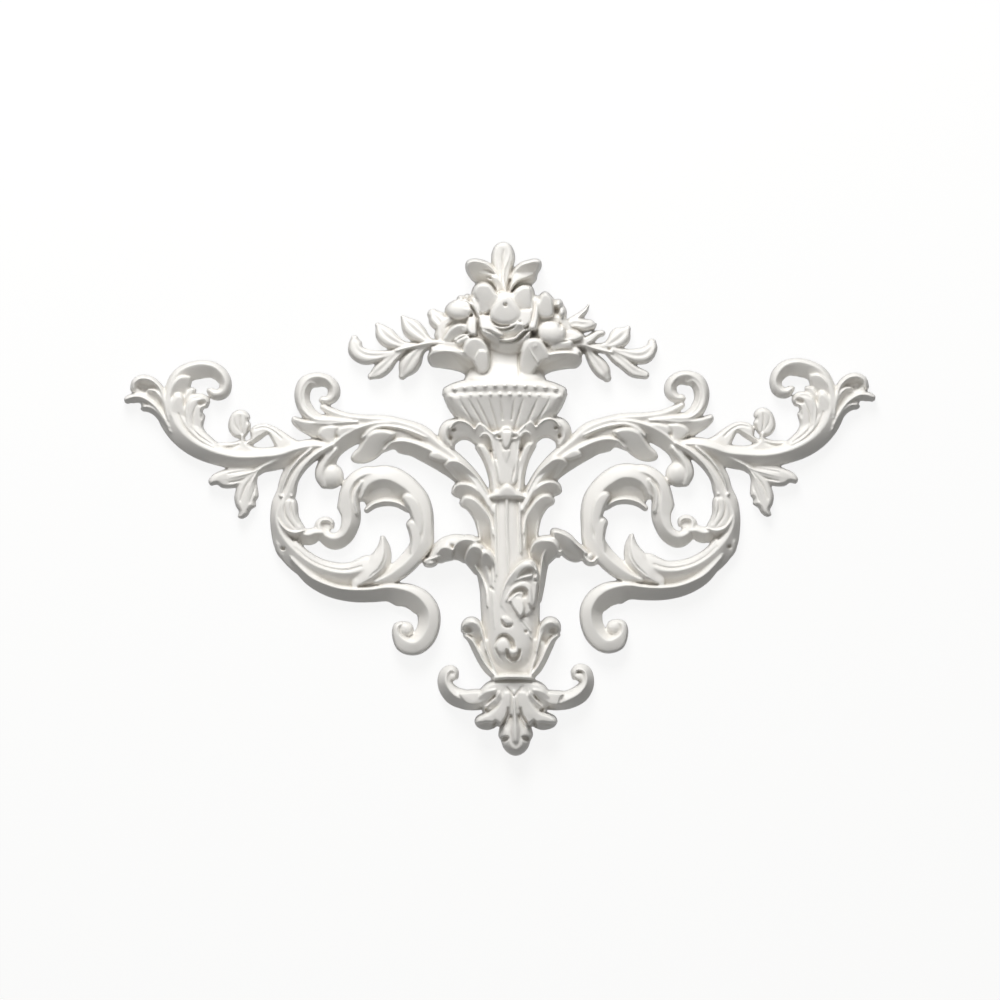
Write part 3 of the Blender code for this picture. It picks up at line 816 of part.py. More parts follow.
def relief(forms: list, xs: np.ndarray, ys: np.ndarray) -> np.ndarray:
    """Heights over the sheet: the highest form at every place, with the cuts taken off as they come."""
    field = np.full((len(ys), len(xs)), FLOOR)
    for form in forms:
        left, top, right, bottom = form.reach()
        across = slice(*np.searchsorted(xs, (left, right)))
        down = slice(*np.searchsorted(ys, (top, bottom)))
        part = form.heights(*np.meshgrid(xs[across], ys[down]))
        if form.cut:
            field[down, across] -= np.maximum(part, 0.0)
        else:
            field[down, across] = np.maximum(field[down, across], part)
    return field


def blank(name: str, xs: np.ndarray, ys: np.ndarray, field: np.ndarray) -> bpy.types.Object:
    """A closed slab whose front is the relief, with its sides and its back behind the plane y = 0."""
    x, y = np.meshgrid(xs, ys)
    front = np.stack([x - FIXING[0], -field, FIXING[1] - y], axis=-1).reshape(-1, 3) * MM
    number = np.arange(x.size).reshape(x.shape)
    corners = (number[:-1, :-1], number[1:, :-1], number[1:, 1:], number[:-1, 1:])
    quads = np.stack(corners, axis=-1).reshape(-1, 4)
    rim = np.concatenate([number[:-1, 0], number[-1, :-1], number[:0:-1, -1], number[0, :0:-1]])
    back = front[rim]
    back[:, 1] = (SLAB - FLOOR) * MM
    below = x.size + np.arange(len(rim))
    walls = np.stack([rim, below, np.roll(below, -1), np.roll(rim, -1)], axis=-1)[:, ::-1]
    mesh = bpy.data.meshes.new(name)
    faces = quads.tolist() + walls.tolist() + [below[::-1].tolist()]
    mesh.from_pydata(np.concatenate([front, back]).tolist(), [], faces)
    solid = bpy.data.objects.new(name, mesh)
    bpy.context.scene.collection.objects.link(solid)
    return solid


def plane_off(solid: bpy.types.Object) -> None:
    """Cuts away all that lies behind the plane y = 0."""
    left, top, right, bottom = SHEET
    deep = 4 * SLAB
    middle = ((left + right) / 2 - FIXING[0], deep / 2, FIXING[1] - (top + bottom) / 2)
    bpy.ops.mesh.primitive_cube_add(size=MM, location=[MM * value for value in middle])
    cutter = bpy.context.object
    cutter.name = "back_plane"
    cutter.scale = (2 * (right - left), deep, 2 * (bottom - top))
    cutter.hide_render = True
    cutter.display_type = "WIRE"
    cut = solid.modifiers.new("flat back", "BOOLEAN")
    cut.operation = "DIFFERENCE"
    cut.solver = "EXACT"
    cut.object = cutter


def dress(solid: bpy.types.Object) -> None:
    """Gives the solid its white satin coat and smooth shading."""
    coat = bpy.data.materials.new(solid.name)
    coat.use_nodes = True
    shader = coat.node_tree.nodes["Principled BSDF"]
    shader.inputs["Base Color"].default_value = WHITE
    shader.inputs["Roughness"].default_value = 0.5
    coat.diffuse_color = WHITE
    solid.data.materials.append(coat)
    solid.data.shade_smooth()


def main() -> None:
    """Clears the scene and builds the casting."""
    for leftover in list(bpy.data.objects):
        bpy.data.objects.remove(leftover, do_unlink=True)
    left, top, right, bottom = SHEET
    xs = np.arange(left, right + GRID, GRID)
    ys = np.arange(top, bottom + GRID, GRID)
    casting = blank("applique", xs, ys, relief(all_forms(), xs, ys))
    thin = casting.modifiers.new("facets", "DECIMATE")
    thin.ratio = FACES / (2 * len(casting.data.polygons))
    thin.use_collapse_triangulate = True
    plane_off(casting)
    dress(casting)


main()
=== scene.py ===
"""White cast wall applique: a flower vase on a stem, scrolled acanthus arms, leafy wings and a pendant.

The casting is one relief. It is drawn in millimetres on a sheet, with x to the right and y down, as
ridges, domes and petals. A ridge is a smooth path with stations (x, y, width to the left, width to the
right, height), a dome is an oval boss, and a petal is a face inside an outline. Each moulding, which is a
sub-assembly, has its own corner on the sheet, from which its forms are measured, and its own crest, of
which their heights are percentages. At every place of a fine grid the relief is the highest of all the
forms there, and a form that is marked as a cut is taken out of the forms drawn before it. The grid is cut
at the back plane, closed by a flat back, and painted.
"""

from __future__ import annotations

import logging
import math
from collections.abc import Iterator
from dataclasses import dataclass, replace
from enum import Enum

import bpy
import numpy as np
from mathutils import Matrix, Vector

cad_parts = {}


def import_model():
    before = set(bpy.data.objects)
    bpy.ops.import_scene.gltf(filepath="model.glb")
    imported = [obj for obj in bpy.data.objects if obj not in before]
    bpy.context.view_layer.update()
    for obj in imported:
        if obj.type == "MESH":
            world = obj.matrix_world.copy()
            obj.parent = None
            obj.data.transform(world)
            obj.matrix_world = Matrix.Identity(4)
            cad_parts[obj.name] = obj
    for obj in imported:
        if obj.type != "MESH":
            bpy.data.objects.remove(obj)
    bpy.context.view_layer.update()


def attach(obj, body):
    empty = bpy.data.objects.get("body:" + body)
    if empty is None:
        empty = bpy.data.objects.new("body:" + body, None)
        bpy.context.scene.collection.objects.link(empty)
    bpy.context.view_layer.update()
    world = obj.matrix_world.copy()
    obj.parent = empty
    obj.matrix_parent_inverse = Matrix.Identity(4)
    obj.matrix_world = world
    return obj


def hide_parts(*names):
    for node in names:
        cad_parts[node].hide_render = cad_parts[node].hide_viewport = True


log = logging.getLogger("applique")

MM = 0.001  # metres
FIXING = (507.0, 490.0)  # the place on the sheet that lies on the frame's origin
SHEET = (112.0, 232.0, 888.0, 768.0)  # left, top, right and bottom of the drawing
PITCH = 0.6  # spacing of the grid over the sheet
STEP = 1.6  # spacing along a smoothed path
FILLET = 1.2  # width of the narrowest gap that stays open
LOOP_PARTS = 6  # pieces of a smoothed outline for each of its corners
SOFTENING = 0.6  # radius over which paint and mould round every crease
FLOOR = -12.0  # depth to which the walls are worked out behind the back plane
DRAFT = 12.0  # fall of a wall for each millimetre outwards
WALL = 1.5  # most that a wall takes of the width, which is measured at the foot
DEEPEST_CUT = 1.5  # what every cut leaves standing over the back
THINNEST = 0.3  # least width and height that a smoothed path may have
RIDGE_WALL_SHARE = 0.4  # most that a ridge's wall takes of its width, as a share
DOME_WALL_SHARE = 0.3  # the same for a dome
PETAL_WALL = 0.5  # how far inside a petal's outline its wall stands
PETAL_ROUNDING = 1.6  # power that spreads a bevel's drop towards the edge
VEIN_WIDTH = 1.5  # distance from a leaf's crest over which its vein thins out
VEIN_FADES_IN = 0.12  # share of a ridge's length over which its vein deepens
VEIN_FADES_OUT = 0.25  # share over which it ends
READINGS = 16  # readings of a curve for each of its stations
MARGIN = 2.0  # most that a petal's curved edge stands out past its corners
LEVEL_TOP = 0.05  # fall to the second value below which a section starts level
FACES = 190000  # triangles after thinning

Place = tuple[float, float]
Station = tuple[float, float, float, float, float]
Box = tuple[float, float, float, float]


class Section(Enum):
    """Heights across one side of a ridge, from its crest to its edge, as shares of the crest."""

    SLOPE = (1.0, 0.86, 0.70, 0.53, 0.36)
    UNDER = (1.0, 0.80, 0.60, 0.40, 0.22)
    ROUND = (1.0, 0.97, 0.88, 0.70, 0.40)
    FULL = (1.0, 0.99, 0.95, 0.84, 0.55)
    GENTLE = (1.0, 0.97, 0.92, 0.86, 0.76)
    LEAF = (1.0, 1.0, 0.97, 0.82, 0.30)

    def share(self, t: np.ndarray) -> np.ndarray:
        """Height at a share of the width, by a cubic through the five values.

        Args:
            t: Share of the width, 0 at the crest and 1 at the edge.

        Returns:
            Share of the crest's height.
        """
        values = np.array(self.value)
        slopes = np.gradient(values)
        if values[0] - values[1] < LEVEL_TOP:
            slopes[0] = 0.0
        last = len(values) - 1
        k = np.minimum((t * last).astype(int), last - 1)
        f = t * last - k
        near = (1 + 2 * f) * (1 - f) ** 2 * values[k] + f * (1 - f) ** 2 * slopes[k]
        far = f * f * (3 - 2 * f) * values[k + 1] + f * f * (f - 1) * slopes[k + 1]
        return near + far


SLOPE, UNDER, ROUND, FULL, GENTLE, LEAF = Section


@dataclass(frozen=True)
class TwinRule:
    """How the right arm answers the left: turned over, a little shorter, leaning outwards below a level."""

    middle: float = 505.0
    share: float = 0.974
    lean: float = 0.058
    level: float = 410.0
    lift: float = 2.0

    def place(self, x: float, y: float) -> Place:
        """Place on the sheet in the right arm for a place in the left arm."""
        return self.middle + (self.middle - x) * self.share + self.lean * (y - self.level), y - self.lift


TWIN = TwinRule()


def knots_of(rows: np.ndarray) -> np.ndarray:
    """Centripetal knots of rows (x, y, ...): running sums of the roots of the chords."""
    return np.concatenate([[0.0], np.cumsum(np.sqrt(np.hypot(*np.diff(rows[:, :2], axis=0).T)))])


def cubic(rows: np.ndarray, knots: np.ndarray, at: np.ndarray) -> np.ndarray:
    """Smooth curve through rows, by cubic pieces whose slopes are the central differences over the knots.

    Args:
        rows: Rows (x, y, ...) to pass through.
        knots: Their knots.
        at: Where to read the curve, in knots.

    Returns:
        Rows of the curve.
    """
    slopes = np.gradient(rows, knots, axis=0)
    k = np.clip(np.searchsorted(knots, at, side="right") - 1, 0, len(rows) - 2)
    span = (knots[k + 1] - knots[k])[:, None]
    t = (at - knots[k])[:, None] / span
    near = (1 + 2 * t) * (1 - t) ** 2 * rows[k] + t * (1 - t) ** 2 * span * slopes[k]
    return near + t * t * (3 - 2 * t) * rows[k + 1] + t * t * (t - 1) * span * slopes[k + 1]


def smooth_path(stations: list[Station]) -> np.ndarray:
    """Carries a curve through stations and reads it at even spacing.

    Args:
        stations: The stations of a ridge.

    Returns:
        Rows like the stations, STEP apart along the curve.
    """
    rows = np.asarray(stations, float)
    knots = knots_of(rows)
    curve = cubic(rows, knots, np.linspace(0.0, knots[-1], READINGS * len(rows)))
    curve[:, 2:] = np.maximum(curve[:, 2:], THINNEST)
    run = np.concatenate([[0.0], np.cumsum(np.hypot(*np.diff(curve[:, :2], axis=0).T))])
    even = np.linspace(0.0, run[-1], max(4, int(run[-1] / STEP) + 1))
    return np.stack([np.interp(even, run, column) for column in curve.T], axis=1)


def smooth_loop(corners: list[Place]) -> np.ndarray:
    """Carries a closed curve through the corners of an outline.

    Args:
        corners: Points (x, y) round the outline.

    Returns:
        Points along the curve, LOOP_PARTS for each corner.
    """
    rows = np.asarray(corners, float)
    n = len(rows)
    ring = rows[np.arange(-2, n + 3) % n]
    knots = knots_of(ring)
    return cubic(ring, knots, np.linspace(knots[2], knots[n + 2], LOOP_PARTS * n, endpoint=False))


@dataclass(frozen=True)
class Form:
    """One form of the relief."""

    name: str

    def twin(self) -> Form:
        """The same form in the right arm."""
        raise NotImplementedError

    def laid(self, corner: Place, crest: float) -> Form:
        """The same form on the sheet, from a moulding's corner, with its heights in millimetres."""
        raise NotImplementedError

    def reach(self) -> Box:
        """Rectangle of the sheet that the form can touch."""
        raise NotImplementedError

    def heights(self, x: np.ndarray, y: np.ndarray) -> np.ndarray:
        """Height of the form over every place."""
        raise NotImplementedError


@dataclass(frozen=True)
class Ridge(Form):
    """A moulded ridge along a smooth path, with a cross-section to each side.

    A vein is a groove along the crest that fades to both ends. A square ridge ends straight across.
    """

    left: Section
    right: Section
    stations: list[Station]
    vein: float = 0.0
    square: bool = False
    cut: bool = False

    def twin(self) -> Ridge:
        """The ridge in the right arm, where its sides change places."""
        stations = [(*TWIN.place(x, y), right, left, high) for x, y, left, right, high in self.stations]
        return replace(self, left=self.right, right=self.left, stations=stations)

    def laid(self, corner: Place, crest: float) -> Ridge:
        """The ridge on the sheet, with its heights in millimetres."""
        right, down = corner
        share = crest / 100
        stations = [(x + right, y + down, *widths, high * share) for x, y, *widths, high in self.stations]
        return replace(self, stations=stations)

    def reach(self) -> Box:
        """Rectangle of the sheet that the ridge can touch."""
        path = smooth_path(self.stations)
        wide = path[:, 2:4].max() + (path[:, 4].max() - FLOOR) / DRAFT
        return (*(path[:, :2].min(axis=0) - wide), *(path[:, :2].max(axis=0) + wide))

    def heights(self, x: np.ndarray, y: np.ndarray) -> np.ndarray:
        """Height over every place: the nearest row's crest times the section's share, then the wall.

        Args:
            x: Places across the sheet.
            y: Places down the sheet.

        Returns:
            Height over the back plane, which goes on below it outside the ridge.
        """
        path = smooth_path(self.stations)
        nearest = np.full(x.shape, np.inf)
        side = np.zeros(x.shape)
        along = np.zeros(x.shape)
        for i, (a, b) in enumerate(zip(path[:-1, :2], path[1:, :2])):
            run = b - a
            u = np.clip(((x - a[0]) * run[0] + (y - a[1]) * run[1]) / (run @ run), 0.0, 1.0)
            off = (x - a[0] - u * run[0]) ** 2 + (y - a[1] - u * run[1]) ** 2
            closer = off < nearest
            nearest[closer] = off[closer]
            side[closer] = (run[0] * (y - a[1]) - run[1] * (x - a[0]))[closer]
            along[closer] = i + u[closer]
        rows = [np.interp(along, np.arange(len(path)), column) for column in path[:, 2:].T]
        distance = np.sqrt(nearest)
        wide = np.where(side < 0, rows[0], rows[1])
        edge = rows[2] * np.where(side < 0, self.left.value[-1], self.right.value[-1])
        if not self.cut:
            wide = wide - np.minimum(np.minimum(edge / DRAFT, WALL), RIDGE_WALL_SHARE * wide)
        t = np.clip(distance / wide, 0.0, 1.0)
        high = rows[2] * np.where(side < 0, self.left.share(t), self.right.share(t))
        if self.vein:
            done = along / (len(path) - 1)
            fade = np.clip(done / VEIN_FADES_IN, 0.0, 1.0)
            fade *= np.clip((1.0 - done) / VEIN_FADES_OUT, 0.0, 1.0)
            high -= self.vein * fade * np.exp(-((distance / VEIN_WIDTH) ** 2))
        past = np.maximum(distance - wide, 0.0)
        if self.square:
            for end, inner in ((path[0], path[1]), (path[-1], path[-2])):
                way = (end - inner)[:2] / np.hypot(*(end - inner)[:2])
                past = np.maximum(past, (x - end[0]) * way[0] + (y - end[1]) * way[1])
        return high - DRAFT * past


@dataclass(frozen=True)
class Dome(Form):
    """A boss on an oval foot that takes `foot` of its height, and rises by `lean` to the right and down."""

    x: float
    y: float
    half_width: float
    half_height: float
    high: float
    turn: float = 0.0
    foot: float = 0.45
    lean: tuple[float, float] = (0.0, 0.0)
    cut: bool = False

    def twin(self) -> Dome:
        """The dome in the right arm."""
        x, y = TWIN.place(self.x, self.y)
        return replace(self, x=x, y=y, turn=-self.turn, lean=(-self.lean[0], self.lean[1]))

    def laid(self, corner: Place, crest: float) -> Dome:
        """The dome on the sheet, with its height in millimetres."""
        return replace(self, x=self.x + corner[0], y=self.y + corner[1], high=self.high * crest / 100)

    def reach(self) -> Box:
        """Rectangle of the sheet that the dome can touch."""
        wide = max(self.half_width, self.half_height) + (self.high - FLOOR) / DRAFT
        return self.x - wide, self.y - wide, self.x + wide, self.y + wide

    def heights(self, x: np.ndarray, y: np.ndarray) -> np.ndarray:
        """Height over every place: half an ellipsoid on its foot, plus the lean, then the drafted wall.

        Args:
            x: Places across the sheet.
            y: Places down the sheet.

        Returns:
            Height over the back plane, which goes on below it outside the foot.
        """
        c, s = math.cos(math.radians(self.turn)), math.sin(math.radians(self.turn))
        small = min(self.half_width, self.half_height)
        wall = 0.0 if self.cut else min(self.high * self.foot / DRAFT, WALL, DOME_WALL_SHARE * small)
        across = ((x - self.x) * c + (y - self.y) * s) / (self.half_width - wall)
        up = ((y - self.y) * c - (x - self.x) * s) / (self.half_height - wall)
        radius = np.hypot(across, up)
        cap = np.sqrt(np.maximum(1.0 - radius**2, 0.0))
        past = np.maximum(radius - 1.0, 0.0) * (small - wall)
        leaned = (x - self.x) * self.lean[0] + (y - self.y) * self.lean[1]
        return self.high * (self.foot + (1.0 - self.foot) * cap) + leaned - DRAFT * past


@dataclass(frozen=True)
class Petal(Form):
    """A face inside an outline, level or leaning, rounded down at its edge by a bevel (width, drop)."""

    outline: list[Place]
    high: float
    lean: tuple[float, float] = (0.0, 0.0)
    bevel: tuple[float, float] = (1.0, 1.0)
    cut: bool = False

    def twin(self) -> Petal:
        """The petal in the right arm."""
        outline = [TWIN.place(x, y) for x, y in self.outline]
        return replace(self, outline=outline, lean=(-self.lean[0], self.lean[1]))

    def laid(self, corner: Place, crest: float) -> Petal:
        """The petal on the sheet, with its height in millimetres."""
        outline = [(x + corner[0], y + corner[1]) for x, y in self.outline]
        return replace(self, outline=outline, high=self.high * crest / 100)

    def reach(self) -> Box:
        """Rectangle of the sheet that the petal can touch."""
        places = np.array(self.outline)
        wide = MARGIN + (self.high - FLOOR) / DRAFT
        return (*(places.min(axis=0) - wide), *(places.max(axis=0) + wide))

    def heights(self, x: np.ndarray, y: np.ndarray) -> np.ndarray:
        """Height over every place: a leaning plane, less the bevel, then the drafted wall outside.

        The bevel's drop grows as the PETAL_ROUNDING power of how far a place is through the bevel.

        Args:
            x: Places across the sheet.
            y: Places down the sheet.

        Returns:
            Height over the back plane, which goes on below it outside the outline.
        """
        loop = smooth_loop(self.outline)
        nearest = np.full(x.shape, np.inf)
        inside = np.zeros(x.shape, bool)
        for a, b in zip(loop, np.roll(loop, -1, axis=0)):
            run = b - a
            u = np.clip(((x - a[0]) * run[0] + (y - a[1]) * run[1]) / (run @ run), 0.0, 1.0)
            nearest = np.minimum(nearest, (x - a[0] - u * run[0]) ** 2 + (y - a[1] - u * run[1]) ** 2)
            spans = (a[1] > y) != (b[1] > y)
            way = np.sign(run[1])
            inside ^= spans & ((x - a[0]) * run[1] * way < (y - a[1]) * run[0] * way)
        middle = np.mean(self.outline, axis=0)
        leaned = self.high + (x - middle[0]) * self.lean[0] + (y - middle[1]) * self.lean[1]
        edge = np.where(inside, -1.0, 1.0) * np.sqrt(nearest) + PETAL_WALL
        through = np.clip(1.0 + edge / self.bevel[0], 0.0, 1.0)
        return leaned - self.bevel[1] * through**PETAL_ROUNDING - DRAFT * np.maximum(edge, 0.0)


def line(name: str, stations: list[tuple[float, float, float, float]], cut: bool = False) -> Ridge:
    """A round ridge as wide to the left as to the right, with stations (x, y, width to a side, height)."""
    return Ridge(name, ROUND, ROUND, [(x, y, wide, wide, high) for x, y, wide, high in stations], cut=cut)


def groove(name: str, stations: list[tuple[float, float, float, float]]) -> Ridge:
    """A round furrow along a path, with stations (x, y, width to a side, depth)."""
    return line(name, stations, cut=True)


def dent(
    name: str, x: float, y: float, half_width: float, half_height: float, deep: float, turn: float = 0.0
) -> Dome:
    """An oval hollow."""
    return Dome(name, x, y, half_width, half_height, deep, turn=turn, cut=True)


def leaf(name: str, stations: list[Station]) -> Ridge:
    """A leaf of a sprig, with a vein along its crest."""
    return Ridge(name, LEAF, LEAF, stations, vein=1.5)


@dataclass(frozen=True)
class Moulding:
    """A sub-assembly of the casting: its crest in millimetres and the forms that it is drawn with."""

    crest: float
    corner: Place  # the place on the sheet from which its forms are measured
    paired: bool = False  # True where the right arm has its twin

    def drawn(self) -> Iterator[Form]:
        """The forms as drawn, measured from the corner, with heights in percent of the crest."""
        raise NotImplementedError

    def forms(self) -> list[Form]:
        """The forms with heights in millimetres, and their twins where the moulding is paired."""
        made = [form.laid(self.corner, self.crest) for form in self.drawn()]
        return made + [form.twin() for form in made] if self.paired else made


@dataclass(frozen=True)
class Wing(Moulding):
    """Band of the wing, its hook and the lobes that fill the hook."""

    crest: float = 22.0
    corner: Place = (165.0, 360.0)
    paired: bool = True

    def drawn(self) -> Iterator[Form]:
        """The forms in drawing order."""
        yield Ridge("wing_band", SLOPE, GENTLE, [(161, 86, 6, 5, 77.3), (145, 87, 11, 8, 95.5),
            (131, 90, 12, 8, 100), (115, 95, 12, 7, 95.5), (97, 97, 12, 7, 90.9),
            (75, 97.5, 12.5, 7, 90.9), (55, 94, 12, 9, 90.9), (37, 87, 13, 14, 86.4),
            (22, 77, 13.5, 16, 81.8), (11, 64, 14, 14, 77.3), (5, 50, 14, 10, 72.7), (2, 38, 8, 6, 63.6)])
        yield Ridge("hook", ROUND, SLOPE, [(7, 56, 5, 12, 77.3), (3, 42, 4, 12, 77.3),
            (5.5, 27, 5, 14, 77.3), (12.5, 15, 5.5, 14, 77.3), (24, 7.5, 5, 14, 77.3),
            (38, 4.5, 4.5, 14.5, 77.3), (50, 7.5, 5, 12, 77.3), (58, 15.5, 6, 9, 75),
            (61, 24, 6, 7, 72.7), (57.5, 31, 8, 5, 68.2), (51, 33, 7.5, 3.5, 63.6),
            (46.5, 30.5, 5, 3, 56.8)])
        yield Petal("lobe_1_face", [(6, 44), (6.5, 30), (11, 21), (17.5, 16.5), (24.5, 17.5),
            (26.3, 22.5), (23.5, 30), (19.5, 38), (16, 47), (10, 52)], 54.5, lean=(-0.5, -0.6))
        yield Ridge("lobe_1_rim", ROUND, ROUND, [(7, 54, 2.5, 3, 75), (5.5, 40, 2.5, 3, 78.6),
            (8, 28, 2.5, 3, 78.6), (13, 20.5, 2.5, 3, 77.3), (19, 17, 2.5, 2.5, 75),
            (24.5, 18, 2.2, 2.2, 68.2)])
        yield Petal("lobe_2_face", [(8, 54), (8, 44), (11, 37.5), (15, 35), (18.5, 38), (20, 46),
            (23, 55), (26, 64), (20, 70), (12, 63)], 68.2, lean=(-0.12, -0.2), bevel=(1.5, 2))
        yield line("lobe_2_rim", [(11, 64, 2.5, 77.3), (7, 51, 2.5, 78.6), (8, 41.5, 2.5, 77.3),
            (12, 35, 2.5, 75), (16.5, 34.3, 2.2, 70.5), (18.3, 38, 1.8, 65.9)])
        yield Petal("lobe_3_face", [(25, 64), (23, 50), (25.5, 41.5), (32, 38), (39, 38.5), (42, 43),
            (39, 48), (37, 52), (40, 56), (39, 61), (38, 67), (43, 77), (35, 78), (28, 72)],
            65.9, lean=(-0.12, -0.12), bevel=(1.2, 1.8))
        yield dent("lobe_3_cave", 37.5, 43.3, 4.4, 2.6, 25, turn=-15)
        yield dent("lobe_3_notch", 38.5, 56.5, 2.4, 3.2, 20.5)
        yield groove("lobe_3_line", [(29, 70, 0.7, 4.5), (28.5, 57, 1, 8.2), (32, 45.5, 0.8, 6.8)])
        yield line("lobe_3_rim", [(26, 70, 2.5, 75), (22.5, 58, 2.5, 76.4), (22, 48, 2.5, 76.4),
            (25, 40, 2.5, 75), (31, 36.5, 2.8, 72.7), (38, 37, 3, 70.5), (42.3, 41.5, 3, 63.6),
            (41, 46, 2.6, 54.5)])
        yield Petal("lobe_4", [(18, 44), (19.5, 36), (23, 31), (28, 28), (31, 30), (29, 34.5), (25, 39),
            (23.5, 48), (23, 58), (20, 54)], 47.7, lean=(-0.1, -0.3), bevel=(1.5, 2))
        yield Ridge("wing_inner", GENTLE, ROUND, [(63, 90, 6, 5, 63.6), (51, 87, 6, 4, 65.9),
            (43, 81, 6, 3, 68.2)])
        yield groove("wing_groove_1", [(14, 54, 0.8, 6.8), (21, 68, 1.1, 11.4), (33, 80, 1.1, 11.4),
            (49, 88.5, 0.8, 6.8)])
        yield groove("wing_groove_2", [(26, 67, 0.7, 6.8), (35, 76.5, 1, 10), (48, 85, 0.8, 6.8)])


@dataclass(frozen=True)
class WingFlower(Moulding):
    """Half-open flower at the outer end of the wing."""

    crest: float = 18.0
    corner: Place = (125.0, 375.0)
    paired: bool = True

    def drawn(self) -> Iterator[Form]:
        """The forms in drawing order."""
        yield Petal("tip_base", [(6, 10), (11, 2.5), (22, 1), (31, 4), (37, 12), (40.5, 22), (44, 37),
            (48, 49), (44, 57), (36, 46), (27, 36), (18, 34), (14, 27), (3.5, 27), (2, 24), (9, 20),
            (6.5, 16)], 47.2, bevel=(2, 3))
        yield Ridge("tip_petal", UNDER, ROUND, [(42.5, 41, 4, 4, 94.4), (39.5, 25, 5, 3.5, 94.4),
            (35, 13, 6, 3.5, 97.2), (27, 5.8, 6.5, 4, 100), (18, 4, 6.5, 4.5, 97.2),
            (11, 7.5, 6.5, 4.5, 88.9), (9.5, 13.5, 5.5, 4.5, 77.8)])
        yield dent("tip_cave", 20.5, 13, 8, 4.3, 41.7, turn=18)
        yield Ridge("tip_inner", UNDER, ROUND, [(43.5, 45, 3, 3, 88.9), (40.5, 33, 5, 3, 88.9),
            (36, 22, 7.5, 3, 88.9), (30, 16, 7.5, 3, 86.1), (24.5, 15.5, 5, 2.5, 80.6)])
        yield Ridge("tip_lip", UNDER, ROUND, [(44, 52, 3, 3, 83.3), (37, 40, 5, 4, 83.3),
            (30, 31, 5.5, 4, 83.3), (22, 25, 6, 4, 83.3), (14, 22, 6, 4, 83.3), (6, 23, 6, 4, 80.6),
            (3, 24.5, 4.5, 4, 72.2)])
        yield Ridge("tip_under", UNDER, ROUND, [(45.5, 57, 3, 3, 72.2), (38.5, 45.5, 4, 4, 72.2),
            (31, 36, 5, 4, 72.2), (24, 32, 5.5, 3.5, 69.4), (20, 32, 5, 3, 66.7)])


@dataclass(frozen=True)
class WingTwig(Moulding):
    """Twig on top of the wing with its leaves."""

    crest: float = 16.0
    corner: Place = (215.0, 410.0)
    paired: bool = True

    def drawn(self) -> Iterator[Form]:
        """The forms in drawing order."""
        yield Petal("oval_leaf", [(28.5, 27.5), (21, 28), (16, 24), (13.3, 17), (14.5, 9), (17.5, 3.5),
            (23, 0), (29, 0.5), (33, 3), (35.3, 8), (33.5, 10.5), (35.8, 14.5), (34, 20), (32, 25)],
            78.1, lean=(0, -0.05), bevel=(3, 4))
        yield groove("oval_vein", [(28.5, 27, 0.9, 10), (26, 16, 0.9, 12.5), (25.5, 6, 0.6, 7.5)])
        yield groove("oval_line_1", [(27, 24, 0.6, 6.2), (20.5, 15, 0.8, 10), (19, 7, 0.6, 6.2)])
        yield groove("oval_line_2", [(29, 24, 0.6, 6.2), (31.5, 15, 0.8, 10), (31, 7, 0.6, 6.2)])
        yield line("branch_stem", [(28, 26, 2.4, 81.2), (28, 32, 2.6, 81.2), (33.5, 37.5, 3, 84.4),
            (45, 40.5, 3, 87.5), (60, 39.5, 3, 93.8), (75, 38, 4, 100)])
        yield Petal("twig", [(2, 35), (7, 32.5), (17, 32.5), (27, 30.5), (34, 36), (47, 39.5), (47, 47),
            (25, 48), (7, 45)], 78.1, lean=(0.05, 0.12), bevel=(2, 2.5))
        yield Ridge("twig_cut", ROUND, ROUND, [(2, 36.2, 0.8, 1.2, 9.4), (9, 37.3, 1, 1.5, 18.8),
            (18, 36.8, 1, 1.5, 18.8), (25, 34.8, 0.8, 1, 9.4)], cut=True)
        yield Petal("broad_leaf", [(35.5, 22), (39.5, 15.8), (49, 13.6), (58, 16), (67, 21), (77, 28),
            (89, 35), (83, 40), (69, 39.5), (62, 38), (57.5, 31), (53.5, 24.5), (50, 22.5), (43, 26),
            (37, 28.5)], 81.2, lean=(0.05, 0.1), bevel=(2.5, 3.5))
        yield groove("broad_line", [(41, 19.5, 0.8, 7.5), (49, 17.5, 0.9, 12.5), (58, 21, 0.9, 12.5),
            (67, 28.5, 0.8, 9.4)])
        yield Ridge("slot_leaf", ROUND, UNDER, [(31, 34, 2, 4, 71.9), (38, 29.5, 2.2, 4.6, 78.1),
            (45, 25, 2.2, 4.6, 78.1), (51.5, 21.5, 1.8, 3, 75)])


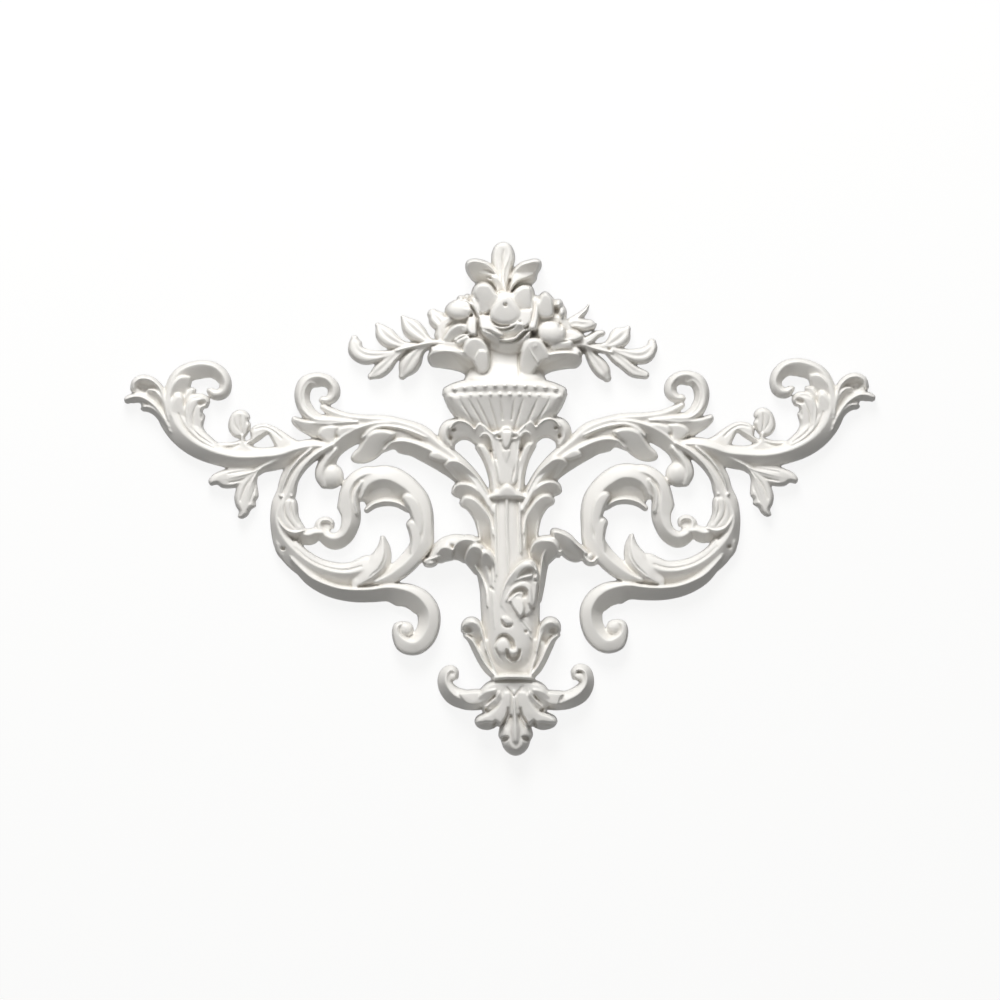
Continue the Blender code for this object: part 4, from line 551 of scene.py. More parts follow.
@dataclass(frozen=True)
class HangingLeaves(Moulding):
    """Two leaves that hang from the root of the wing."""

    crest: float = 20.0
    corner: Place = (205.0, 445.0)
    paired: bool = True

    def drawn(self) -> Iterator[Form]:
        """The forms in drawing order."""
        yield Ridge("sprig_band", SLOPE, ROUND, [(117, 1, 4, 3, 100), (103, 3, 6, 3, 100),
            (91, 7, 9, 3, 95), (79, 12, 11, 3, 90), (67, 17.5, 9, 3, 85), (57, 22.5, 6, 3, 75),
            (51, 27, 5, 5, 65)])
        yield Petal("leaf_1", [(61, 20.5), (53, 24), (45, 23), (35, 22.5), (24, 23.5), (14, 26.5),
            (6.5, 31), (3.3, 36.5), (6, 40.8), (12, 39.8), (17, 43), (26, 43.5), (36, 41), (44, 36.5),
            (52, 30)], 62.5, lean=(0, -0.1), bevel=(4, 5))
        yield line("leaf_1_vein", [(59, 22, 1.3, 75), (45, 28, 1.4, 76.5), (30, 32, 1.3, 72.5),
            (14, 35, 1, 62.5)])
        yield groove("leaf_1_line_1", [(51, 25, 0.7, 5), (38, 26.5, 1, 10), (23, 29, 0.8, 7.5)])
        yield groove("leaf_1_line_2", [(51, 29, 0.7, 5), (38, 35, 1, 10), (24, 38, 0.8, 7.5)])
        yield Petal("leaf_2", [(58, 22.5), (54, 29), (52, 37), (53, 45), (53.5, 52), (50.5, 57),
            (51.3, 61), (46, 65), (43, 70.5), (37, 74), (32.8, 72), (34, 67), (30.8, 61), (29.3, 53),
            (31, 45), (35, 36), (42, 29), (50, 24.5)], 62.5, lean=(0, -0.03), bevel=(4, 5))
        yield line("leaf_2_vein", [(57, 23, 1.3, 75), (49, 34, 1.4, 76.5), (44, 47, 1.3, 72.5),
            (39.5, 62, 1, 62.5)])
        yield groove("leaf_2_line_1", [(51, 29, 0.7, 5), (41, 42, 1, 10), (36, 56, 0.8, 7.5)])
        yield groove("leaf_2_line_2", [(52, 35, 0.7, 5), (49, 47, 1, 10), (45, 58, 0.8, 7.5)])


@dataclass(frozen=True)
class Volute(Moulding):
    """Upright volute at the root of the wing."""

    crest: float = 19.0
    corner: Place = (300.0, 375.0)
    paired: bool = True

    def drawn(self) -> Iterator[Form]:
        """The forms in drawing order."""
        yield Ridge("volute", ROUND, SLOPE, [(52, 46, 7, 6, 100), (32, 45, 7, 6, 100),
            (18, 44.5, 7, 6, 100), (7, 38, 6, 9, 94.7), (1.5, 28, 6, 9, 89.5), (1.5, 17, 7, 9, 89.5),
            (6, 7.5, 7, 9, 89.5), (15, 2, 4.5, 11, 89.5), (26, 4, 5, 9, 84.2), (33, 12, 6.5, 6, 78.9),
            (33, 20, 7, 6, 73.7), (27.5, 24.5, 6, 4, 68.4), (23, 24.5, 4.5, 3.5, 63.2)])
        yield Ridge("volute_rim", ROUND, UNDER, [(26, 45, 2.2, 3, 97.4), (13.5, 39, 2.2, 4.5, 94.7),
            (6.5, 30, 2.2, 5, 89.5), (4.5, 20, 2.2, 5, 86.8), (7, 12, 2.2, 5, 85.8),
            (11.5, 8, 2.2, 3.5, 81.6), (15.5, 10, 1.8, 2, 68.4)])


@dataclass(frozen=True)
class TongueLeaf(Moulding):
    """Leaf of three tongues that lies under the volute."""

    crest: float = 20.0
    corner: Place = (290.0, 415.0)
    paired: bool = True

    def drawn(self) -> Iterator[Form]:
        """The forms in drawing order."""
        yield Petal("tongue_leaf", [(2.3, 6.5), (3.5, 2.5), (9, 3.5), (18, 6.5), (30, 8), (45, 8.5),
            (60, 7.5), (76, 8), (82, 14), (68, 19), (58, 23), (51, 24), (47, 28.5), (40, 30.5),
            (34.5, 27.5), (31, 24), (23, 23), (15, 18.5), (7, 13)], 67.5, lean=(0, -0.6), bevel=(2, 2.5))
        yield Petal("tongue_lobe_2", [(27.5, 20), (30.5, 13.5), (37, 10.5), (44, 10), (51, 11.5),
            (48.5, 16), (46.5, 22), (46.5, 27.5), (40, 29.8), (34.5, 26.5), (30.5, 23.5)],
            87.5, lean=(-0.05, -0.28), bevel=(2.5, 4))
        yield Petal("tongue_lobe_3", [(46.5, 18.5), (49, 13), (55, 10.5), (63, 9.5), (73, 11), (67, 15),
            (62, 19.5), (57, 22.5), (51, 23.5), (47.5, 22)], 92.5, lean=(-0.05, -0.28), bevel=(2.5, 4))
        yield Ridge("tongue_rim", ROUND, ROUND, [(4, 5, 2, 2, 77.5), (11, 5.5, 2.2, 2.6, 87.5),
            (22, 8, 2.2, 2.8, 92.5), (36, 9, 2.2, 2.8, 95), (52, 8, 2.2, 2.8, 97.5),
            (68, 7, 2.2, 2.8, 100)])


@dataclass(frozen=True)
class Arch(Moulding):
    """Long acanthus arch from the volute down to the stem."""

    crest: float = 28.5
    corner: Place = (320.0, 405.0)
    paired: bool = True

    def drawn(self) -> Iterator[Form]:
        """The forms in drawing order."""
        yield Ridge("arch_upper", ROUND, GENTLE, [(4, 2, 3, 4, 45.6), (11, 6, 4, 5, 52.6),
            (25, 11, 4, 6, 59.6), (45, 13.5, 4, 7, 66.7), (65, 15, 5, 7, 70.2), (84, 19, 5, 8, 73.7),
            (102, 26, 6, 9, 77.2), (120, 40, 5, 9, 80.7), (138, 54, 5, 9, 84.2), (154, 71, 5, 9, 87.7),
            (167, 90, 4, 8, 91.2), (174, 107, 4, 6, 98.2)])
        yield Ridge("hook_strand", UNDER, ROUND, [(78, 19, 5, 2, 71.9), (62, 18, 13, 4, 75.4),
            (44, 21.5, 15, 4, 71.9), (30, 27.5, 14, 4, 68.4), (18, 36, 13, 4, 64.9),
            (9.5, 45.5, 12, 4, 59.6), (5, 55, 12, 4, 56.1), (3, 63, 12, 4, 52.6)])
        yield Dome("strand_end", 10.2, 71.3, 13.5, 13.2, 51.2, foot=0.3, lean=(0.1, -0.12))
        yield Ridge("strand_flow", ROUND, GENTLE, [(16, 45, 4, 5, 61.4), (8, 54, 5, 6, 57.9),
            (3, 63, 5, 7, 54.4), (2, 71, 4, 7, 50.9), (5, 78, 3, 6, 43.9)])
        yield Petal("arch_tongue", [(43.5, 35), (48, 29), (57, 25), (68, 25), (76, 29), (72, 35),
            (66, 40), (63, 47), (57.5, 53), (50, 57.8), (41, 60), (33, 58.5), (29.8, 54), (32, 48.5),
            (38, 43)], 52.6, lean=(0.15, -0.6), bevel=(3, 5))
        yield Ridge("arch_light", UNDER, ROUND, [(106, 33, 3, 4, 82.5), (90, 26.5, 4, 5, 80.7),
            (76, 23, 4, 5, 78.9), (62, 22, 4, 5, 77.2), (51, 26, 4, 5, 73.7), (44.5, 32.5, 3.5, 4, 66.7)])
        yield Petal("arch_fill", [(58, 33), (64, 25), (80, 26), (96, 31), (110, 40), (99, 41), (85, 38),
            (73, 39), (66, 42)], 52.6, lean=(0, -0.35))
        yield Ridge("arch_band", GENTLE, UNDER, [(66, 45, 4, 2, 63.2), (71, 38.5, 3.5, 9, 71.9),
            (82, 36.3, 4.5, 13, 77.2), (95, 39, 5.5, 13, 80.7), (108, 44.5, 6.5, 14, 84.2),
            (122, 51, 7, 15, 84.2), (138, 61, 7, 15, 87.7), (152, 75, 7, 13, 91.2), (163, 89, 6, 9, 94.7),
            (172, 107, 6, 7, 98.2)])
        yield Petal("notch_leaf", [(109.5, 52.5), (111, 48.3), (116, 46.5), (122, 48.5), (129, 54),
            (124, 57.3), (117, 55.8)], 87.7, lean=(0, -0.3), bevel=(1.5, 2))
        yield Petal("scoop_1", [(125, 61), (129, 55.5), (137, 55), (147, 61), (158, 72), (168, 86),
            (172, 102), (164, 101), (154, 92), (143, 82), (134, 72), (128, 65)], 64.9, lean=(0.45, -1))
        yield line("scoop_1_rim", [(125, 60, 2, 75.4), (127.5, 56.5, 2.3, 82.5), (133, 54.8, 2.5, 87.7),
            (141, 57, 2.6, 91.2), (151, 65, 2.6, 94.7), (160, 76, 2.6, 98.2), (167, 88, 2.5, 100)])
        yield Petal("scoop_2", [(133, 90), (136, 81), (143, 78), (152, 80.5), (161, 88), (169, 100),
            (173, 117), (164, 109), (154, 100), (143, 94.5)], 63.2, lean=(0.45, -0.9))
        yield line("scoop_2_rim", [(133.5, 88, 2.3, 68.4), (135, 82.5, 2.5, 78.9), (140, 78.8, 2.6, 86),
            (147, 78.5, 2.6, 89.5), (155, 82.5, 2.6, 93), (162, 90.5, 2.6, 96.5), (168, 101, 2.6, 98.2)])
        yield Petal("scoop_3", [(141, 100), (145, 92), (153, 93), (162, 100.5), (169, 112), (172, 126),
            (172.5, 145), (167, 155), (161.5, 143), (158, 125), (153, 112), (147, 104)],
            61.4, lean=(0.5, -0.6))
        yield line("scoop_3_rim", [(141.5, 98, 2.3, 64.9), (144, 93, 2.5, 77.2), (150, 91.8, 2.5, 84.2),
            (158, 96, 2.5, 89.5), (165, 104.5, 2.5, 93), (170, 115, 2.5, 95.8), (173, 130, 2.5, 97.5)])
        yield line("scoop_3_edge", [(143, 99.5, 1.6, 59.6), (149, 104.5, 1.6, 61.4),
            (155, 114, 1.6, 63.2), (159, 127, 1.6, 64.9), (161.5, 142, 1.6, 66.7), (165, 157, 1.6, 70.2)])


@dataclass(frozen=True)
class RoundScroll(Moulding):
    """Round scroll under the arch, its inner leaves and the lower scroll that ends in an eye."""

    crest: float = 23.5
    corner: Place = (275.0, 445.0)
    paired: bool = True

    def drawn(self) -> Iterator[Form]:
        """The forms in drawing order."""
        yield Ridge("ring_left", GENTLE, SLOPE, [(57, 0, 4, 5, 93.6), (39, 10, 6, 9, 91.5),
            (26, 22, 6, 12, 85.1), (18, 35, 6, 13, 80.9), (12, 49, 9, 11, 76.6), (5, 61, 8, 9, 76.6),
            (1.5, 73, 8, 6.5, 76.6), (3.5, 84, 8, 8, 76.6), (10, 95, 7, 13, 76.6), (20, 106, 8, 16, 76.6),
            (32, 115.5, 8, 17, 76.6), (46, 123, 8, 16, 76.6), (61, 127.5, 9, 14, 76.6),
            (77, 128, 11, 13, 76.6), (93, 123, 13, 13, 72.3)])
        yield Ridge("strand_a", ROUND, UNDER, [(37, 4, 2.5, 3.5, 100), (24, 15, 2.8, 4, 97.9),
            (15, 27, 2.8, 4, 93.6), (9.5, 39, 2.5, 3.5, 87.2), (7, 48, 1.8, 2.5, 78.7)])
        yield Ridge("strand_b", ROUND, UNDER, [(48, 4.5, 2.5, 3, 97.9), (36, 14.5, 2.5, 4, 93.6),
            (27, 25, 2.5, 4, 87.2), (21, 37, 2.2, 4, 80.9), (17.5, 47, 1.6, 2.5, 72.3)])
        yield Dome("strand_dot_a", 6.5, 51, 2.2, 2.2, 85.1, foot=0.8)
        yield Dome("strand_dot_b", 17, 51, 2.2, 2.2, 78.7, foot=0.8)
        yield Petal("leaf_notch", [(1, 95), (8, 98), (15, 104), (19, 111), (14, 116), (8, 115.5),
            (3, 111), (0, 104)], 46.8, lean=(0.3, -0.4), bevel=(2.5, 4))
        yield dent("leaf_hole", 8.5, 103.5, 2.2, 1.8, 21.3)
        yield Petal("inner_leaf", [(9, 54), (15, 53), (20.5, 55), (22.5, 62), (23, 70), (26, 77),
            (29.5, 84), (24, 87.5), (16, 86), (9, 81.5), (5, 74.5), (4.5, 65), (6, 58)],
            76.6, lean=(0, -0.05), bevel=(3, 4))
        yield groove("inner_leaf_line_1", [(12, 55, 0.8, 5.1), (10, 64, 1, 9.4), (13, 74, 1, 9.4),
            (20.5, 83, 0.8, 6.4)])
        yield groove("inner_leaf_line_2", [(17.5, 55, 0.8, 5.1), (16.5, 64, 1, 9.4), (19.5, 73, 1, 9.4),
            (25, 81, 0.8, 6.4)])
        yield Ridge("crescent", UNDER, ROUND, [(30, 85.5, 3, 2, 76.6), (21, 87.5, 7, 2.5, 89.4),
            (12.5, 85, 8, 2.5, 91.5), (6.5, 79, 7, 2.5, 89.4), (3.5, 73, 4, 2, 80.9)])
        yield Ridge("scallop", UNDER, ROUND, [(48, 88, 6, 5, 63.8), (41, 88, 9, 6, 66),
            (33, 90.5, 10, 7, 66), (26, 88, 8, 6, 66)])
        yield Ridge("s_arm", SLOPE, GENTLE, [(113, 30, 3, 2, 72.3), (95, 29, 5, 8, 80.9),
            (81, 36, 6, 9, 85.1), (75, 47, 9, 10, 85.1), (76, 60, 9, 14, 80.9), (77, 73, 9, 14, 76.6),
            (75, 81, 9, 12, 76.6), (69, 90, 10, 9, 72.3), (60, 94, 11, 8, 68.1), (52, 91.5, 9, 6, 63.8),
            (46, 86, 6, 4, 59.6), (43.5, 80, 4, 4, 55.3), (46.5, 75.5, 3, 3, 51.1),
            (52, 74.5, 3, 2.6, 48.9), (57, 77.5, 2.6, 2.2, 46.8), (57.5, 82, 2, 2, 42.6)])
        yield Dome("s_arm_curl", 51, 82, 6, 5.5, 27.7, foot=0.75)
        yield Ridge("s_arm_fold", ROUND, ROUND, [(87, 37, 5, 4, 85.1), (81, 47, 5, 4, 85.1),
            (80, 58, 5, 4, 80.9), (82.5, 68, 3.5, 3.5, 72.3)])
        yield Ridge("ring_right", UNDER, GENTLE, [(101, 136, 4, 4, 68.1), (113, 130, 6, 10, 76.6),
            (121, 124.5, 7, 12, 80.9), (131, 116.5, 8, 12, 85.1), (141, 105, 9, 12, 85.1),
            (147, 96, 11, 12, 85.1), (150, 83, 13, 9, 89.4), (148.5, 69, 13, 10, 89.4),
            (143.5, 57.5, 11, 12, 89.4), (135, 47.5, 14, 13, 89.4), (125, 40, 17, 14, 89.4),
            (115, 35, 18, 14, 89.4), (105, 34.5, 18, 14, 89.4), (96, 38, 15, 14, 85.1),
            (91, 44, 9, 10, 80.9), (88.5, 51, 6, 6, 72.3)])
        yield Petal("ring_recess", [(89, 58), (96, 47), (110, 43), (124, 46), (135, 55), (139, 68),
            (130, 64), (118, 59.5), (104, 60), (94, 64)], 12.8, lean=(0, -0.8))
        yield Ridge("thin_leaf", ROUND, UNDER, [(92, 65, 3, 3.5, 55.3), (99, 59.5, 3.3, 4.5, 61.7),
            (110, 56.5, 3.3, 5, 63.8), (122, 58, 3.3, 4.5, 63.8), (133, 64, 3, 4, 63.8)])
        yield Petal("ring_leaf_1", [(127.5, 53.5), (130, 49), (136, 49.5), (143, 55.5), (147.5, 66),
            (149.5, 79), (146.5, 91), (141, 84), (137, 73), (133, 63)],
            95.7, lean=(0.12, -0.1), bevel=(2, 3))
        yield Petal("ring_leaf_2", [(132, 79), (136, 74.5), (142, 79), (146.5, 88), (146.5, 100),
            (141.5, 110), (135, 109), (136, 96), (134, 86)], 87.2, lean=(0.12, -0.05), bevel=(2, 3))
        yield line("ring_line_1", [(21, 96, 1.2, 68.1), (34, 108, 1.4, 66), (51, 116.5, 1.4, 66),
            (71, 119, 1.3, 66), (87, 115, 1.1, 63.8)])
        yield groove("ring_line_2", [(21, 103, 0.8, 6.4), (34, 114, 1, 8.5), (51, 122, 1, 8.5),
            (71, 125, 1, 8.5), (87, 121, 0.8, 6.4)])
        yield Ridge("point_leaf", SLOPE, GENTLE, [(108, 93, 2.5, 3, 59.6), (110, 103, 5.5, 9, 72.3),
            (109, 114, 7.5, 14, 80.9), (104, 124, 8, 14, 85.1), (95, 133, 8, 14, 85.1),
            (86, 139, 3, 10, 76.6)])
        yield groove("point_line", [(109, 98, 0.7, 5.1), (110.5, 110, 1, 10.6), (105.5, 122, 1, 10.6),
            (95, 132, 0.8, 6.4)])
        yield Ridge("lower_scroll", GENTLE, UNDER, [(17, 114, 6, 6, 68.1), (27, 124.5, 6, 7, 72.3),
            (37, 132.5, 5, 9, 76.6), (51, 139, 4, 11, 80.9), (65, 143, 3.5, 12, 80.9),
            (81, 144.5, 3.5, 13, 80.9), (97, 144, 3.5, 13.5, 80.9), (113, 142, 4, 15, 80.9),
            (125, 143.5, 6, 18, 80.9), (137, 147.5, 8, 18, 80.9), (147, 155, 10, 17, 80.9),
            (153.5, 166, 11, 13, 80.9), (153.5, 178, 12, 11, 76.6), (148, 190, 13.5, 9, 72.3),
            (139, 197, 13.5, 7, 72.3), (129.5, 194, 13, 5, 68.1), (123.5, 188, 7, 4, 63.8),
            (123.5, 181.5, 5, 4, 59.6), (127, 179, 3, 3, 51.1)])
        yield Dome("scroll_eye", 131, 184, 7.6, 7.6, 55.3, foot=0.5)


@dataclass(frozen=True)
class SideLeaves(Moulding):
    """Leaves that curl out from the stem above its drop."""

    crest: float = 36.0
    corner: Place = (425.0, 530.0)

    def drawn(self) -> Iterator[Form]:
        """The forms in drawing order."""
        yield Ridge("side_leaf_l", SLOPE, FULL, [(67, 70, 11, 5, 72.2), (65, 55, 11, 5, 75),
            (62, 41, 11, 5, 77.8), (56, 30, 10, 5, 77.8), (48, 21, 10, 7, 80.6), (38, 15, 11, 10, 80.6),
            (27, 13.5, 11, 9, 77.8), (18, 18, 9, 9, 72.2), (11.5, 25, 6, 7, 65.3),
            (5.5, 32.5, 4.5, 4.5, 55.6)])
        yield Petal("side_lobe_0", [(12.5, 28), (14, 21), (18.5, 16.5), (24, 17), (28, 22), (28, 29),
            (21, 31), (15, 33)], 65.3, lean=(0.15, -1.1), bevel=(0.8, 0.8))
        yield Petal("side_lobe_1", [(27, 28.5), (28.5, 19), (33, 11.5), (39.5, 8.3), (47, 8.8), (53, 13),
            (46, 19), (43, 26), (40, 33), (33, 30)], 70.8, lean=(0.15, -1.1), bevel=(0.8, 0.8))
        yield Petal("side_lobe_2", [(40, 29), (42.5, 20), (48, 15), (54, 16), (58, 21), (58, 29),
            (55, 38), (51, 45), (45, 38), (41.5, 33)], 73.6, lean=(0.15, -1.1), bevel=(0.8, 0.8))
        yield Petal("side_lobe_3", [(56.5, 31), (57.5, 23.5), (61, 21), (65.5, 24.5), (68.2, 33),
            (68.5, 44), (65, 54), (61, 48), (57.5, 40)], 77.8, lean=(0.15, -1), bevel=(0.8, 0.8))
        yield line("side_rim_0", [(13, 23, 1.6, 76.4), (16.5, 17.5, 2, 83.3), (22, 15, 2, 86.1),
            (27.5, 19, 1.6, 83.3)])
        yield line("side_rim_1", [(28, 21, 1.8, 84.7), (32, 12.5, 2.2, 91.7), (38, 8, 2.5, 95.8),
            (46, 7.3, 2.6, 95.8), (53.5, 10.5, 2.2, 94.4)])
        yield line("side_rim_2", [(42, 22.5, 1.8, 86.1), (45, 16.3, 2.2, 94.4), (50.5, 13.3, 2.4, 98.1),
            (56.5, 15.5, 2.4, 98.1), (60.5, 20, 2, 94.4)])
        yield line("side_rim_3", [(56.5, 26, 1.7, 88.9), (58.5, 21.2, 2, 97.2), (62.5, 20.3, 2.2, 98.9),
            (66.8, 24, 2.1, 97.8), (69.3, 32, 1.9, 94.4), (70.3, 41, 1.8, 91.7), (70, 51, 1.5, 89.4)])
        yield line("side_tip_l", [(15, 26, 2, 70.8), (9.5, 28, 2.5, 69.4), (3.5, 29.3, 2.5, 66.7),
            (0, 31.5, 2, 62.5)])
        yield Dome("side_nose_l", 5.5, 32.5, 7.3, 5.2, 63.9, turn=-8, foot=0.55)
        yield line("side_rib_l", [(50, 36, 1.3, 72.2), (57, 48, 1.5, 77.8), (61, 62, 1.5, 83.3),
            (62, 76, 1.3, 86.1)])
        yield Ridge("side_leaf_r", SLOPE, UNDER, [(114, 70, 4, 3, 55.6), (115, 55, 4, 5, 63.9),
            (116, 37, 4, 7, 75), (119, 23, 5, 8, 83.3), (126, 15, 5, 9, 86.1), (132, 16, 4, 9, 80.6),
            (134, 22, 3, 6, 69.4)])
        yield Petal("side_hood_r", [(105.5, 27), (106.5, 18), (111, 11.5), (119, 9), (127, 10), (132, 15),
            (133.5, 22), (128, 29), (121, 37), (117, 47), (111, 40)],
            70.8, lean=(0.15, -0.85), bevel=(1, 1.2))
        yield line("side_rim_r", [(105.5, 22, 1.6, 86.1), (108, 14.5, 2, 94.4), (113.5, 9.5, 2.3, 98.6),
            (121, 7.5, 2.4, 100), (128, 8.5, 2.2, 98.6), (132.5, 13.5, 1.9, 93.1), (134, 19, 1.5, 87.5)])
        yield Petal("side_scroll_r_face", [(128, 1), (136, 2), (143.5, 6), (150, 13), (156, 19),
            (159, 27), (152, 32), (143, 29.5), (136, 23), (131, 15)],
            72.2, lean=(-0.1, -0.7), bevel=(0.8, 0.8))
        yield Ridge("side_scroll_r", FULL, ROUND, [(130, 2, 2, 2, 80.6), (136, 2.5, 2.8, 2, 86.1),
            (143.5, 6.5, 3, 2.2, 87.5), (150, 13.5, 3.2, 2.2, 84.7), (155.5, 18.5, 3.2, 2.5, 79.2),
            (161, 23, 3, 3, 75)])
        yield Ridge("side_curl_r", ROUND, UNDER, [(158, 21, 3, 3, 73.6), (159.5, 27.5, 3.2, 3.5, 73.6),
            (163.5, 31.5, 3.2, 4.5, 70.8), (168.5, 31.5, 3, 4.5, 66.7), (171.5, 28, 2.5, 3.5, 61.1)])
        yield Dome("side_curl_fill", 163.5, 26.5, 5, 4.5, 62.5, foot=0.85)
        yield Dome("side_dot_r", 135, 21.7, 2, 2, 91.7, foot=0.9)


@dataclass(frozen=True)
class Stem(Moulding):
    """Reeded shaft that widens to the carved drop."""

    crest: float = 32.3
    corner: Place = (490.0, 485.0)

    def drawn(self) -> Iterator[Form]:
        """The forms in drawing order."""
        yield Ridge("trunk", FULL, FULL, [(17, 1, 15, 15, 74.3), (17, 25, 16, 16, 83.6),
            (18, 55, 18, 18, 89.8), (19, 80, 24, 24, 92.9), (20, 100, 30, 29.5, 96),
            (20, 120, 30, 29.5, 99.1), (20.5, 140, 29, 28.5, 100), (21, 155, 28, 28, 99.1),
            (21.5, 165, 26.5, 26.5, 96), (22, 173, 24.5, 24.5, 88.2), (22.3, 181, 22, 22, 74.3),
            (22.5, 190, 19, 19, 55.7)])
        yield line("reed_mid", [(17, 15, 4, 92.9), (17, 45, 4.5, 96), (18, 67, 5, 99.1),
            (18.5, 87, 4, 99.1)])
        yield line("reed_left", [(5, 20, 3.5, 86.7), (5.5, 45, 4, 89.8), (6, 71, 4, 92.9),
            (7, 90, 3, 96)])
        yield line("reed_right", [(29.5, 18, 3, 89.8), (30, 45, 3.5, 92.9), (31, 67, 4, 96)])
        yield line("drop_rib_l", [(1.5, 75, 1.8, 92.9), (2.5, 100, 2, 98.5), (3, 121, 2, 100),
            (4.5, 143, 1.8, 99.1)])
        yield dent("drop_notch", 2, 103.5, 1.6, 3, 9.3, turn=-35)


@dataclass(frozen=True)
class Capital(Moulding):
    """Collar on the shaft and the tongue of the leaf capital above it."""

    crest: float = 34.2
    corner: Place = (490.0, 425.0)

    def drawn(self) -> Iterator[Form]:
        """The forms in drawing order."""
        yield Ridge("collar", GENTLE, FULL, [(1.5, 71, 3, 5, 86.3), (7, 69.5, 6, 7, 93.6),
            (17, 68.5, 7.5, 8, 96.5), (27, 69.5, 6, 7, 93.6), (32.5, 71, 3, 5, 86.3)])
        yield Petal("collar_top", [(7.5, 69), (9.5, 64.5), (13, 61), (17, 59.3), (21.5, 61), (25, 64.5),
            (27, 69), (17, 71.5)], 98.8, lean=(0, -0.2), bevel=(3, 2.5))
        yield Ridge("capital", GENTLE, GENTLE, [(17, 5, 15, 14, 70.2), (17, 30, 13, 13, 76),
            (17, 45, 12, 12, 78.4), (17, 63, 12.5, 12.5, 78.9)], square=True)
        yield Petal("tongue_cap", [(2.5, 11.5), (4, 7.3), (9, 5.8), (12.5, 2.6), (17, 1.6), (21, 3),
            (23.5, 6), (28.5, 7.5), (31, 11.5), (27, 15), (21, 16), (16.5, 18), (11.5, 16), (6.5, 15)],
            92.1, lean=(0, -0.05), bevel=(1.5, 2))
        yield line("tongue_arc", [(3.5, 10.5, 1.4, 93.6), (7, 7.8, 1.7, 96.5), (11.2, 7, 1.7, 98),
            (14, 4, 1.8, 99.4), (17, 3.2, 1.8, 100), (20, 4.2, 1.8, 99.4), (22.5, 7.2, 1.7, 98),
            (27, 8.5, 1.7, 96.5), (30, 11.5, 1.4, 93.6)])
        yield Petal("tongue_face", [(11.5, 8), (16.5, 6), (21.5, 8), (21.5, 15), (18.5, 22.5), (16, 24),
            (13.5, 22.5), (11.5, 15)], 96.5, lean=(0, -0.12), bevel=(1, 1.2))
        yield Petal("tongue_tip", [(12, 25.3), (20.5, 25.3), (19.3, 32.5), (16, 39.5), (13, 32.5)],
            86.3, lean=(0, -0.1), bevel=(1, 1.2))
        yield Petal("tongue_side", [(8, 16), (25, 16), (28.5, 27), (28.5, 45), (25, 59), (9.5, 59),
            (7, 41), (6.5, 27)], 81.9, lean=(0, -0.02), bevel=(4, 2))
        yield groove("tongue_edge_r", [(26, 39, 0.7, 2.9), (24, 47, 1, 7.3), (22, 57, 0.7, 4.4)])
        yield dent("hole_l", 7.8, 12, 3, 1.5, 20.5, turn=12)
        yield dent("hole_r", 24.6, 12, 2.5, 1.7, 23.4, turn=-12)


@dataclass(frozen=True)
class CapitalLeaves(Moulding):
    """Large leaf at each side of the capital and its curl."""

    crest: float = 33.5
    corner: Place = (445.0, 420.0)
    paired: bool = True

    def drawn(self) -> Iterator[Form]:
        """The forms in drawing order."""
        yield Ridge("cap_stem", GENTLE, GENTLE, [(49.5, 71, 4, 6, 77.6), (47, 54, 4.5, 6.5, 76.1),
            (42, 39, 5, 8, 70.1), (35, 27, 5, 7, 59.7)])
        yield Petal("cap_neck", [(33.5, 26), (38, 25), (42.5, 29), (46, 36), (50, 46), (53.5, 60),
            (54.5, 71), (46.5, 72), (45, 60), (42, 47), (37.5, 36)],
            73.1, lean=(0.3, -0.2), bevel=(1.2, 1.5))
        yield Petal("cap_scoop", [(6, 9), (10, 4.5), (15, 2), (21, 3.5), (26, 7.5), (30, 11), (33, 6.5),
            (37, 5), (42, 10), (46, 18), (49, 29), (48, 39), (43, 43), (37, 32), (29, 23.5), (23, 19.5),
            (16, 19.5), (11, 23), (8, 26), (5, 18)], 64.2, lean=(0.14, -0.66), bevel=(1.2, 1.2))
        yield Petal("cap_fill", [(40, 10), (47, 13.5), (53.5, 17), (55, 30), (52.5, 40), (48.5, 32),
            (45.5, 22)], 82.1, lean=(0.1, -0.15))
        yield line("cap_rim_1", [(52.5, 16.5, 1.6, 95.5), (46.5, 13, 1.8, 95.5), (42, 9.5, 1.8, 96.4),
            (37.8, 5.8, 1.8, 97), (34, 4.8, 1.8, 96.4), (30.5, 9, 1.6, 92.5)])
        yield line("cap_rim_2", [(29.8, 10.5, 1.4, 92.5), (25.5, 5.8, 1.8, 98.5), (20, 2.3, 2, 100),
            (14, 1.2, 2.2, 100), (9, 3.5, 2.2, 97), (5.5, 9, 1.8, 91)])
        yield Ridge("cap_curl", GENTLE, GENTLE, [(21, 1, 3, 3, 80.6), (11, 1.5, 5, 3.5, 80.6),
            (3.5, 6, 6.5, 6, 80.6), (0, 13.5, 6.5, 6.5, 77.6), (2, 21, 5.5, 6, 71.6),
            (6.5, 26.5, 3.5, 3.5, 62.7)])
        yield dent("cap_dot_1", 9, 10, 2, 1.6, 14.9)
        yield dent("cap_dot_2", 5.5, 18, 2, 2.6, 14.9)
        yield line("cap_inner", [(35.5, 17, 1.4, 83.6), (39, 14.2, 1.7, 89.6), (43.5, 16, 1.8, 91),
            (46.5, 22, 1.8, 90.4), (48, 30, 1.7, 89), (49.5, 39, 1.7, 87.5), (52.5, 50, 1.7, 86),
            (54, 60, 1.3, 82.1)])
        yield dent("cap_notch", 46.5, 31.5, 1.7, 1.5, 14.9)
        yield Petal("arch_root", [(39, 76), (47, 74), (53, 80), (54.5, 100), (54, 128), (48, 132),
            (45, 115), (43, 94)], 70.1, lean=(0.1, 0), bevel=(1.5, 1.5))


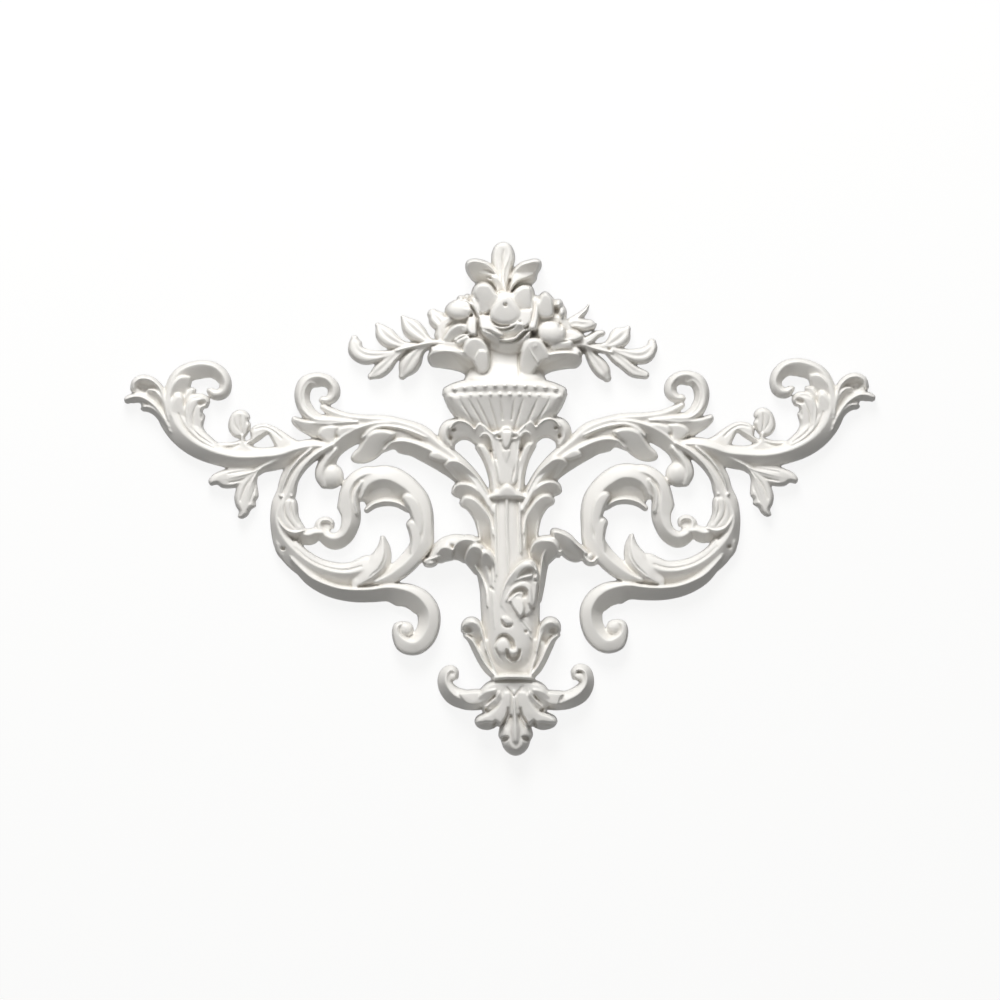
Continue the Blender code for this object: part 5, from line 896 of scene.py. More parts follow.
@dataclass(frozen=True)
class BeadRow:
    """A row of beads on the rim: its middle, half its length, and how it sags and falls to the sides."""

    count: int
    x: float
    y: float
    reach: float
    sag: float
    half_width: float
    half_height: float
    high: float
    fall: float = 9.0
    foot: float = 0.72

    def beads(self) -> Iterator[Form]:
        """The beads from left to right, on a parabola."""
        for i in range(self.count):
            u = 2 * i / (self.count - 1) - 1
            place = (self.x + self.reach * u, self.y + self.sag * u * u)
            size = (self.half_width, self.half_height)
            yield Dome(f"bead {i}", *place, *size, self.high - self.fall * u * u, foot=self.foot)


@dataclass(frozen=True)
class Bowl(Moulding):
    """Fluted bowl with two rows of beads on its rim."""

    crest: float = 43.0
    corner: Place = (445.0, 380.0)
    bead_rows: tuple[BeadRow, ...] = (
        BeadRow(count=11, x=60, y=6.4, reach=50, sag=3.2, half_width=4.9, half_height=3.9, high=100),
        BeadRow(count=12, x=60, y=14.9, reach=53.5, sag=2.2, half_width=4.7, half_height=4.2, high=95),
    )

    def drawn(self) -> Iterator[Form]:
        """The forms in drawing order."""
        yield Petal("bowl", [(1.5, 14), (3.5, 25), (8.5, 33.5), (16, 41), (29, 48), (43, 53), (61, 56),
            (77, 53), (92, 47), (104, 40.5), (111.5, 33), (116.5, 24.5), (118.5, 14)],
            72.6, lean=(0, -0.33), bevel=(9, 6.5))
        yield groove("flute_1", [(15, 20, 0.5, 2.4), (18, 26, 0.8, 5.2), (23, 34, 0.8, 5.2),
            (28, 42, 0.8, 4.8)])
        yield groove("flute_2", [(24, 20, 0.5, 2.4), (28, 28, 0.9, 5.2), (34, 38, 0.9, 5.2),
            (40, 49, 0.8, 4.8)])
        yield groove("flute_3", [(32, 20, 0.5, 2.4), (36, 29, 0.9, 5.2), (41, 39, 0.9, 5.2),
            (46, 50, 0.8, 4.8)])
        yield groove("flute_4", [(44, 20, 0.5, 2.4), (47, 30, 0.9, 5.2), (50, 40, 0.9, 5.2),
            (53, 51, 0.8, 4.8)])
        yield groove("flute_5", [(55, 21, 0.5, 2.4), (56.5, 30, 0.9, 5.2), (57.5, 40, 0.9, 4.8)])
        yield groove("flute_6", [(69, 20, 0.5, 2.4), (68, 30, 0.9, 5.2), (66.5, 40, 0.9, 4.8)])
        yield groove("flute_7", [(78, 20, 0.5, 2.4), (75, 30, 0.9, 5.2), (72, 40, 0.9, 5.2),
            (69, 50, 0.8, 4.8)])
        yield groove("flute_8", [(92, 20, 0.5, 2.4), (88, 30, 0.9, 5.2), (83.5, 40, 0.9, 5.2),
            (79, 49, 0.8, 4.8)])
        yield groove("flute_9", [(104, 20, 0.5, 2.4), (100, 28, 0.8, 5.2), (94.5, 37, 0.8, 5.2),
            (90, 45, 0.8, 4.8)])
        yield Ridge("bowl_rim", GENTLE, FULL, [(3, 11.5, 5, 7, 76.2), (11, 8.5, 5.5, 12, 83.3),
            (23, 6, 6, 15, 88.8), (42, 5, 6, 16, 91.4), (60, 4.5, 6, 16, 92.4), (78, 5, 6, 16, 91.4),
            (96, 6, 6, 15, 88.8), (108, 8.5, 5.5, 12, 83.3), (116.5, 11.5, 5, 7, 76.2)])
        for row in self.bead_rows:
            yield from row.beads()


@dataclass(frozen=True)
class Neck(Moulding):
    """Neck of the vase, its lip and the leaves folded over the lip."""

    crest: float = 41.0
    corner: Place = (425.0, 335.0)

    def drawn(self) -> Iterator[Form]:
        """The forms in drawing order."""
        yield Ridge("neck", FULL, FULL, [(79, 5, 28, 30, 48.8), (80, 25, 32, 34, 56.1),
            (80, 35, 36, 36, 65.9), (80, 42, 40, 40, 78), (80, 49, 43, 43, 87.8)], square=True)
        yield groove("neck_groove", [(93, 18, 1, 6.1), (93.8, 31, 1.2, 8.5), (94.2, 42, 1, 4.9)])
        yield Petal("lip_left", [(3.7, 24.5), (5.5, 19), (12, 16.5), (21, 15.3), (30, 16.5), (38, 19.5),
            (45, 20), (52, 24), (57, 31), (53, 41), (46.5, 45.5), (42.5, 43), (37, 38), (27, 34.8),
            (16, 33), (6.5, 31)], 52.4, lean=(0.15, -1.5), bevel=(1.5, 2))
        yield Petal("lip_fill_l", [(6, 14), (15, 10), (37, 8), (43, 15), (27, 17), (9, 18.5)],
            72, lean=(0, 0.1), bevel=(1.5, 1.5))
        yield line("lip_left_rim", [(5.5, 20.5, 1.5, 75.6), (8, 16.5, 2, 81.7), (16, 14.8, 2.2, 85.4),
            (25, 14.3, 2.2, 86.6), (33, 16, 2, 87.8), (39, 18.5, 1.6, 87.8)])
        yield Petal("lip_right", [(113, 45), (118, 41.5), (126, 37), (136, 34.5), (145, 33.3), (151, 33),
            (155.5, 27.5), (154.5, 21.5), (148, 18), (137, 17.5), (126, 19), (117, 22), (105, 29),
            (104, 39)], 52.4, lean=(-0.15, -1.5), bevel=(1.5, 2))
        yield Petal("lip_fill_r", [(120, 15), (128, 14), (141, 13.5), (152, 13), (156, 19), (137, 19.5),
            (123, 22)], 74.4, lean=(0, 0.1), bevel=(1.5, 1.5))
        yield line("lip_right_rim", [(122, 20.5, 1.4, 87.3), (128, 18.3, 1.8, 86.8),
            (137, 17.2, 1.8, 85.4), (146, 17.7, 1.8, 82.9), (152, 19.7, 1.7, 78), (155.3, 24, 1.5, 72)])
        yield Petal("fold_left", [(38, 18), (39, 11), (43, 6), (49, 3), (55.5, 5), (60.5, 10.5), (64, 18),
            (65.3, 27), (63.5, 36.5), (58, 39.5), (53.5, 38.8), (50.5, 32), (46, 26), (40, 22)],
            86.6, lean=(0.02, -0.4), bevel=(2, 2.6))
        yield line("fold_left_rim", [(39, 12, 1.3, 90.2), (42.5, 6.5, 1.8, 93.9), (49, 3.8, 2, 96.3),
            (55.5, 5.5, 2.4, 97.6), (60.5, 11, 2.4, 97.1), (63.5, 18.5, 1.8, 92.7)])
        yield Petal("fold_left_in", [(51.3, 34), (51, 26), (53, 20), (57, 15.5), (61.5, 17.5), (64, 25),
            (62.3, 36), (57, 38.5)], 89, lean=(0.1, -0.38), bevel=(1.2, 1.4))
        yield line("fold_left_line", [(50.3, 31, 1.1, 91.5), (51.3, 22.5, 1.5, 97.6),
            (54.5, 16.5, 1.5, 100)])
        yield Petal("fold_right", [(95, 36), (95, 25), (97, 15.5), (101.5, 8.5), (107.5, 5), (114, 6),
            (119.5, 12), (124, 20), (125, 25), (118, 27), (112, 33), (106, 40), (99, 41)],
            86.6, lean=(-0.02, -0.4), bevel=(2, 2.6))
        yield line("fold_right_rim", [(96, 17, 1.4, 92.7), (99, 10, 2, 96.3), (104, 5.6, 2.4, 97.6),
            (110, 4.3, 2.4, 97.6), (116, 7.5, 2, 96.3), (121, 14.5, 1.7, 92.7), (124, 21, 1.3, 89)])
        yield line("fold_right_line", [(103.5, 13.5, 1.4, 100), (107.5, 21, 1.6, 97.6),
            (111, 26, 1.5, 93.9), (113.5, 31, 1.1, 87.8)])
        yield Petal("fold_right_in", [(106.5, 12.5), (111, 10), (115.5, 14), (119.5, 19.5), (121.5, 23.5),
            (115.5, 25.5), (111.5, 22)], 86.6, lean=(-0.2, -0.7))


@dataclass(frozen=True)
class Flowers(Moulding):
    """Roses and buds in the vase."""

    crest: float = 46.8
    corner: Place = (435.0, 280.0)

    def drawn(self) -> Iterator[Form]:
        """The forms in drawing order."""
        yield Petal("flower_base", [(12, 61), (10, 53), (18, 42), (14, 33), (21, 22), (35, 21), (40, 12),
            (48, 9), (58, 11), (72, 15), (85, 10), (96, 13), (100, 23), (110, 17), (121, 22), (129, 32),
            (127, 42), (139, 51), (141, 60), (125, 70), (95, 72), (70, 75), (45, 66), (25, 64)],
            57.7, bevel=(4, 5))
        yield Petal("flower_fill_l", [(2, 50), (11, 38), (21, 37), (27, 50), (17, 64), (5, 63)],
            53.4, lean=(0, -0.1))
        yield Petal("flower_fill_r", [(98, 42), (110, 37), (127, 38), (137, 50), (131, 64), (110, 67),
            (100, 58)], 59.8, lean=(0, -0.1))
        yield Dome("rose_cup", 70, 46, 27, 25.5, 75.9, foot=0.62)
        yield Petal("petal_l", [(39.3, 17), (40, 10.5), (43, 6.8), (49, 5.5), (54, 7), (58, 12), (62, 19),
            (61, 25), (56, 31), (50.5, 35), (46, 35), (43, 31), (42.5, 23)],
            92.5, lean=(0.06, -0.36), bevel=(1.6, 1.9))
        yield line("petal_l_rim", [(40, 10.5, 1.2, 85.5), (43.5, 5.8, 1.6, 90.8), (49, 4.6, 1.7, 92.9),
            (54.5, 6.5, 1.7, 94), (58.5, 11.5, 1.7, 95.1), (62.5, 18, 1.6, 96.2)])
        yield Petal("petal_l_side", [(37, 19), (43, 19.5), (45.5, 28), (44.5, 37), (41.5, 32), (37.5, 25)],
            85.5, lean=(-0.1, 0.2), bevel=(1.5, 2))
        yield Petal("petal_r", [(77.5, 20), (79.5, 14.5), (84, 10.5), (88.5, 8.3), (95, 9), (97, 16),
            (97, 23), (95.5, 29), (89, 30.8), (82.5, 29.8), (78.5, 25.5)],
            93.2, lean=(-0.05, -0.26), bevel=(1.6, 1.8))
        yield line("petal_r_rim", [(78, 14.5, 1.4, 96.2), (83, 9.5, 1.6, 97.2), (88.5, 7.2, 1.6, 97.2),
            (95, 8, 1.4, 94)])
        yield Petal("petal_rs", [(84, 31.5), (90, 30.8), (96, 31), (96.3, 38), (94, 44.5), (90, 48.5),
            (86, 45), (84, 38)], 94, lean=(-0.05, 0.12), bevel=(1.5, 2))
        yield Petal("petal_edge", [(95.5, 30), (97.5, 21), (100, 17.5), (103.5, 20.5), (103.8, 30),
            (103, 42), (100, 51), (95.5, 51), (93, 48)], 91.9, lean=(-0.1, 0.2), bevel=(2, 2.5))
        yield groove("petal_line_r", [(99.6, 18.5, 1, 5.3), (99.3, 26, 1.5, 9.6), (98, 35, 1.5, 9.6),
            (96, 43, 1.4, 8.5), (91.5, 49.5, 1, 5.3)])
        yield Petal("petal_white", [(44.5, 37.5), (51, 36), (55, 37.5), (56.5, 42), (59.5, 47.5),
            (64, 51.5), (68.5, 57), (62, 55.8), (54, 52), (46, 50.5), (44, 44)],
            92.9, lean=(0, 0.28), bevel=(1.5, 2))
        yield Petal("petal_top", [(61, 26), (61, 19), (63.5, 15), (70.5, 13.5), (77, 15), (79.5, 19),
            (80, 26), (70.5, 30)], 92.3, lean=(0, 0.05), bevel=(1.2, 1.5))
        yield Petal("bud_mid", [(54.9, 36.5), (56.5, 30), (60.5, 24), (65, 19.5), (70.3, 16.5),
            (75.6, 19.5), (80.3, 24), (84.6, 30), (86.2, 36.5), (83.6, 41.8), (77.5, 45.3), (70.5, 46.3),
            (63.5, 45.3), (57.4, 41.8)], 100, lean=(0, -0.22), bevel=(4.5, 2.6))
        yield dent("bud_dot", 70.3, 26.3, 1.6, 1.6, 10.7)
        yield Petal("rose_face_1", [(58.5, 48.5), (65, 51), (73, 51), (79, 48.5), (84, 44), (87.5, 46),
            (89.5, 51), (85.5, 54.5), (82, 58), (75, 59.5), (68.5, 58.5), (63, 53.5)],
            84.4, lean=(0, -1.25), bevel=(1, 0.6))
        yield line("rim1", [(56, 43.5, 1.7, 95.1), (60, 47, 1.9, 97.9), (65, 48.9, 2, 99.4),
            (72, 48.6, 2, 100), (78, 46.5, 2, 99.4), (83, 42.8, 1.8, 98.3), (86, 39, 1.5, 96.2)])
        yield Petal("rose_face_2", [(64.5, 63), (73, 63.5), (80, 62.2), (85.5, 60), (91, 55), (95, 52.5),
            (94, 60), (88.5, 67), (81, 71.5), (72, 72.5), (64.5, 70.5)],
            73.7, lean=(0, -1.15), bevel=(1.5, 2))
        yield Ridge("rim2", ROUND, ROUND, [(65, 60.3, 1.8, 1.8, 94), (71, 61, 2, 2, 96.6),
            (76, 60.5, 2, 2.2, 97.9), (81, 58.6, 2, 2.4, 98.3), (85, 55, 2, 2.6, 98.3),
            (90, 51.3, 2, 2.6, 97.2), (96, 49.5, 1.8, 2, 95.1)])
        yield Petal("rose_face_3", [(46, 51.5), (53, 52.8), (60, 56.2), (67, 59.3), (64.5, 61.8),
            (64.5, 65.5), (57.5, 62.5), (51, 58.5)], 81.2, lean=(0.1, -1.25), bevel=(1, 0.8))
        yield dent("rose_pit", 98.3, 54, 1.9, 3.4, 19.2)
        yield dent("rose_shade", 52.5, 64, 1.8, 4, 7.5, turn=-40)
        yield Dome("rose_l1", 24.8, 31.2, 13, 10.3, 86.1, foot=0.84)
        yield Petal("rose_l1_side", [(25.5, 30), (32, 29), (36, 32.5), (34, 37.5), (28.5, 39.5), (26, 35)],
            83.3, lean=(0.1, -0.4), bevel=(1, 1.2))
        yield line("rose_l1_rim", [(19, 22.2, 1.3, 76.9), (26, 20.8, 1.6, 81.2), (32, 22, 1.8, 83.8),
            (37, 26, 1.8, 85.9), (40.5, 31.5, 1.8, 87.6), (43.5, 38, 1.5, 88.2)])
        yield line("rose_l1_inner", [(27, 25, 1.2, 84.4), (33, 27, 1.5, 86.1), (37, 32, 1.5, 87.2),
            (40, 38.5, 1.3, 87.2)])
        yield Dome("rose_l1_tip1", 26, 19, 2.6, 2.4, 74.8, foot=0.75)
        yield Dome("rose_l1_tip2", 32.3, 18.3, 1.8, 2.2, 79.1, foot=0.75)
        yield Petal("petal_w", [(32.5, 41), (37, 37.3), (42, 39.5), (42, 47), (41.5, 55.5), (35.5, 55.5),
            (31.8, 50)], 88.7, lean=(0, 0.22), bevel=(1.5, 2))
        yield groove("petal_w_line", [(42.6, 42, 0.8, 2.1), (42.4, 48, 1.1, 4.3), (43, 54, 0.8, 3.2)])
        yield Petal("bud_l2", [(8.3, 60.5), (11.3, 54.5), (15.5, 49.3), (20.5, 45.8), (26, 44.5),
            (31.5, 46.3), (33.8, 50.5), (29.5, 55), (23.5, 58), (18.5, 62.3), (12.5, 63.3)],
            75.9, lean=(-0.05, -0.7), bevel=(2, 2.8))
        yield Petal("bud_l2_side", [(26.5, 44.8), (31.5, 46), (33.5, 50.5), (29.5, 54), (25.5, 51)],
            82.3, lean=(0.1, -0.2), bevel=(1.2, 1.4))
        yield groove("bud_l2_slit", [(11, 48.8, 0.8, 3.2), (14.8, 45.3, 1.4, 9.6), (19, 42.3, 1, 4.3)])
        yield Petal("leaf_l3_face", [(21, 64), (26, 59.5), (34, 57), (35.5, 60), (29, 64.5), (24, 66.5)],
            76.9, lean=(0, -0.85))
        yield line("leaf_l3", [(20, 61.5, 1.3, 79.1), (25, 57.6, 1.6, 82.3), (32, 55.4, 1.8, 84.4),
            (39, 55.6, 1.6, 85.5)])
        yield Dome("bud_r", 116.2, 53.4, 15.2, 12.4, 90.4, turn=12, foot=0.82)
        yield dent("bud_r_dot", 125, 47, 1.6, 3.2, 12.8, turn=-22)
        yield Petal("petal_r2_face", [(115, 67), (121, 63.8), (130, 62.3), (136.5, 61.8), (137, 67.5),
            (127, 69.8), (116, 71)], 74.8, lean=(0, -0.45))
        yield line("petal_r2", [(113.5, 65.5, 1.5, 79.1), (119, 62.6, 1.9, 81.8), (127, 60.8, 1.9, 81.8),
            (136, 60, 1.5, 79.1)])
        yield Petal("petal_ur", [(102.5, 28), (104.5, 21), (107, 16.5), (110, 14.3), (113.5, 16.8),
            (117, 21.5), (118.3, 29), (117.8, 36.5), (111, 39.5), (104.5, 37.5)],
            86.5, lean=(0, -0.28), bevel=(1.6, 1.8))
        yield Dome("ur_lump_1", 123, 25, 4.5, 5, 76.9, foot=0.75)
        yield Dome("ur_lump_2", 126.5, 33.5, 4.5, 6.5, 76.9, foot=0.75)
        yield dent("ur_dot_1", 120, 22.3, 3, 1.7, 12.8, turn=15)
        yield dent("ur_dot_2", 121.3, 31.5, 2.6, 3.2, 17.1)
        yield Petal("petal_r3", [(127, 53.5), (134, 50), (142, 51.5), (148, 57), (142, 61.5), (133, 62.5),
            (127, 60)], 66.2, lean=(0, 0.2), bevel=(2, 3))


@dataclass(frozen=True)
class Sprigs(Moulding):
    """Leafy sprigs to both sides of the flowers."""

    crest: float = 30.0
    corner: Place = (350.0, 305.0)

    def drawn(self) -> Iterator[Form]:
        """The forms in drawing order."""
        yield line("sprig_stem_l", [(118, 41, 4, 100), (100, 39, 4, 100), (86, 38, 4, 93.3),
            (72, 40, 3, 80), (58, 43, 3, 66.7), (46, 46, 3, 53.3)])
        yield leaf("S1", [(52, 45, 2.5, 2.5, 50), (40, 48.5, 4, 3.5, 50), (27, 51, 6.9, 5.8, 48.3),
            (16, 50, 10.3, 6.3, 46.7), (8, 45, 10.3, 5.8, 43.3), (5, 38, 6.9, 6.9, 38.3),
            (4.5, 34, 4, 4, 33.3)])
        yield leaf("S2", [(54, 45, 2.5, 2.5, 50), (43, 53, 5.8, 5.2, 48.3), (36, 60, 8, 6.9, 46.7),
            (28, 67, 7.5, 6.9, 41.7), (21, 71.5, 3.5, 3.5, 33.3)])
        yield leaf("S3", [(66, 40, 2.5, 2.5, 56.7), (54, 40, 4, 4, 53.3), (43, 36, 9.2, 8, 51.7),
            (35, 30, 9.8, 9.2, 48.3), (30, 23, 5.8, 5.2, 40), (27.5, 20, 2.5, 2.5, 33.3)])
        yield leaf("S4", [(90, 39, 2.5, 2.5, 73.3), (79, 36, 4, 4, 70), (69, 29, 9.8, 8.6, 65),
            (61, 22, 10.3, 9.2, 58.3), (54.5, 14.5, 4.5, 4, 46.7), (52.5, 12, 2, 2, 40)])
        yield leaf("S5", [(82, 39, 2.5, 2.5, 70), (71, 45, 5.2, 5.8, 63.3), (63, 54, 10.3, 9.2, 56.7),
            (57, 63, 9.8, 9.2, 50), (52.5, 71, 4, 4, 38.3)])
        yield leaf("S6", [(98, 26, 3, 3, 80), (91, 19, 8.6, 9.2, 80), (85.5, 12.5, 8.6, 8.6, 70),
            (83, 9.5, 5.8, 5.8, 60)])
        yield Dome("S_knob", 89, 30, 4.8, 4.8, 83.3, foot=0.6)
        yield line("sprig_stem_r", [(198, 43, 4, 100), (215, 41, 4, 96.7), (230, 40, 3.5, 83.3),
            (245, 44, 3, 66.7), (262, 48, 3, 53.3)])
        yield Ridge("R_thorn", ROUND, SLOPE, [(222, 17, 5, 5, 66.7), (230, 11, 4, 4, 60),
            (236, 5, 2.5, 2.5, 50), (238.5, 0, 1, 1, 40)])
        yield leaf("R0", [(216, 22, 5.8, 5.8, 80), (224, 19, 6.9, 6.9, 76.7), (233, 20, 6.9, 8, 73.3),
            (240, 19, 4.6, 6.9, 66.7)])
        yield leaf("R1", [(226, 40, 4, 4, 80), (238, 35, 4.6, 5.8, 73.3), (247, 29.5, 4, 4, 66.7),
            (252, 28, 3, 3.5, 56.7)])
        yield leaf("R2", [(242, 41, 2.5, 2.5, 60), (256, 40.5, 4, 4, 53.3), (266, 36, 10.3, 9.2, 50),
            (273, 30, 10.3, 9.2, 46.7), (278, 24, 3.5, 3, 36.7)])
        yield leaf("R3", [(262, 45, 2.5, 2.5, 53.3), (274, 48, 4.6, 5.8, 50), (285, 51, 7.5, 8, 50),
            (295, 49.5, 8, 9.2, 46.7), (301.5, 42.5, 6.3, 6.3, 40), (302, 38, 4.5, 4.5, 33.3)])
        yield leaf("R4", [(256, 46, 3, 3, 50), (266, 52, 4.6, 6.9, 46.7), (275, 59, 5.2, 6.9, 46.7),
            (284, 66, 5.8, 6.9, 43.3), (295, 70, 4.5, 4.5, 36.7)])
        yield leaf("R5", [(236, 42, 3, 3, 60), (241, 51, 5.8, 5.8, 53.3), (248, 61, 9.2, 8, 50),
            (254, 69, 8, 6.9, 46.7), (257, 73, 4.5, 4.5, 36.7)])


@dataclass(frozen=True)
class Crest(Moulding):
    """Three leaves on top."""

    crest: float = 31.0
    corner: Place = (465.0, 240.0)

    def drawn(self) -> Iterator[Form]:
        """The forms in drawing order."""
        yield Petal("top_mid", [(40, 58), (35.5, 47), (32, 36), (28.3, 26), (27.5, 16), (30, 8),
            (34, 4.3), (40, 3.3), (44.8, 6), (48.3, 13), (48.8, 20), (46, 29), (43.5, 43)],
            79, lean=(-0.02, -0.05), bevel=(2, 3))
        yield Ridge("top_mid_fold", SLOPE, GENTLE, [(42, 7, 1.3, 1.3, 79), (44.5, 14, 4, 2, 87.1),
            (42.5, 22, 5, 2, 90.3), (39.5, 30, 4.5, 2, 91.9), (39, 40, 3, 2, 95.2), (41, 52, 2, 2, 100)])
        yield line("top_mid_vein", [(37, 45, 1.1, 93.5), (34.5, 32, 1.2, 88.7), (33, 20, 1.1, 85.5),
            (34, 10, 0.9, 80.6)])
        yield groove("top_mid_line", [(38, 35, 0.7, 3.9), (37.5, 23, 1, 6.5), (38.5, 11, 0.8, 3.9)])
        yield Petal("top_left", [(39.5, 58), (32.5, 51.5), (26.5, 47), (22, 44.5), (15.5, 44.5),
            (9, 41.5), (5, 36.5), (2.3, 29.5), (3, 23.5), (7.5, 21.3), (17, 22.3), (24, 25.5), (32, 34),
            (37, 44)], 72.6, lean=(0.12, -1.05), bevel=(1.2, 1.5))
        yield Petal("top_left_face", [(9, 23), (17, 22.5), (24, 25.5), (31, 33), (36, 41), (39.5, 52),
            (34.5, 45), (29.5, 38.5), (24, 36.8), (17, 36), (12, 33.5), (10.8, 28)],
            87.1, lean=(0.1, -0.12), bevel=(1.2, 1.5))
        yield line("top_left_lip", [(11.3, 30, 1.2, 83.9), (13.5, 33.6, 1.6, 87.1), (19, 35.3, 1.8, 89.7),
            (25, 36.4, 1.8, 91.9), (31, 39, 1.6, 93.5)])
        yield groove("top_left_line", [(18.5, 30.3, 0.8, 4.8), (24, 31.8, 1.3, 11.3),
            (30.5, 35.5, 0.9, 6.5)])
        yield line("top_left_stalk", [(22, 39.5, 1.4, 83.9), (27, 42, 1.8, 90.3), (30.5, 47, 1.8, 95.2),
            (33.5, 53, 1.8, 100)])
        yield Petal("top_left_under", [(26.5, 37.5), (31.5, 38), (35.5, 41.8), (38.5, 47.5), (39.5, 54),
            (35.5, 54.5), (32.5, 48.5), (28.5, 42.5)], 93.5, lean=(0, -0.6))
        yield Petal("top_right", [(40.5, 58), (44.5, 44), (49.5, 31.5), (56, 25), (64, 22.3), (70, 21.2),
            (74, 22.5), (74.6, 27), (71.5, 34), (70.7, 40), (65.5, 45.5), (61, 47), (55, 47.5),
            (49.5, 52)], 72.6, lean=(-0.12, -1.05), bevel=(1.2, 1.5))
        yield Petal("top_right_face", [(46, 43), (49.5, 35.5), (55, 30.5), (61, 28), (66, 24.5), (69, 26),
            (68.5, 30.5), (69, 35), (63.5, 38), (56.5, 40), (50, 44), (45, 51)],
            87.1, lean=(-0.1, 0.2), bevel=(1.2, 1.5))
        yield Petal("top_right_up", [(45, 40), (48, 32), (53, 26.8), (60, 23.5), (67.5, 22.3), (65.5, 26),
            (60.5, 29.5), (54, 32), (49, 37)], 90.3, lean=(-0.05, -0.45), bevel=(1, 1.2))
        yield line("top_right_lip", [(68.5, 30, 1.3, 82.3), (67.5, 35, 1.6, 85.5), (62, 38.4, 1.8, 88.1),
            (55.5, 40.5, 1.8, 91.3), (49.5, 45, 1.6, 94.5), (45.5, 51, 1.4, 98.4)])


@dataclass(frozen=True)
class DropCarving(Moulding):
    """Leaf and curl carved on the drop."""

    crest: float = 41.8
    corner: Place = (490.0, 560.0)

    def drawn(self) -> Iterator[Form]:
        """The forms in drawing order."""
        yield Petal("carve_back", [(11, 44), (12, 32), (16.5, 20.5), (23.5, 10), (32, 3), (40, 0.5),
            (46, 5), (48, 14), (47, 30), (44, 46), (36, 56), (22, 56), (14, 52)],
            80.9, lean=(0, -0.05), bevel=(1.2, 1.2))
        yield Petal("carve_face", [(14.5, 28), (18.5, 19), (24.5, 10.5), (32, 4.5), (40, 2), (44, 7),
            (45, 14), (39, 17.5), (30, 19.5), (22, 25), (16.5, 35), (13.5, 40)],
            88.5, lean=(0.08, -0.32), bevel=(1, 1.2))
        yield line("carve_leaf", [(11, 46, 1.3, 81.3), (11.5, 36, 1.6, 86.1), (15, 25, 1.8, 90.9),
            (20, 16, 2, 94.5), (26.5, 7.8, 2.1, 98.1), (34, 1.8, 2.1, 100), (41, 0.5, 2, 99.3),
            (45.3, 4.5, 1.8, 96.9), (46.5, 11, 1.6, 93.3)])
        yield groove("carve_cav1", [(28, 17.5, 1, 4.8), (32.5, 13.5, 2.6, 12), (38, 11, 3.4, 17.9),
            (42.5, 11, 3, 17.9), (44, 15, 1.6, 12)])
        yield Dome("carve_ball", 45, 17, 2.2, 2, 89.7, foot=0.92)
        yield dent("carve_ball_dark", 45.5, 20.3, 1.7, 1.1, 8.4)
        yield Petal("carve_lobe2", [(15, 41), (17.5, 32.5), (22.5, 25.5), (29, 21), (36, 20), (41, 24),
            (42.5, 33), (42, 43), (38, 44), (36, 34), (29, 34), (21, 42)],
            87.3, lean=(0, 0.05), bevel=(2, 2.6))
        yield groove("carve_cav2", [(17.5, 40.5, 1, 7.2), (21.5, 34, 1.7, 13.2), (27, 30, 2.4, 16.7),
            (32.5, 29.5, 3, 17.9), (35.5, 32, 2.8, 16.7), (34, 36, 1.8, 10.8)])
        yield Petal("carve_petal", [(20.5, 42), (23, 37.5), (27.5, 35.5), (32, 38), (34.5, 44.5),
            (34, 52), (30.5, 56.5), (26, 52)], 88, lean=(-0.05, 0.15), bevel=(1.6, 2))
        yield dent("carve_spot", 34.5, 55.5, 2.6, 1.6, 7.2, turn=-25)
        yield Dome("carve_bead", 41.5, 43.5, 2, 2.6, 86.1, foot=0.93)
        yield line("carve_stem1", [(17, 43, 1, 77.5), (22, 51.5, 1.1, 78.7), (29, 61, 1.1, 78.7),
            (36, 70, 1.1, 78.2), (41.5, 78, 1, 76.1)])
        yield line("carve_stem2", [(23, 49, 1.3, 78.5), (29, 56.5, 1.5, 79.4), (36, 64.5, 1.5, 78.9),
            (41, 71, 1.3, 77.3)])
        yield Petal("carve_leaf3", [(11.5, 57), (14.5, 55.3), (19, 57), (23, 61.3), (21, 64), (16, 64),
            (12.3, 61)], 84.4, lean=(0, -0.1), bevel=(1.3, 1.6))
        yield groove("carve_leaf3_dark", [(11, 59, 0.8, 3.6), (13, 63.5, 1.3, 8.4), (17.5, 66, 1.3, 8.4),
            (22.5, 64.5, 0.8, 4.8)])
        yield dent("carve_dot", 36, 71, 1.6, 1.6, 8.4)
        yield dent("carve_dot2", 41.8, 47.8, 2.2, 1.4, 12, turn=-15)
        yield Dome("curl_body", 13, 85.5, 8.5, 8.5, 80.9, foot=0.95)
        yield groove("curl_cut", [(4.5, 85, 0.7, 2.4), (7.5, 79, 1.2, 8.4), (11.5, 75.3, 1.8, 13.2),
            (16.5, 75.8, 2.2, 15.6), (21, 80.5, 2.5, 16.7), (23, 86, 2.4, 16.7)])
        yield groove("cresc_cut", [(16.8, 89.5, 1.3, 9.6), (18, 95.5, 2, 17.9), (23.3, 98.8, 2.4, 21.5),
            (28.5, 95.5, 2, 17.9), (29.8, 89.5, 1.3, 9.6)])
        yield groove("curl_line", [(5.5, 88, 0.8, 2.4), (8.5, 94.5, 1, 4.8), (12.5, 100.5, 0.8, 2.4)])
        yield Dome("curl_ball", 23.3, 91.3, 5.2, 4.4, 90.4, foot=0.85)
        yield line("curl_rim", [(15.3, 92, 1.2, 77.8), (17, 98.5, 1.5, 77.8), (23.5, 102.2, 1.6, 75.4),
            (29.8, 98.5, 1.5, 77.8), (31.5, 91, 1.2, 77.8)])


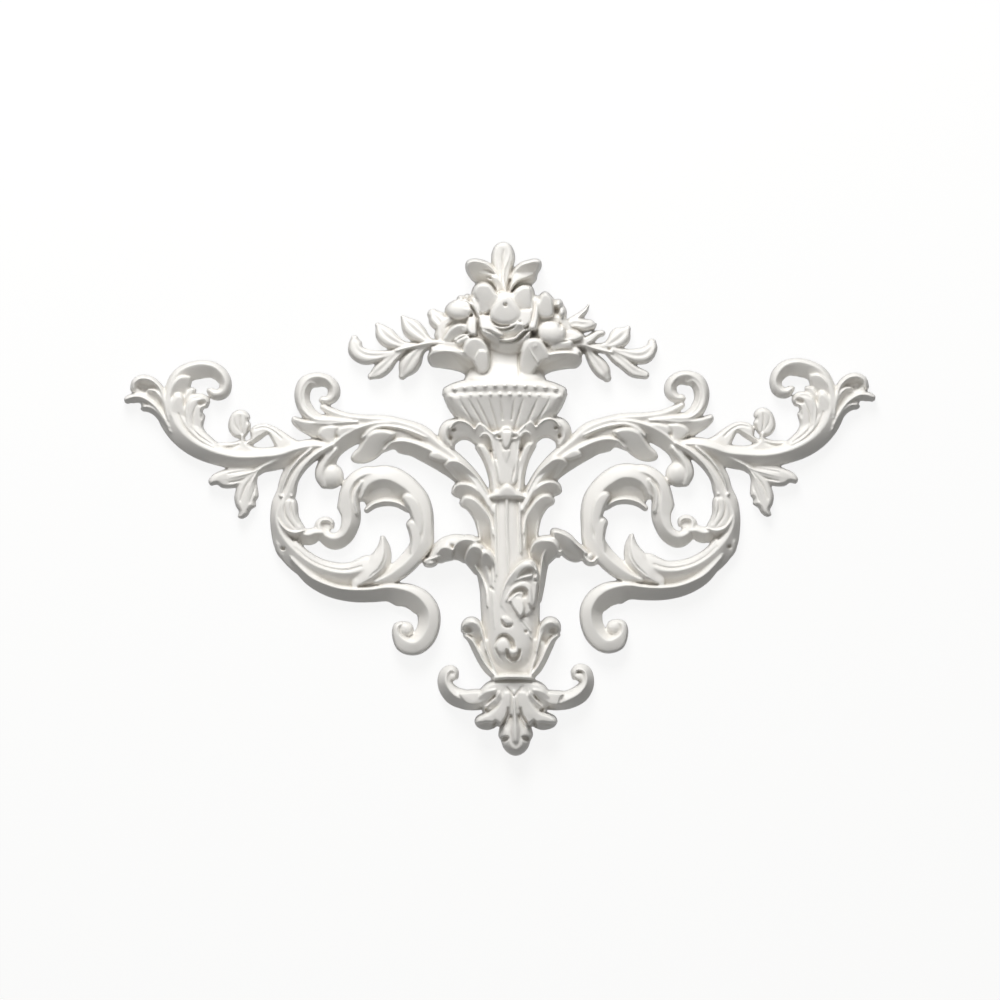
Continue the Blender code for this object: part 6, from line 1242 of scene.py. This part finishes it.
@dataclass(frozen=True)
class Calyx(Moulding):
    """Leaves and ring that close the drop."""

    crest: float = 35.5
    corner: Place = (460.0, 615.0)

    def drawn(self) -> Iterator[Form]:
        """The forms in drawing order."""
        yield Petal("calyx_base", [(21, 26), (40, 21), (65, 21), (84, 26), (85, 33), (80, 45), (70, 61.5),
            (37, 61.5), (26, 48), (20, 33)], 66.2, lean=(0, -0.1), bevel=(2, 2))
        yield Ridge("calyx_l", GENTLE, UNDER, [(5.5, 20.5, 1.6, 2.5, 67.6), (11.5, 24.5, 3, 4.5, 76.1),
            (18, 35.5, 3.5, 5.5, 81.7), (24, 47, 3.5, 5.5, 84.5), (30, 55, 3.5, 5.5, 85.9),
            (37, 62.5, 3, 4, 87.3)])
        yield Petal("calyx_face_l", [(2.5, 17), (5, 9), (10, 5), (17, 7), (21, 15), (24.5, 27), (27, 37),
            (22, 37), (17, 28), (12, 20.5)], 59.2, lean=(0.3, -0.75), bevel=(1, 1.2))
        yield Ridge("calyx_tip_l", ROUND, ROUND, [(2.8, 16, 2, 2, 62), (3.5, 9.5, 2.3, 2.3, 71.8),
            (8, 4.8, 2.6, 2.6, 76.1), (14.5, 4.5, 2.6, 2.6, 78.9), (20, 10.5, 2.4, 2.6, 81.7),
            (23, 21, 2.2, 2.6, 84.5), (26, 35, 2, 2.4, 85.9)])
        yield dent("calyx_hollow_l", 7.5, 14.5, 4.6, 3.2, 16.9, turn=10)
        yield Ridge("calyx_r", UNDER, GENTLE, [(98, 20, 2.5, 1.6, 67.6), (92.5, 23.5, 4.5, 3, 76.1),
            (87, 33, 5.5, 3.5, 81.7), (81.5, 45, 5.5, 3.5, 84.5), (76, 54, 5.5, 3.5, 85.9),
            (69, 62.5, 4, 3, 87.3)])
        yield Petal("calyx_face_r", [(99, 16.5), (97, 9), (91.5, 5), (84.5, 7.5), (80.5, 16), (77.5, 28),
            (76, 38), (81, 37), (85.5, 28), (90.5, 20.5)], 59.2, lean=(-0.3, -0.75), bevel=(1, 1.2))
        yield Ridge("calyx_tip_r", ROUND, ROUND, [(99, 15.5, 2, 2, 62), (98.3, 9, 2.3, 2.3, 71.8),
            (93.5, 4.5, 2.6, 2.6, 76.1), (87, 4.5, 2.6, 2.6, 78.9), (81.5, 10.5, 2.6, 2.4, 81.7),
            (78.5, 22, 2.6, 2.2, 84.5), (76, 36, 2.4, 2, 85.9)])
        yield dent("calyx_hollow_r", 93.8, 15, 4.6, 3.2, 16.9, turn=-10)
        yield line("calyx_in_l", [(19.5, 13, 1.3, 77.5), (23.5, 25, 1.7, 84.5), (27.3, 37, 1.8, 87.3),
            (32, 49, 1.8, 87.3), (37.5, 60, 1.6, 87.3)])
        yield line("calyx_in_r", [(83.5, 13, 1.3, 77.5), (80, 25, 1.7, 84.5), (77, 37, 1.8, 87.3),
            (73, 49, 1.8, 87.3), (68.5, 60, 1.6, 87.3)])
        yield Ridge("ring", FULL, FULL, [(35.5, 61.5, 4, 5, 93), (45, 60.5, 4, 5.5, 98.6),
            (53, 60.3, 4, 5.5, 100), (61, 60.5, 4, 5.5, 98.6), (70.5, 61.5, 4, 5, 93)])


@dataclass(frozen=True)
class Pendant(Moulding):
    """Pendant with side scrolls, lobes and a tongue."""

    crest: float = 31.0
    corner: Place = (445.0, 665.0)

    def drawn(self) -> Iterator[Form]:
        """The forms in drawing order."""
        yield Petal("pend_base", [(41, 34), (52, 31), (87, 31), (98, 34), (101, 46), (92, 51), (80, 60),
            (69.5, 66), (59, 60), (48, 51), (38, 46)], 54.8)
        yield Petal("pend_core", [(52, 27), (86, 27), (83, 41), (76.5, 47.5), (69, 51), (62, 47.5),
            (55.5, 41)], 88.7, lean=(0, -0.1), bevel=(2, 2))
        yield Petal("shoulder", [(36, 27), (40, 21), (47, 16.5), (58, 15), (69, 14.8), (81, 15), (92, 17),
            (99, 21.5), (102, 27), (95, 29), (85, 31), (69, 33), (54, 31), (44, 29)],
            91.9, lean=(0, -0.05), bevel=(2.5, 3))
        yield Ridge("pend_l", UNDER, GENTLE, [(54, 25, 4, 5, 87.1), (46, 30, 7, 7, 83.9),
            (38, 35.5, 9, 10, 80.6), (30, 38.5, 7, 13, 77.4), (23, 37, 8.5, 12, 74.2),
            (17, 34, 10, 10.5, 72.6), (9, 29.5, 10.5, 8.5, 71), (3, 22.5, 9.5, 7, 67.7),
            (0.3, 15, 8, 5.5, 66.1), (1.5, 8, 6.5, 4.5, 62.9), (6, 4.2, 4.5, 3.5, 59.7),
            (10.3, 6.5, 3.6, 2.8, 56.5), (11, 12, 2.8, 2.4, 53.2)])
        yield Ridge("pend_r", GENTLE, UNDER, [(85, 25, 5, 4, 87.1), (93, 30, 7, 7, 83.9),
            (101.5, 35.5, 9, 9, 80.6), (110, 39, 12, 6.5, 77.4), (117, 37, 11, 8.5, 74.2),
            (125, 33.5, 9, 10, 72.6), (134, 28, 8, 10.5, 71), (140, 20.5, 6.5, 9, 67.7),
            (142, 12.5, 5, 7, 66.1), (139.5, 5.5, 4, 6, 62.9), (134, 3.5, 3, 5, 59.7),
            (129.5, 6.5, 2.8, 4, 56.5), (129.5, 12, 2.4, 3, 53.2)])
        yield Petal("arm_leaf_l", [(14, 28), (23, 26), (36, 26), (38, 31), (32, 36.5), (27.5, 39.3),
            (22, 38), (17.5, 34)], 80.6, lean=(0, 0.05), bevel=(1, 1.5))
        yield Petal("arm_leaf_r", [(99, 27), (110, 26.5), (119, 28), (115.5, 32.5), (113, 38.3),
            (107, 39.5), (102, 37), (98.5, 32)], 80.6, lean=(0, 0.05), bevel=(1, 1.5))
        yield Dome("pend_eye_l", 6.8, 11.5, 5, 5, 53.2, foot=0.85)
        yield Dome("pend_eye_r", 134.3, 11.5, 5, 5, 53.2, foot=0.85)
        yield Petal("arm_root_l", [(32, 33), (36, 27.5), (43, 24), (52, 23), (48.5, 30.5), (43, 36.5),
            (39, 42), (35, 40), (32.5, 37)], 82.3, lean=(0, -0.6))
        yield line("strip_l", [(56.5, 22, 1.4, 96.8), (51.5, 30.5, 1.6, 96.1), (45.5, 37, 1.6, 92.9),
            (40, 42, 1.4, 85.5)])
        yield Petal("strip_face_l", [(54.5, 25), (57, 32), (53, 39), (47, 44.5), (41.5, 45), (43.5, 39.5),
            (49, 34)], 83.9, lean=(0.1, -0.55))
        yield dent("strip_dark_l", 41.5, 44, 1.6, 2.4, 11.3, turn=-30)
        yield Petal("arm_root_r", [(106, 33), (102, 27.5), (96, 24), (87, 23), (90.5, 30.5), (95.5, 36.5),
            (99.5, 42), (103.5, 40), (106, 37)], 82.3, lean=(0, -0.6))
        yield line("strip_r", [(82.5, 22, 1.4, 96.8), (87.5, 30.5, 1.6, 96.1), (93, 37, 1.6, 92.9),
            (98, 42, 1.4, 85.5)])
        yield Petal("strip_face_r", [(84.5, 25), (82, 32), (85.5, 39), (91.5, 44.5), (97, 45), (95, 39.5),
            (89.5, 34)], 83.9, lean=(-0.1, -0.55))
        yield dent("strip_dark_r", 97, 44, 1.6, 2.4, 11.3, turn=30)
        yield Petal("lobe_l", [(31, 57), (32.5, 52.5), (39, 49), (47, 46), (54, 38), (58, 27), (66, 25),
            (66.5, 39), (63.5, 49), (59.5, 56), (56, 59.5), (52, 56), (48.5, 57.3), (42, 56.8),
            (36, 57.8), (32, 57.5)], 90.3, lean=(0.04, -0.08), bevel=(2, 2.5))
        yield Petal("lobe_l_under", [(30.8, 57), (36, 56.5), (42, 56), (49, 56.5), (56, 57.5), (56, 62),
            (52, 61), (48.5, 63.7), (42.5, 65.5), (36, 64.3), (32, 61.5)],
            40.3, lean=(0, -1.7), bevel=(0.6, 0.6))
        yield line("lobe_l_up", [(59.5, 25, 1.5, 97.7), (58, 34, 1.6, 96.8), (53, 41.5, 1.7, 93.5),
            (46, 46.5, 1.7, 88.7), (37.5, 50, 1.5, 79)])
        yield dent("lobe_cut_l", 49.5, 58, 1.4, 4, 19.4, turn=18)
        yield groove("lobe_groove_l", [(63, 42, 0.9, 9.7), (62.5, 49, 1.4, 19.4), (59, 56, 1.6, 22.6),
            (56, 62, 1.4, 16.1)])
        yield Petal("lobe_r", [(111, 57), (109.5, 52.5), (103, 49), (95, 46), (87.5, 38), (82.5, 27),
            (73, 25), (72.5, 39), (75.5, 49), (80, 56), (83.5, 59.5), (87.5, 56), (91.5, 57.3),
            (98, 56.8), (104.5, 57.8), (109.5, 57.5)], 90.3, lean=(-0.04, -0.08), bevel=(2, 2.5))
        yield Petal("lobe_r_under", [(111, 57), (104.5, 56.5), (98, 56), (91, 56.5), (83.5, 57.5),
            (83.5, 62), (87.5, 61), (91.5, 63.7), (97.5, 65.5), (104.5, 64.3), (109.5, 61.5)],
            40.3, lean=(0, -1.7), bevel=(0.6, 0.6))
        yield line("lobe_r_up", [(80, 25, 1.5, 97.7), (81.5, 34, 1.6, 96.8), (86.5, 41.5, 1.7, 93.5),
            (93.5, 46.5, 1.7, 88.7), (103, 50, 1.5, 79)])
        yield dent("lobe_cut_r", 89.5, 57.5, 1.4, 4, 19.4, turn=-18)
        yield groove("lobe_groove_r", [(75.5, 42, 0.9, 9.7), (76.5, 49, 1.4, 19.4), (80.3, 56, 1.6, 22.6),
            (83.8, 62, 1.4, 16.1)])
        yield Petal("tongue", [(65, 35), (74, 35), (76.5, 47), (82, 57), (86, 63.5), (87.5, 70),
            (85, 75.5), (82.8, 82), (77.5, 88), (70.7, 90.3), (64, 88), (58.8, 82.3), (56.5, 76),
            (54, 70.5), (55, 63.5), (59, 57), (63, 47)], 82.3, bevel=(7.5, 12))
        yield Ridge("tongue_mid", GENTLE, GENTLE, [(69, 25, 4.5, 4.5, 98.4), (69.5, 40, 4, 4, 100),
            (70, 53, 4.5, 4.5, 100), (70.3, 64, 7, 7, 99.4), (70.5, 74, 6.5, 6.5, 96.1)])
        yield line("tongue_in_l", [(65.5, 43, 1.1, 96.8), (63.5, 52, 1.3, 95.2), (58.8, 62.5, 1.2, 87.1)])
        yield line("tongue_in_r", [(73.8, 43, 1.1, 96.8), (76.5, 52, 1.3, 95.2), (82, 62.5, 1.2, 87.1)])
        yield groove("tongue_cut_l", [(65.5, 43, 0.8, 6.5), (63.5, 52, 1.1, 12.9),
            (59.5, 62.5, 0.9, 9.7)])
        yield groove("tongue_cut_r", [(74, 43, 0.8, 6.5), (76.5, 52, 1.1, 12.9), (81, 62.5, 0.9, 9.7)])
        yield dent("notch_l", 59.5, 73.3, 4.2, 2.3, 32.3, turn=-22)
        yield dent("notch_r", 81.3, 72.8, 4.2, 2.3, 32.3, turn=22)
        yield groove("v_l", [(61.5, 21.5, 0.8, 5.2), (65.5, 26, 0.9, 7.1), (69, 30.5, 0.8, 6.5)])
        yield groove("v_r", [(77.5, 20.5, 0.8, 5.2), (73, 26, 0.9, 7.1), (69, 30.5, 0.8, 6.5)])


MOULDINGS = (
    Wing(),
    WingFlower(),
    WingTwig(),
    HangingLeaves(),
    Volute(),
    TongueLeaf(),
    Arch(),
    RoundScroll(),
    SideLeaves(),
    Stem(),
    Capital(),
    CapitalLeaves(),
    Bowl(),
    Neck(),
    Flowers(),
    Sprigs(),
    Crest(),
    DropCarving(),
    Calyx(),
    Pendant(),
)


@dataclass(frozen=True)
class Relief:
    """The whole relief as heights on a grid over the sheet."""

    pitch: float = PITCH

    def axes(self) -> tuple[np.ndarray, np.ndarray]:
        """Places of the grid's columns and rows on the sheet."""
        left, top, right, bottom = SHEET
        step = self.pitch
        return np.arange(left, right + step, step), np.arange(top, bottom + step, step)

    def heights(self, forms: list[Form]) -> np.ndarray:
        """The highest form at every place, less the cuts made in it, softened at the end.

        A form that comes after a cut stands over it. Gaps narrower than FILLET are filled before the cuts.

        Args:
            forms: Forms in millimetres, in drawing order.

        Returns:
            Heights by row and column.
        """
        xs, ys = self.axes()
        raised = np.full((len(ys), len(xs)), FLOOR)
        depth = np.zeros(raised.shape)
        for form in forms:
            log.debug("working out %s", form.name)
            left, top, right, bottom = form.reach()
            across = slice(*np.searchsorted(xs, (left, right)))
            down = slice(*np.searchsorted(ys, (top, bottom)))
            part = form.heights(*np.meshgrid(xs[across], ys[down]))
            here, below = raised[down, across], depth[down, across]
            if form.cut:
                most = np.maximum(here - DEEPEST_CUT, 0.0)
                np.maximum(below, np.clip(below + part, 0.0, most), out=below)
            else:
                np.maximum(here, part, out=here)
                below[:] = np.clip(below, 0.0, here - part)
        reach = round(FILLET / 2 / self.pitch)
        closed = -highest(-highest(raised, reach), reach)
        return blur(closed - depth, SOFTENING / self.pitch)


def highest(values: np.ndarray, reach: int) -> np.ndarray:
    """The highest value within a reach of grid steps, along the rows and then along the columns."""
    for axis in (0, 1):
        edges = [(reach, reach) if axis == side else (0, 0) for side in (0, 1)]
        padded = np.pad(values, edges, mode="edge")
        count = values.shape[axis]
        moved = [np.take(padded, range(i, i + count), axis=axis) for i in range(2 * reach + 1)]
        values = np.max(moved, axis=0)
    return values


def blur(values: np.ndarray, radius: float) -> np.ndarray:
    """Gaussian mean over neighbours, first along the rows and then along the columns.

    Args:
        values: Values by row and column.
        radius: Standard deviation in grid steps.

    Returns:
        Blurred values of the same shape.
    """
    reach = max(1, math.ceil(3 * radius))
    weights = np.exp(-0.5 * (np.arange(-reach, reach + 1) / radius) ** 2)
    weights /= weights.sum()
    for axis in (0, 1):
        edges = [(reach, reach) if axis == side else (0, 0) for side in (0, 1)]
        padded = np.pad(values, edges, mode="edge")
        count = values.shape[axis]
        values = sum(w * np.take(padded, range(i, i + count), axis=axis) for i, w in enumerate(weights))
    return values


def cut_at_back(points: np.ndarray, triangles: np.ndarray) -> tuple[np.ndarray, np.ndarray]:
    """Keeps what stands in front of the back plane y = 0, splits what crosses it, and closes the back.

    A crossing point divides its edge by the depths of its two ends, and both triangles on the edge
    share it. The back is the front's own triangles laid flat on the plane and turned over, so that the two
    meet at the rim.

    Args:
        points: Rows (x, y, z), with -y in front.
        triangles: Corners of each triangle.

    Returns:
        The points and triangles of the closed casting.
    """
    front = points[:, 1] < 0
    count = front[triangles].sum(axis=1)
    turn = np.arange(3)
    lone_front, lone_back = triangles[count == 1], triangles[count == 2]
    lone_front = np.take_along_axis(lone_front, (np.argmax(front[lone_front], 1)[:, None] + turn) % 3, 1)
    lone_back = np.take_along_axis(lone_back, (np.argmin(front[lone_back], 1)[:, None] + turn) % 3, 1)
    crossed = np.concatenate([lone_front, lone_back])
    edges = np.sort(np.concatenate([crossed[:, [0, 1]], crossed[:, [0, 2]]]), axis=1)
    ends, number = np.unique(edges, axis=0, return_inverse=True)
    a, b = points[ends[:, 0]], points[ends[:, 1]]
    rim = a + (b - a) * (a[:, 1] / (a[:, 1] - b[:, 1]))[:, None]
    second, third = len(points) + number.reshape(2, -1)
    m = len(lone_front)
    faces = np.concatenate([
        triangles[count == 3],
        np.stack([lone_front[:, 0], second[:m], third[:m]], axis=1),
        np.stack([second[m:], lone_back[:, 1], lone_back[:, 2]], axis=1),
        np.stack([second[m:], lone_back[:, 2], third[m:]], axis=1),
    ])
    used, faces = np.unique(faces, return_inverse=True)
    faces = faces.reshape(-1, 3)
    shell = np.concatenate([points, rim])[used]
    inner = used < len(points)
    shell[~inner, 1] = 0.0
    laid = shell[inner] * (1.0, 0.0, 1.0)
    behind = np.arange(len(shell))
    behind[inner] = len(shell) + np.arange(len(laid))
    return np.concatenate([shell, laid]), np.concatenate([faces, behind[faces][:, ::-1]])


def mesh_from(name: str, points: np.ndarray, triangles: np.ndarray) -> bpy.types.Mesh:
    """A mesh from whole arrays of points and triangles."""
    mesh = bpy.data.meshes.new(name)
    mesh.vertices.add(len(points))
    mesh.vertices.foreach_set("co", points.astype(np.float32).ravel())
    mesh.loops.add(triangles.size)
    mesh.loops.foreach_set("vertex_index", triangles.astype(np.int32).ravel())
    mesh.polygons.add(len(triangles))
    mesh.polygons.foreach_set("loop_start", np.arange(0, triangles.size, 3, dtype=np.int32))
    mesh.update(calc_edges=True)
    return mesh


@dataclass(frozen=True)
class WhitePaint:
    """Satin white primer: warm white with painted shade in its hollows, and the fine grain of sprayed
    paint.
    """

    colour: tuple[float, float, float, float] = (0.87, 0.852, 0.815, 1.0)
    # painted shade: the colour the paint is darkened to in hollows, where shade falls
    painted_shade: tuple[float, float, float, float] = (0.68, 0.65, 0.60, 1.0)
    roughness: float = 0.5
    grain: float = 0.0009  # size of the paint's grain in metres
    grain_detail: float = 3.0
    depth: float = 0.00004  # height of the grain in metres
    bump: float = 0.5  # strength of the grain's bump

    def material(self, name: str) -> bpy.types.Material:
        """Builds the paint.

        Args:
            name: Name of the material.

        Returns:
            A material that reads Object coordinates and the piece's own hollow attribute, which paints
            shade into the hollows.
        """
        made = bpy.data.materials.new(name)
        made.use_nodes = True
        nodes, links = made.node_tree.nodes, made.node_tree.links
        shader = nodes["Principled BSDF"]
        shader.inputs["Roughness"].default_value = self.roughness
        place = nodes.new("ShaderNodeTexCoord")
        hollow = nodes.new("ShaderNodeAttribute")
        hollow.attribute_name = "hollow"
        # painted shade: the base colour goes towards the shade colour where the hollow attribute is high
        mix = nodes.new("ShaderNodeMix")
        mix.data_type = "RGBA"
        mix.inputs["A"].default_value = self.colour
        mix.inputs["B"].default_value = self.painted_shade
        links.new(hollow.outputs["Fac"], mix.inputs["Factor"])
        links.new(mix.outputs["Result"], shader.inputs["Base Color"])
        grain = nodes.new("ShaderNodeTexNoise")
        grain.inputs["Scale"].default_value = 1.0 / self.grain
        grain.inputs["Detail"].default_value = self.grain_detail
        links.new(place.outputs["Object"], grain.inputs["Vector"])
        bump = nodes.new("ShaderNodeBump")
        bump.inputs["Strength"].default_value = self.bump
        bump.inputs["Distance"].default_value = self.depth
        links.new(grain.outputs["Fac"], bump.inputs["Height"])
        links.new(bump.outputs["Normal"], shader.inputs["Normal"])
        return made


@dataclass
class Casting:
    """The applique itself: one closed piece that takes the place of the solid."""

    name: str = "applique_casting"
    node: str = "applique"
    paint: WhitePaint = WhitePaint()
    # painted shade in hollows: how the hollow attribute is worked out
    hollow_reach: float = 2.6  # radius in millimetres over which a hollow is felt
    hollow_full: float = 2.2  # depth in millimetres at which a hollow is fully shaded
    hollow_fade: float = 9.0  # millimetres of height over which hollows come in
    hollow_starts: float = 0.4  # share of that height up to which no hollow is shaded
    flat_within: float = 0.05  # millimetres from the back plane that count as on it

    def build(self) -> bpy.types.Object:
        """Works out the relief, cuts and closes it at the back, thins it and dresses it.

        Returns:
            The finished piece, at the origin, with its place in its mesh.
        """
        forms = [form for moulding in MOULDINGS for form in moulding.forms()]
        grid = Relief()
        xs, ys = grid.axes()
        heights = grid.heights(forms)
        log.info("relief of %d forms on %d by %d places", len(forms), len(xs), len(ys))
        x, y = np.meshgrid(xs - FIXING[0], FIXING[1] - ys)
        points = np.stack([x, -heights, y], axis=-1).reshape(-1, 3) * MM
        sheet = mesh_from(self.name, *cut_at_back(points, grid_triangles(x.shape)))
        piece = self.thinned(sheet)
        self.flatten_back(piece.data)
        self.paint_hollow_shade(piece.data, grid, heights)
        self.dress(piece)
        return piece

    def thinned(self, sheet: bpy.types.Mesh) -> bpy.types.Object:
        """The sheet as an object with far fewer triangles, most of them where it is carved."""
        rough = bpy.data.objects.new(self.name, sheet)
        bpy.context.scene.collection.objects.link(rough)
        thin = rough.modifiers.new("thin", "DECIMATE")
        thin.ratio = min(1.0, FACES / len(sheet.polygons))
        done = bpy.data.meshes.new_from_object(rough.evaluated_get(bpy.context.evaluated_depsgraph_get()))
        rough.modifiers.clear()
        rough.data = done
        bpy.data.meshes.remove(sheet)
        done.name = self.name
        return rough

    def flatten_back(self, mesh: bpy.types.Mesh) -> None:
        """Sets all that lies on the back plane exactly on it, with its faces flat and all others smooth."""
        places = np.empty(3 * len(mesh.vertices), np.float32)
        mesh.vertices.foreach_get("co", places)
        places = places.reshape(-1, 3)
        places[places[:, 1] > -self.flat_within * MM, 1] = 0.0
        mesh.vertices.foreach_set("co", places.ravel())
        corners = np.empty(3 * len(mesh.polygons), np.int32)
        mesh.loops.foreach_get("vertex_index", corners)
        depth = places[corners.reshape(-1, 3), 1].min(axis=1)
        mesh.polygons.foreach_set("use_smooth", depth < 0.0)
        mesh.update()

    def paint_hollow_shade(self, mesh: bpy.types.Mesh, grid: Relief, heights: np.ndarray) -> None:
        """Stores painted shade for each vertex: how deep it lies below the relief around it, from 0 to 1.

        The depth is the wide mean of the heights less the height itself, read at the vertex's grid place.
        It fades out towards the back plane, so that no line is drawn round the outline.
        """
        xs, ys = grid.axes()
        ground = np.maximum(heights, 0.0)
        deep = blur(ground, self.hollow_reach / grid.pitch) - ground
        deep *= np.clip(ground / self.hollow_fade - self.hollow_starts, 0.0, 1.0)
        places = np.empty(3 * len(mesh.vertices), np.float32)
        mesh.vertices.foreach_get("co", places)
        places = places.reshape(-1, 3) / MM
        column = np.rint((places[:, 0] + FIXING[0] - xs[0]) / grid.pitch).astype(int)
        row = np.rint((FIXING[1] - places[:, 2] - ys[0]) / grid.pitch).astype(int)
        hollow = deep[np.clip(row, 0, len(ys) - 1), np.clip(column, 0, len(xs) - 1)]
        hollow = np.clip(hollow / self.hollow_full, 0.0, 1.0)
        # painted shade: the paint is darkened by this much where the vertex lies in a hollow
        mesh.attributes.new("hollow", "FLOAT", "POINT").data.foreach_set("value", hollow.astype(np.float32))

    def dress(self, piece: bpy.types.Object) -> None:
        """Paints the piece, lets it ride on the frame and stand for the solid."""
        piece.data.materials.append(self.paint.material("white_paint"))
        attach(piece, "root")
        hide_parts(self.node)


def grid_triangles(shape: tuple[int, int]) -> np.ndarray:
    """Two triangles for each cell of a grid, facing the front."""
    number = np.arange(shape[0] * shape[1]).reshape(shape)
    a, b, c, d = number[:-1, :-1], number[1:, :-1], number[1:, 1:], number[:-1, 1:]
    return np.concatenate([np.stack([a, b, c], -1).reshape(-1, 3), np.stack([a, c, d], -1).reshape(-1, 3)])


@dataclass(frozen=True)
class PaleGround:
    """Ground that looks nearly white, takes soft shadows, lights little, and is clear from behind."""

    colour: tuple[float, float, float, float] = (0.12, 0.12, 0.12, 1.0)
    glow: tuple[float, float, float, float] = (1.0, 1.0, 0.995, 1.0)
    glow_seen: float = 0.88  # strength of the glow as it is seen
    glow_felt: float = 0.12  # strength of the glow as it lights the casting

    def material(self, name: str) -> bpy.types.Material:
        """Builds the ground's material under a name."""
        made = bpy.data.materials.new(name)
        made.use_nodes = True
        nodes, links = made.node_tree.nodes, made.node_tree.links
        shader = nodes["Principled BSDF"]
        shader.inputs["Base Color"].default_value = self.colour
        shader.inputs["Roughness"].default_value = 1.0
        shader.inputs["Specular IOR Level"].default_value = 0.0
        shader.inputs["Emission Color"].default_value = self.glow
        path = nodes.new("ShaderNodeLightPath")
        seen = nodes.new("ShaderNodeMath")
        seen.operation = "MAXIMUM"
        strength = nodes.new("ShaderNodeMapRange")
        strength.inputs["To Min"].default_value = self.glow_felt
        strength.inputs["To Max"].default_value = self.glow_seen
        links.new(path.outputs["Is Camera Ray"], seen.inputs[0])
        links.new(path.outputs["Is Glossy Ray"], seen.inputs[1])
        links.new(seen.outputs["Value"], strength.inputs["Value"])
        links.new(strength.outputs["Result"], shader.inputs["Emission Strength"])
        clear = nodes.new("ShaderNodeBsdfTransparent")
        behind = nodes.new("ShaderNodeNewGeometry")
        mix = nodes.new("ShaderNodeMixShader")
        links.new(behind.outputs["Backfacing"], mix.inputs["Fac"])
        links.new(shader.outputs["BSDF"], mix.inputs[1])
        links.new(clear.outputs["BSDF"], mix.inputs[2])
        links.new(mix.outputs["Shader"], nodes["Material Output"].inputs["Surface"])
        return made


@dataclass(frozen=True)
class Panel:
    """A flat stage panel: its centre, and the ways from there to its right and upper edges, in metres."""

    name: str
    centre: tuple[float, float, float]
    across: tuple[float, float, float]
    up: tuple[float, float, float]

    def build(self, ground: PaleGround) -> None:
        """Sets the panel up as part of the stage."""
        centre, across, up = Vector(self.centre), Vector(self.across), Vector(self.up)
        corners = [centre - across - up, centre + across - up, centre + across + up, centre - across + up]
        mesh = bpy.data.meshes.new(self.name)
        mesh.from_pydata([corner[:] for corner in corners], [], [(0, 1, 2, 3)])
        mesh.materials.append(ground.material(self.name))
        panel = bpy.data.objects.new(self.name, mesh)
        bpy.context.scene.collection.objects.link(panel)


@dataclass(frozen=True)
class Lamp:
    """A soft square lamp: its place and aim in metres, the length of its side and its power in watts."""

    name: str
    place: tuple[float, float, float]
    aim: tuple[float, float, float]
    size: float
    power: float

    def build(self) -> None:
        """Hangs the lamp and turns it to its aim."""
        lamp = bpy.data.lights.new(self.name, "AREA")
        lamp.size = self.size
        lamp.energy = self.power
        holder = bpy.data.objects.new(self.name, lamp)
        holder.location = self.place
        holder.rotation_euler = (Vector(self.aim) - Vector(self.place)).to_track_quat("-Z", "Y").to_euler()
        bpy.context.scene.collection.objects.link(holder)


@dataclass(frozen=True)
class Studio:
    """Wall, floor, lights and camera round the piece."""

    ground: PaleGround = PaleGround()
    panels: tuple[Panel, ...] = (
        Panel("wall", centre=(0.0, 0.004, 0.0), across=(3.0, 0.0, 0.0), up=(0.0, 0.0, 3.0)),
        Panel("floor", centre=(0.0, -1.5, -1.2), across=(3.0, 0.0, 0.0), up=(0.0, 1.5, 0.0)),
    )
    lamps: tuple[Lamp, ...] = (
        Lamp("top_light", place=(-0.3, -1.75, 2.1), aim=(0.0, 0.0, -0.05), size=1.2, power=78.0),
        Lamp("front_light", place=(-0.6, -3.2, 0.9), aim=(0.0, 0.0, 0.0), size=1.6, power=10.0),
    )
    air: tuple[float, float, float, float] = (1.0, 0.985, 0.955, 1.0)
    air_strength: float = 0.15
    frame_width: float = 1.0  # what the picture takes in, in metres
    distance: float = 6.0  # from the lens to the back plane, in metres
    sensor: float = 36.0  # width of the camera's sensor in millimetres
    aim: tuple[float, float] = (500.0, 500.0)  # the sheet place in the middle of the picture

    def camera(self) -> None:
        """A long lens straight in front, so that one sheet millimetre is one thousandth of the picture."""
        lens = bpy.data.cameras.new("front_camera")
        lens.sensor_width = self.sensor
        lens.lens = lens.sensor_width * self.distance / self.frame_width
        eye = bpy.data.objects.new("front_camera", lens)
        eye.location = ((self.aim[0] - FIXING[0]) * MM, -self.distance, (FIXING[1] - self.aim[1]) * MM)
        eye.rotation_euler = (math.radians(90.0), 0.0, 0.0)
        bpy.context.scene.collection.objects.link(eye)
        bpy.context.scene.camera = eye

    def build(self) -> None:
        """Sets up the stage."""
        for panel in self.panels:
            panel.build(self.ground)
        for lamp in self.lamps:
            lamp.build()
        world = bpy.data.worlds.new("studio")
        world.use_nodes = True
        world.node_tree.nodes["Background"].inputs["Color"].default_value = self.air
        world.node_tree.nodes["Background"].inputs["Strength"].default_value = self.air_strength
        bpy.context.scene.world = world
        bpy.context.scene.view_settings.view_transform = "Standard"
        self.camera()


def main() -> None:
    """Loads the frame, builds the casting and the studio."""
    logging.basicConfig(level=logging.INFO, format="%(name)s: %(message)s")
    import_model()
    piece = Casting().build()
    log.info("%s: %d faces", piece.name, len(piece.data.polygons))
    Studio().build()


if __name__ == "__main__":
    main()
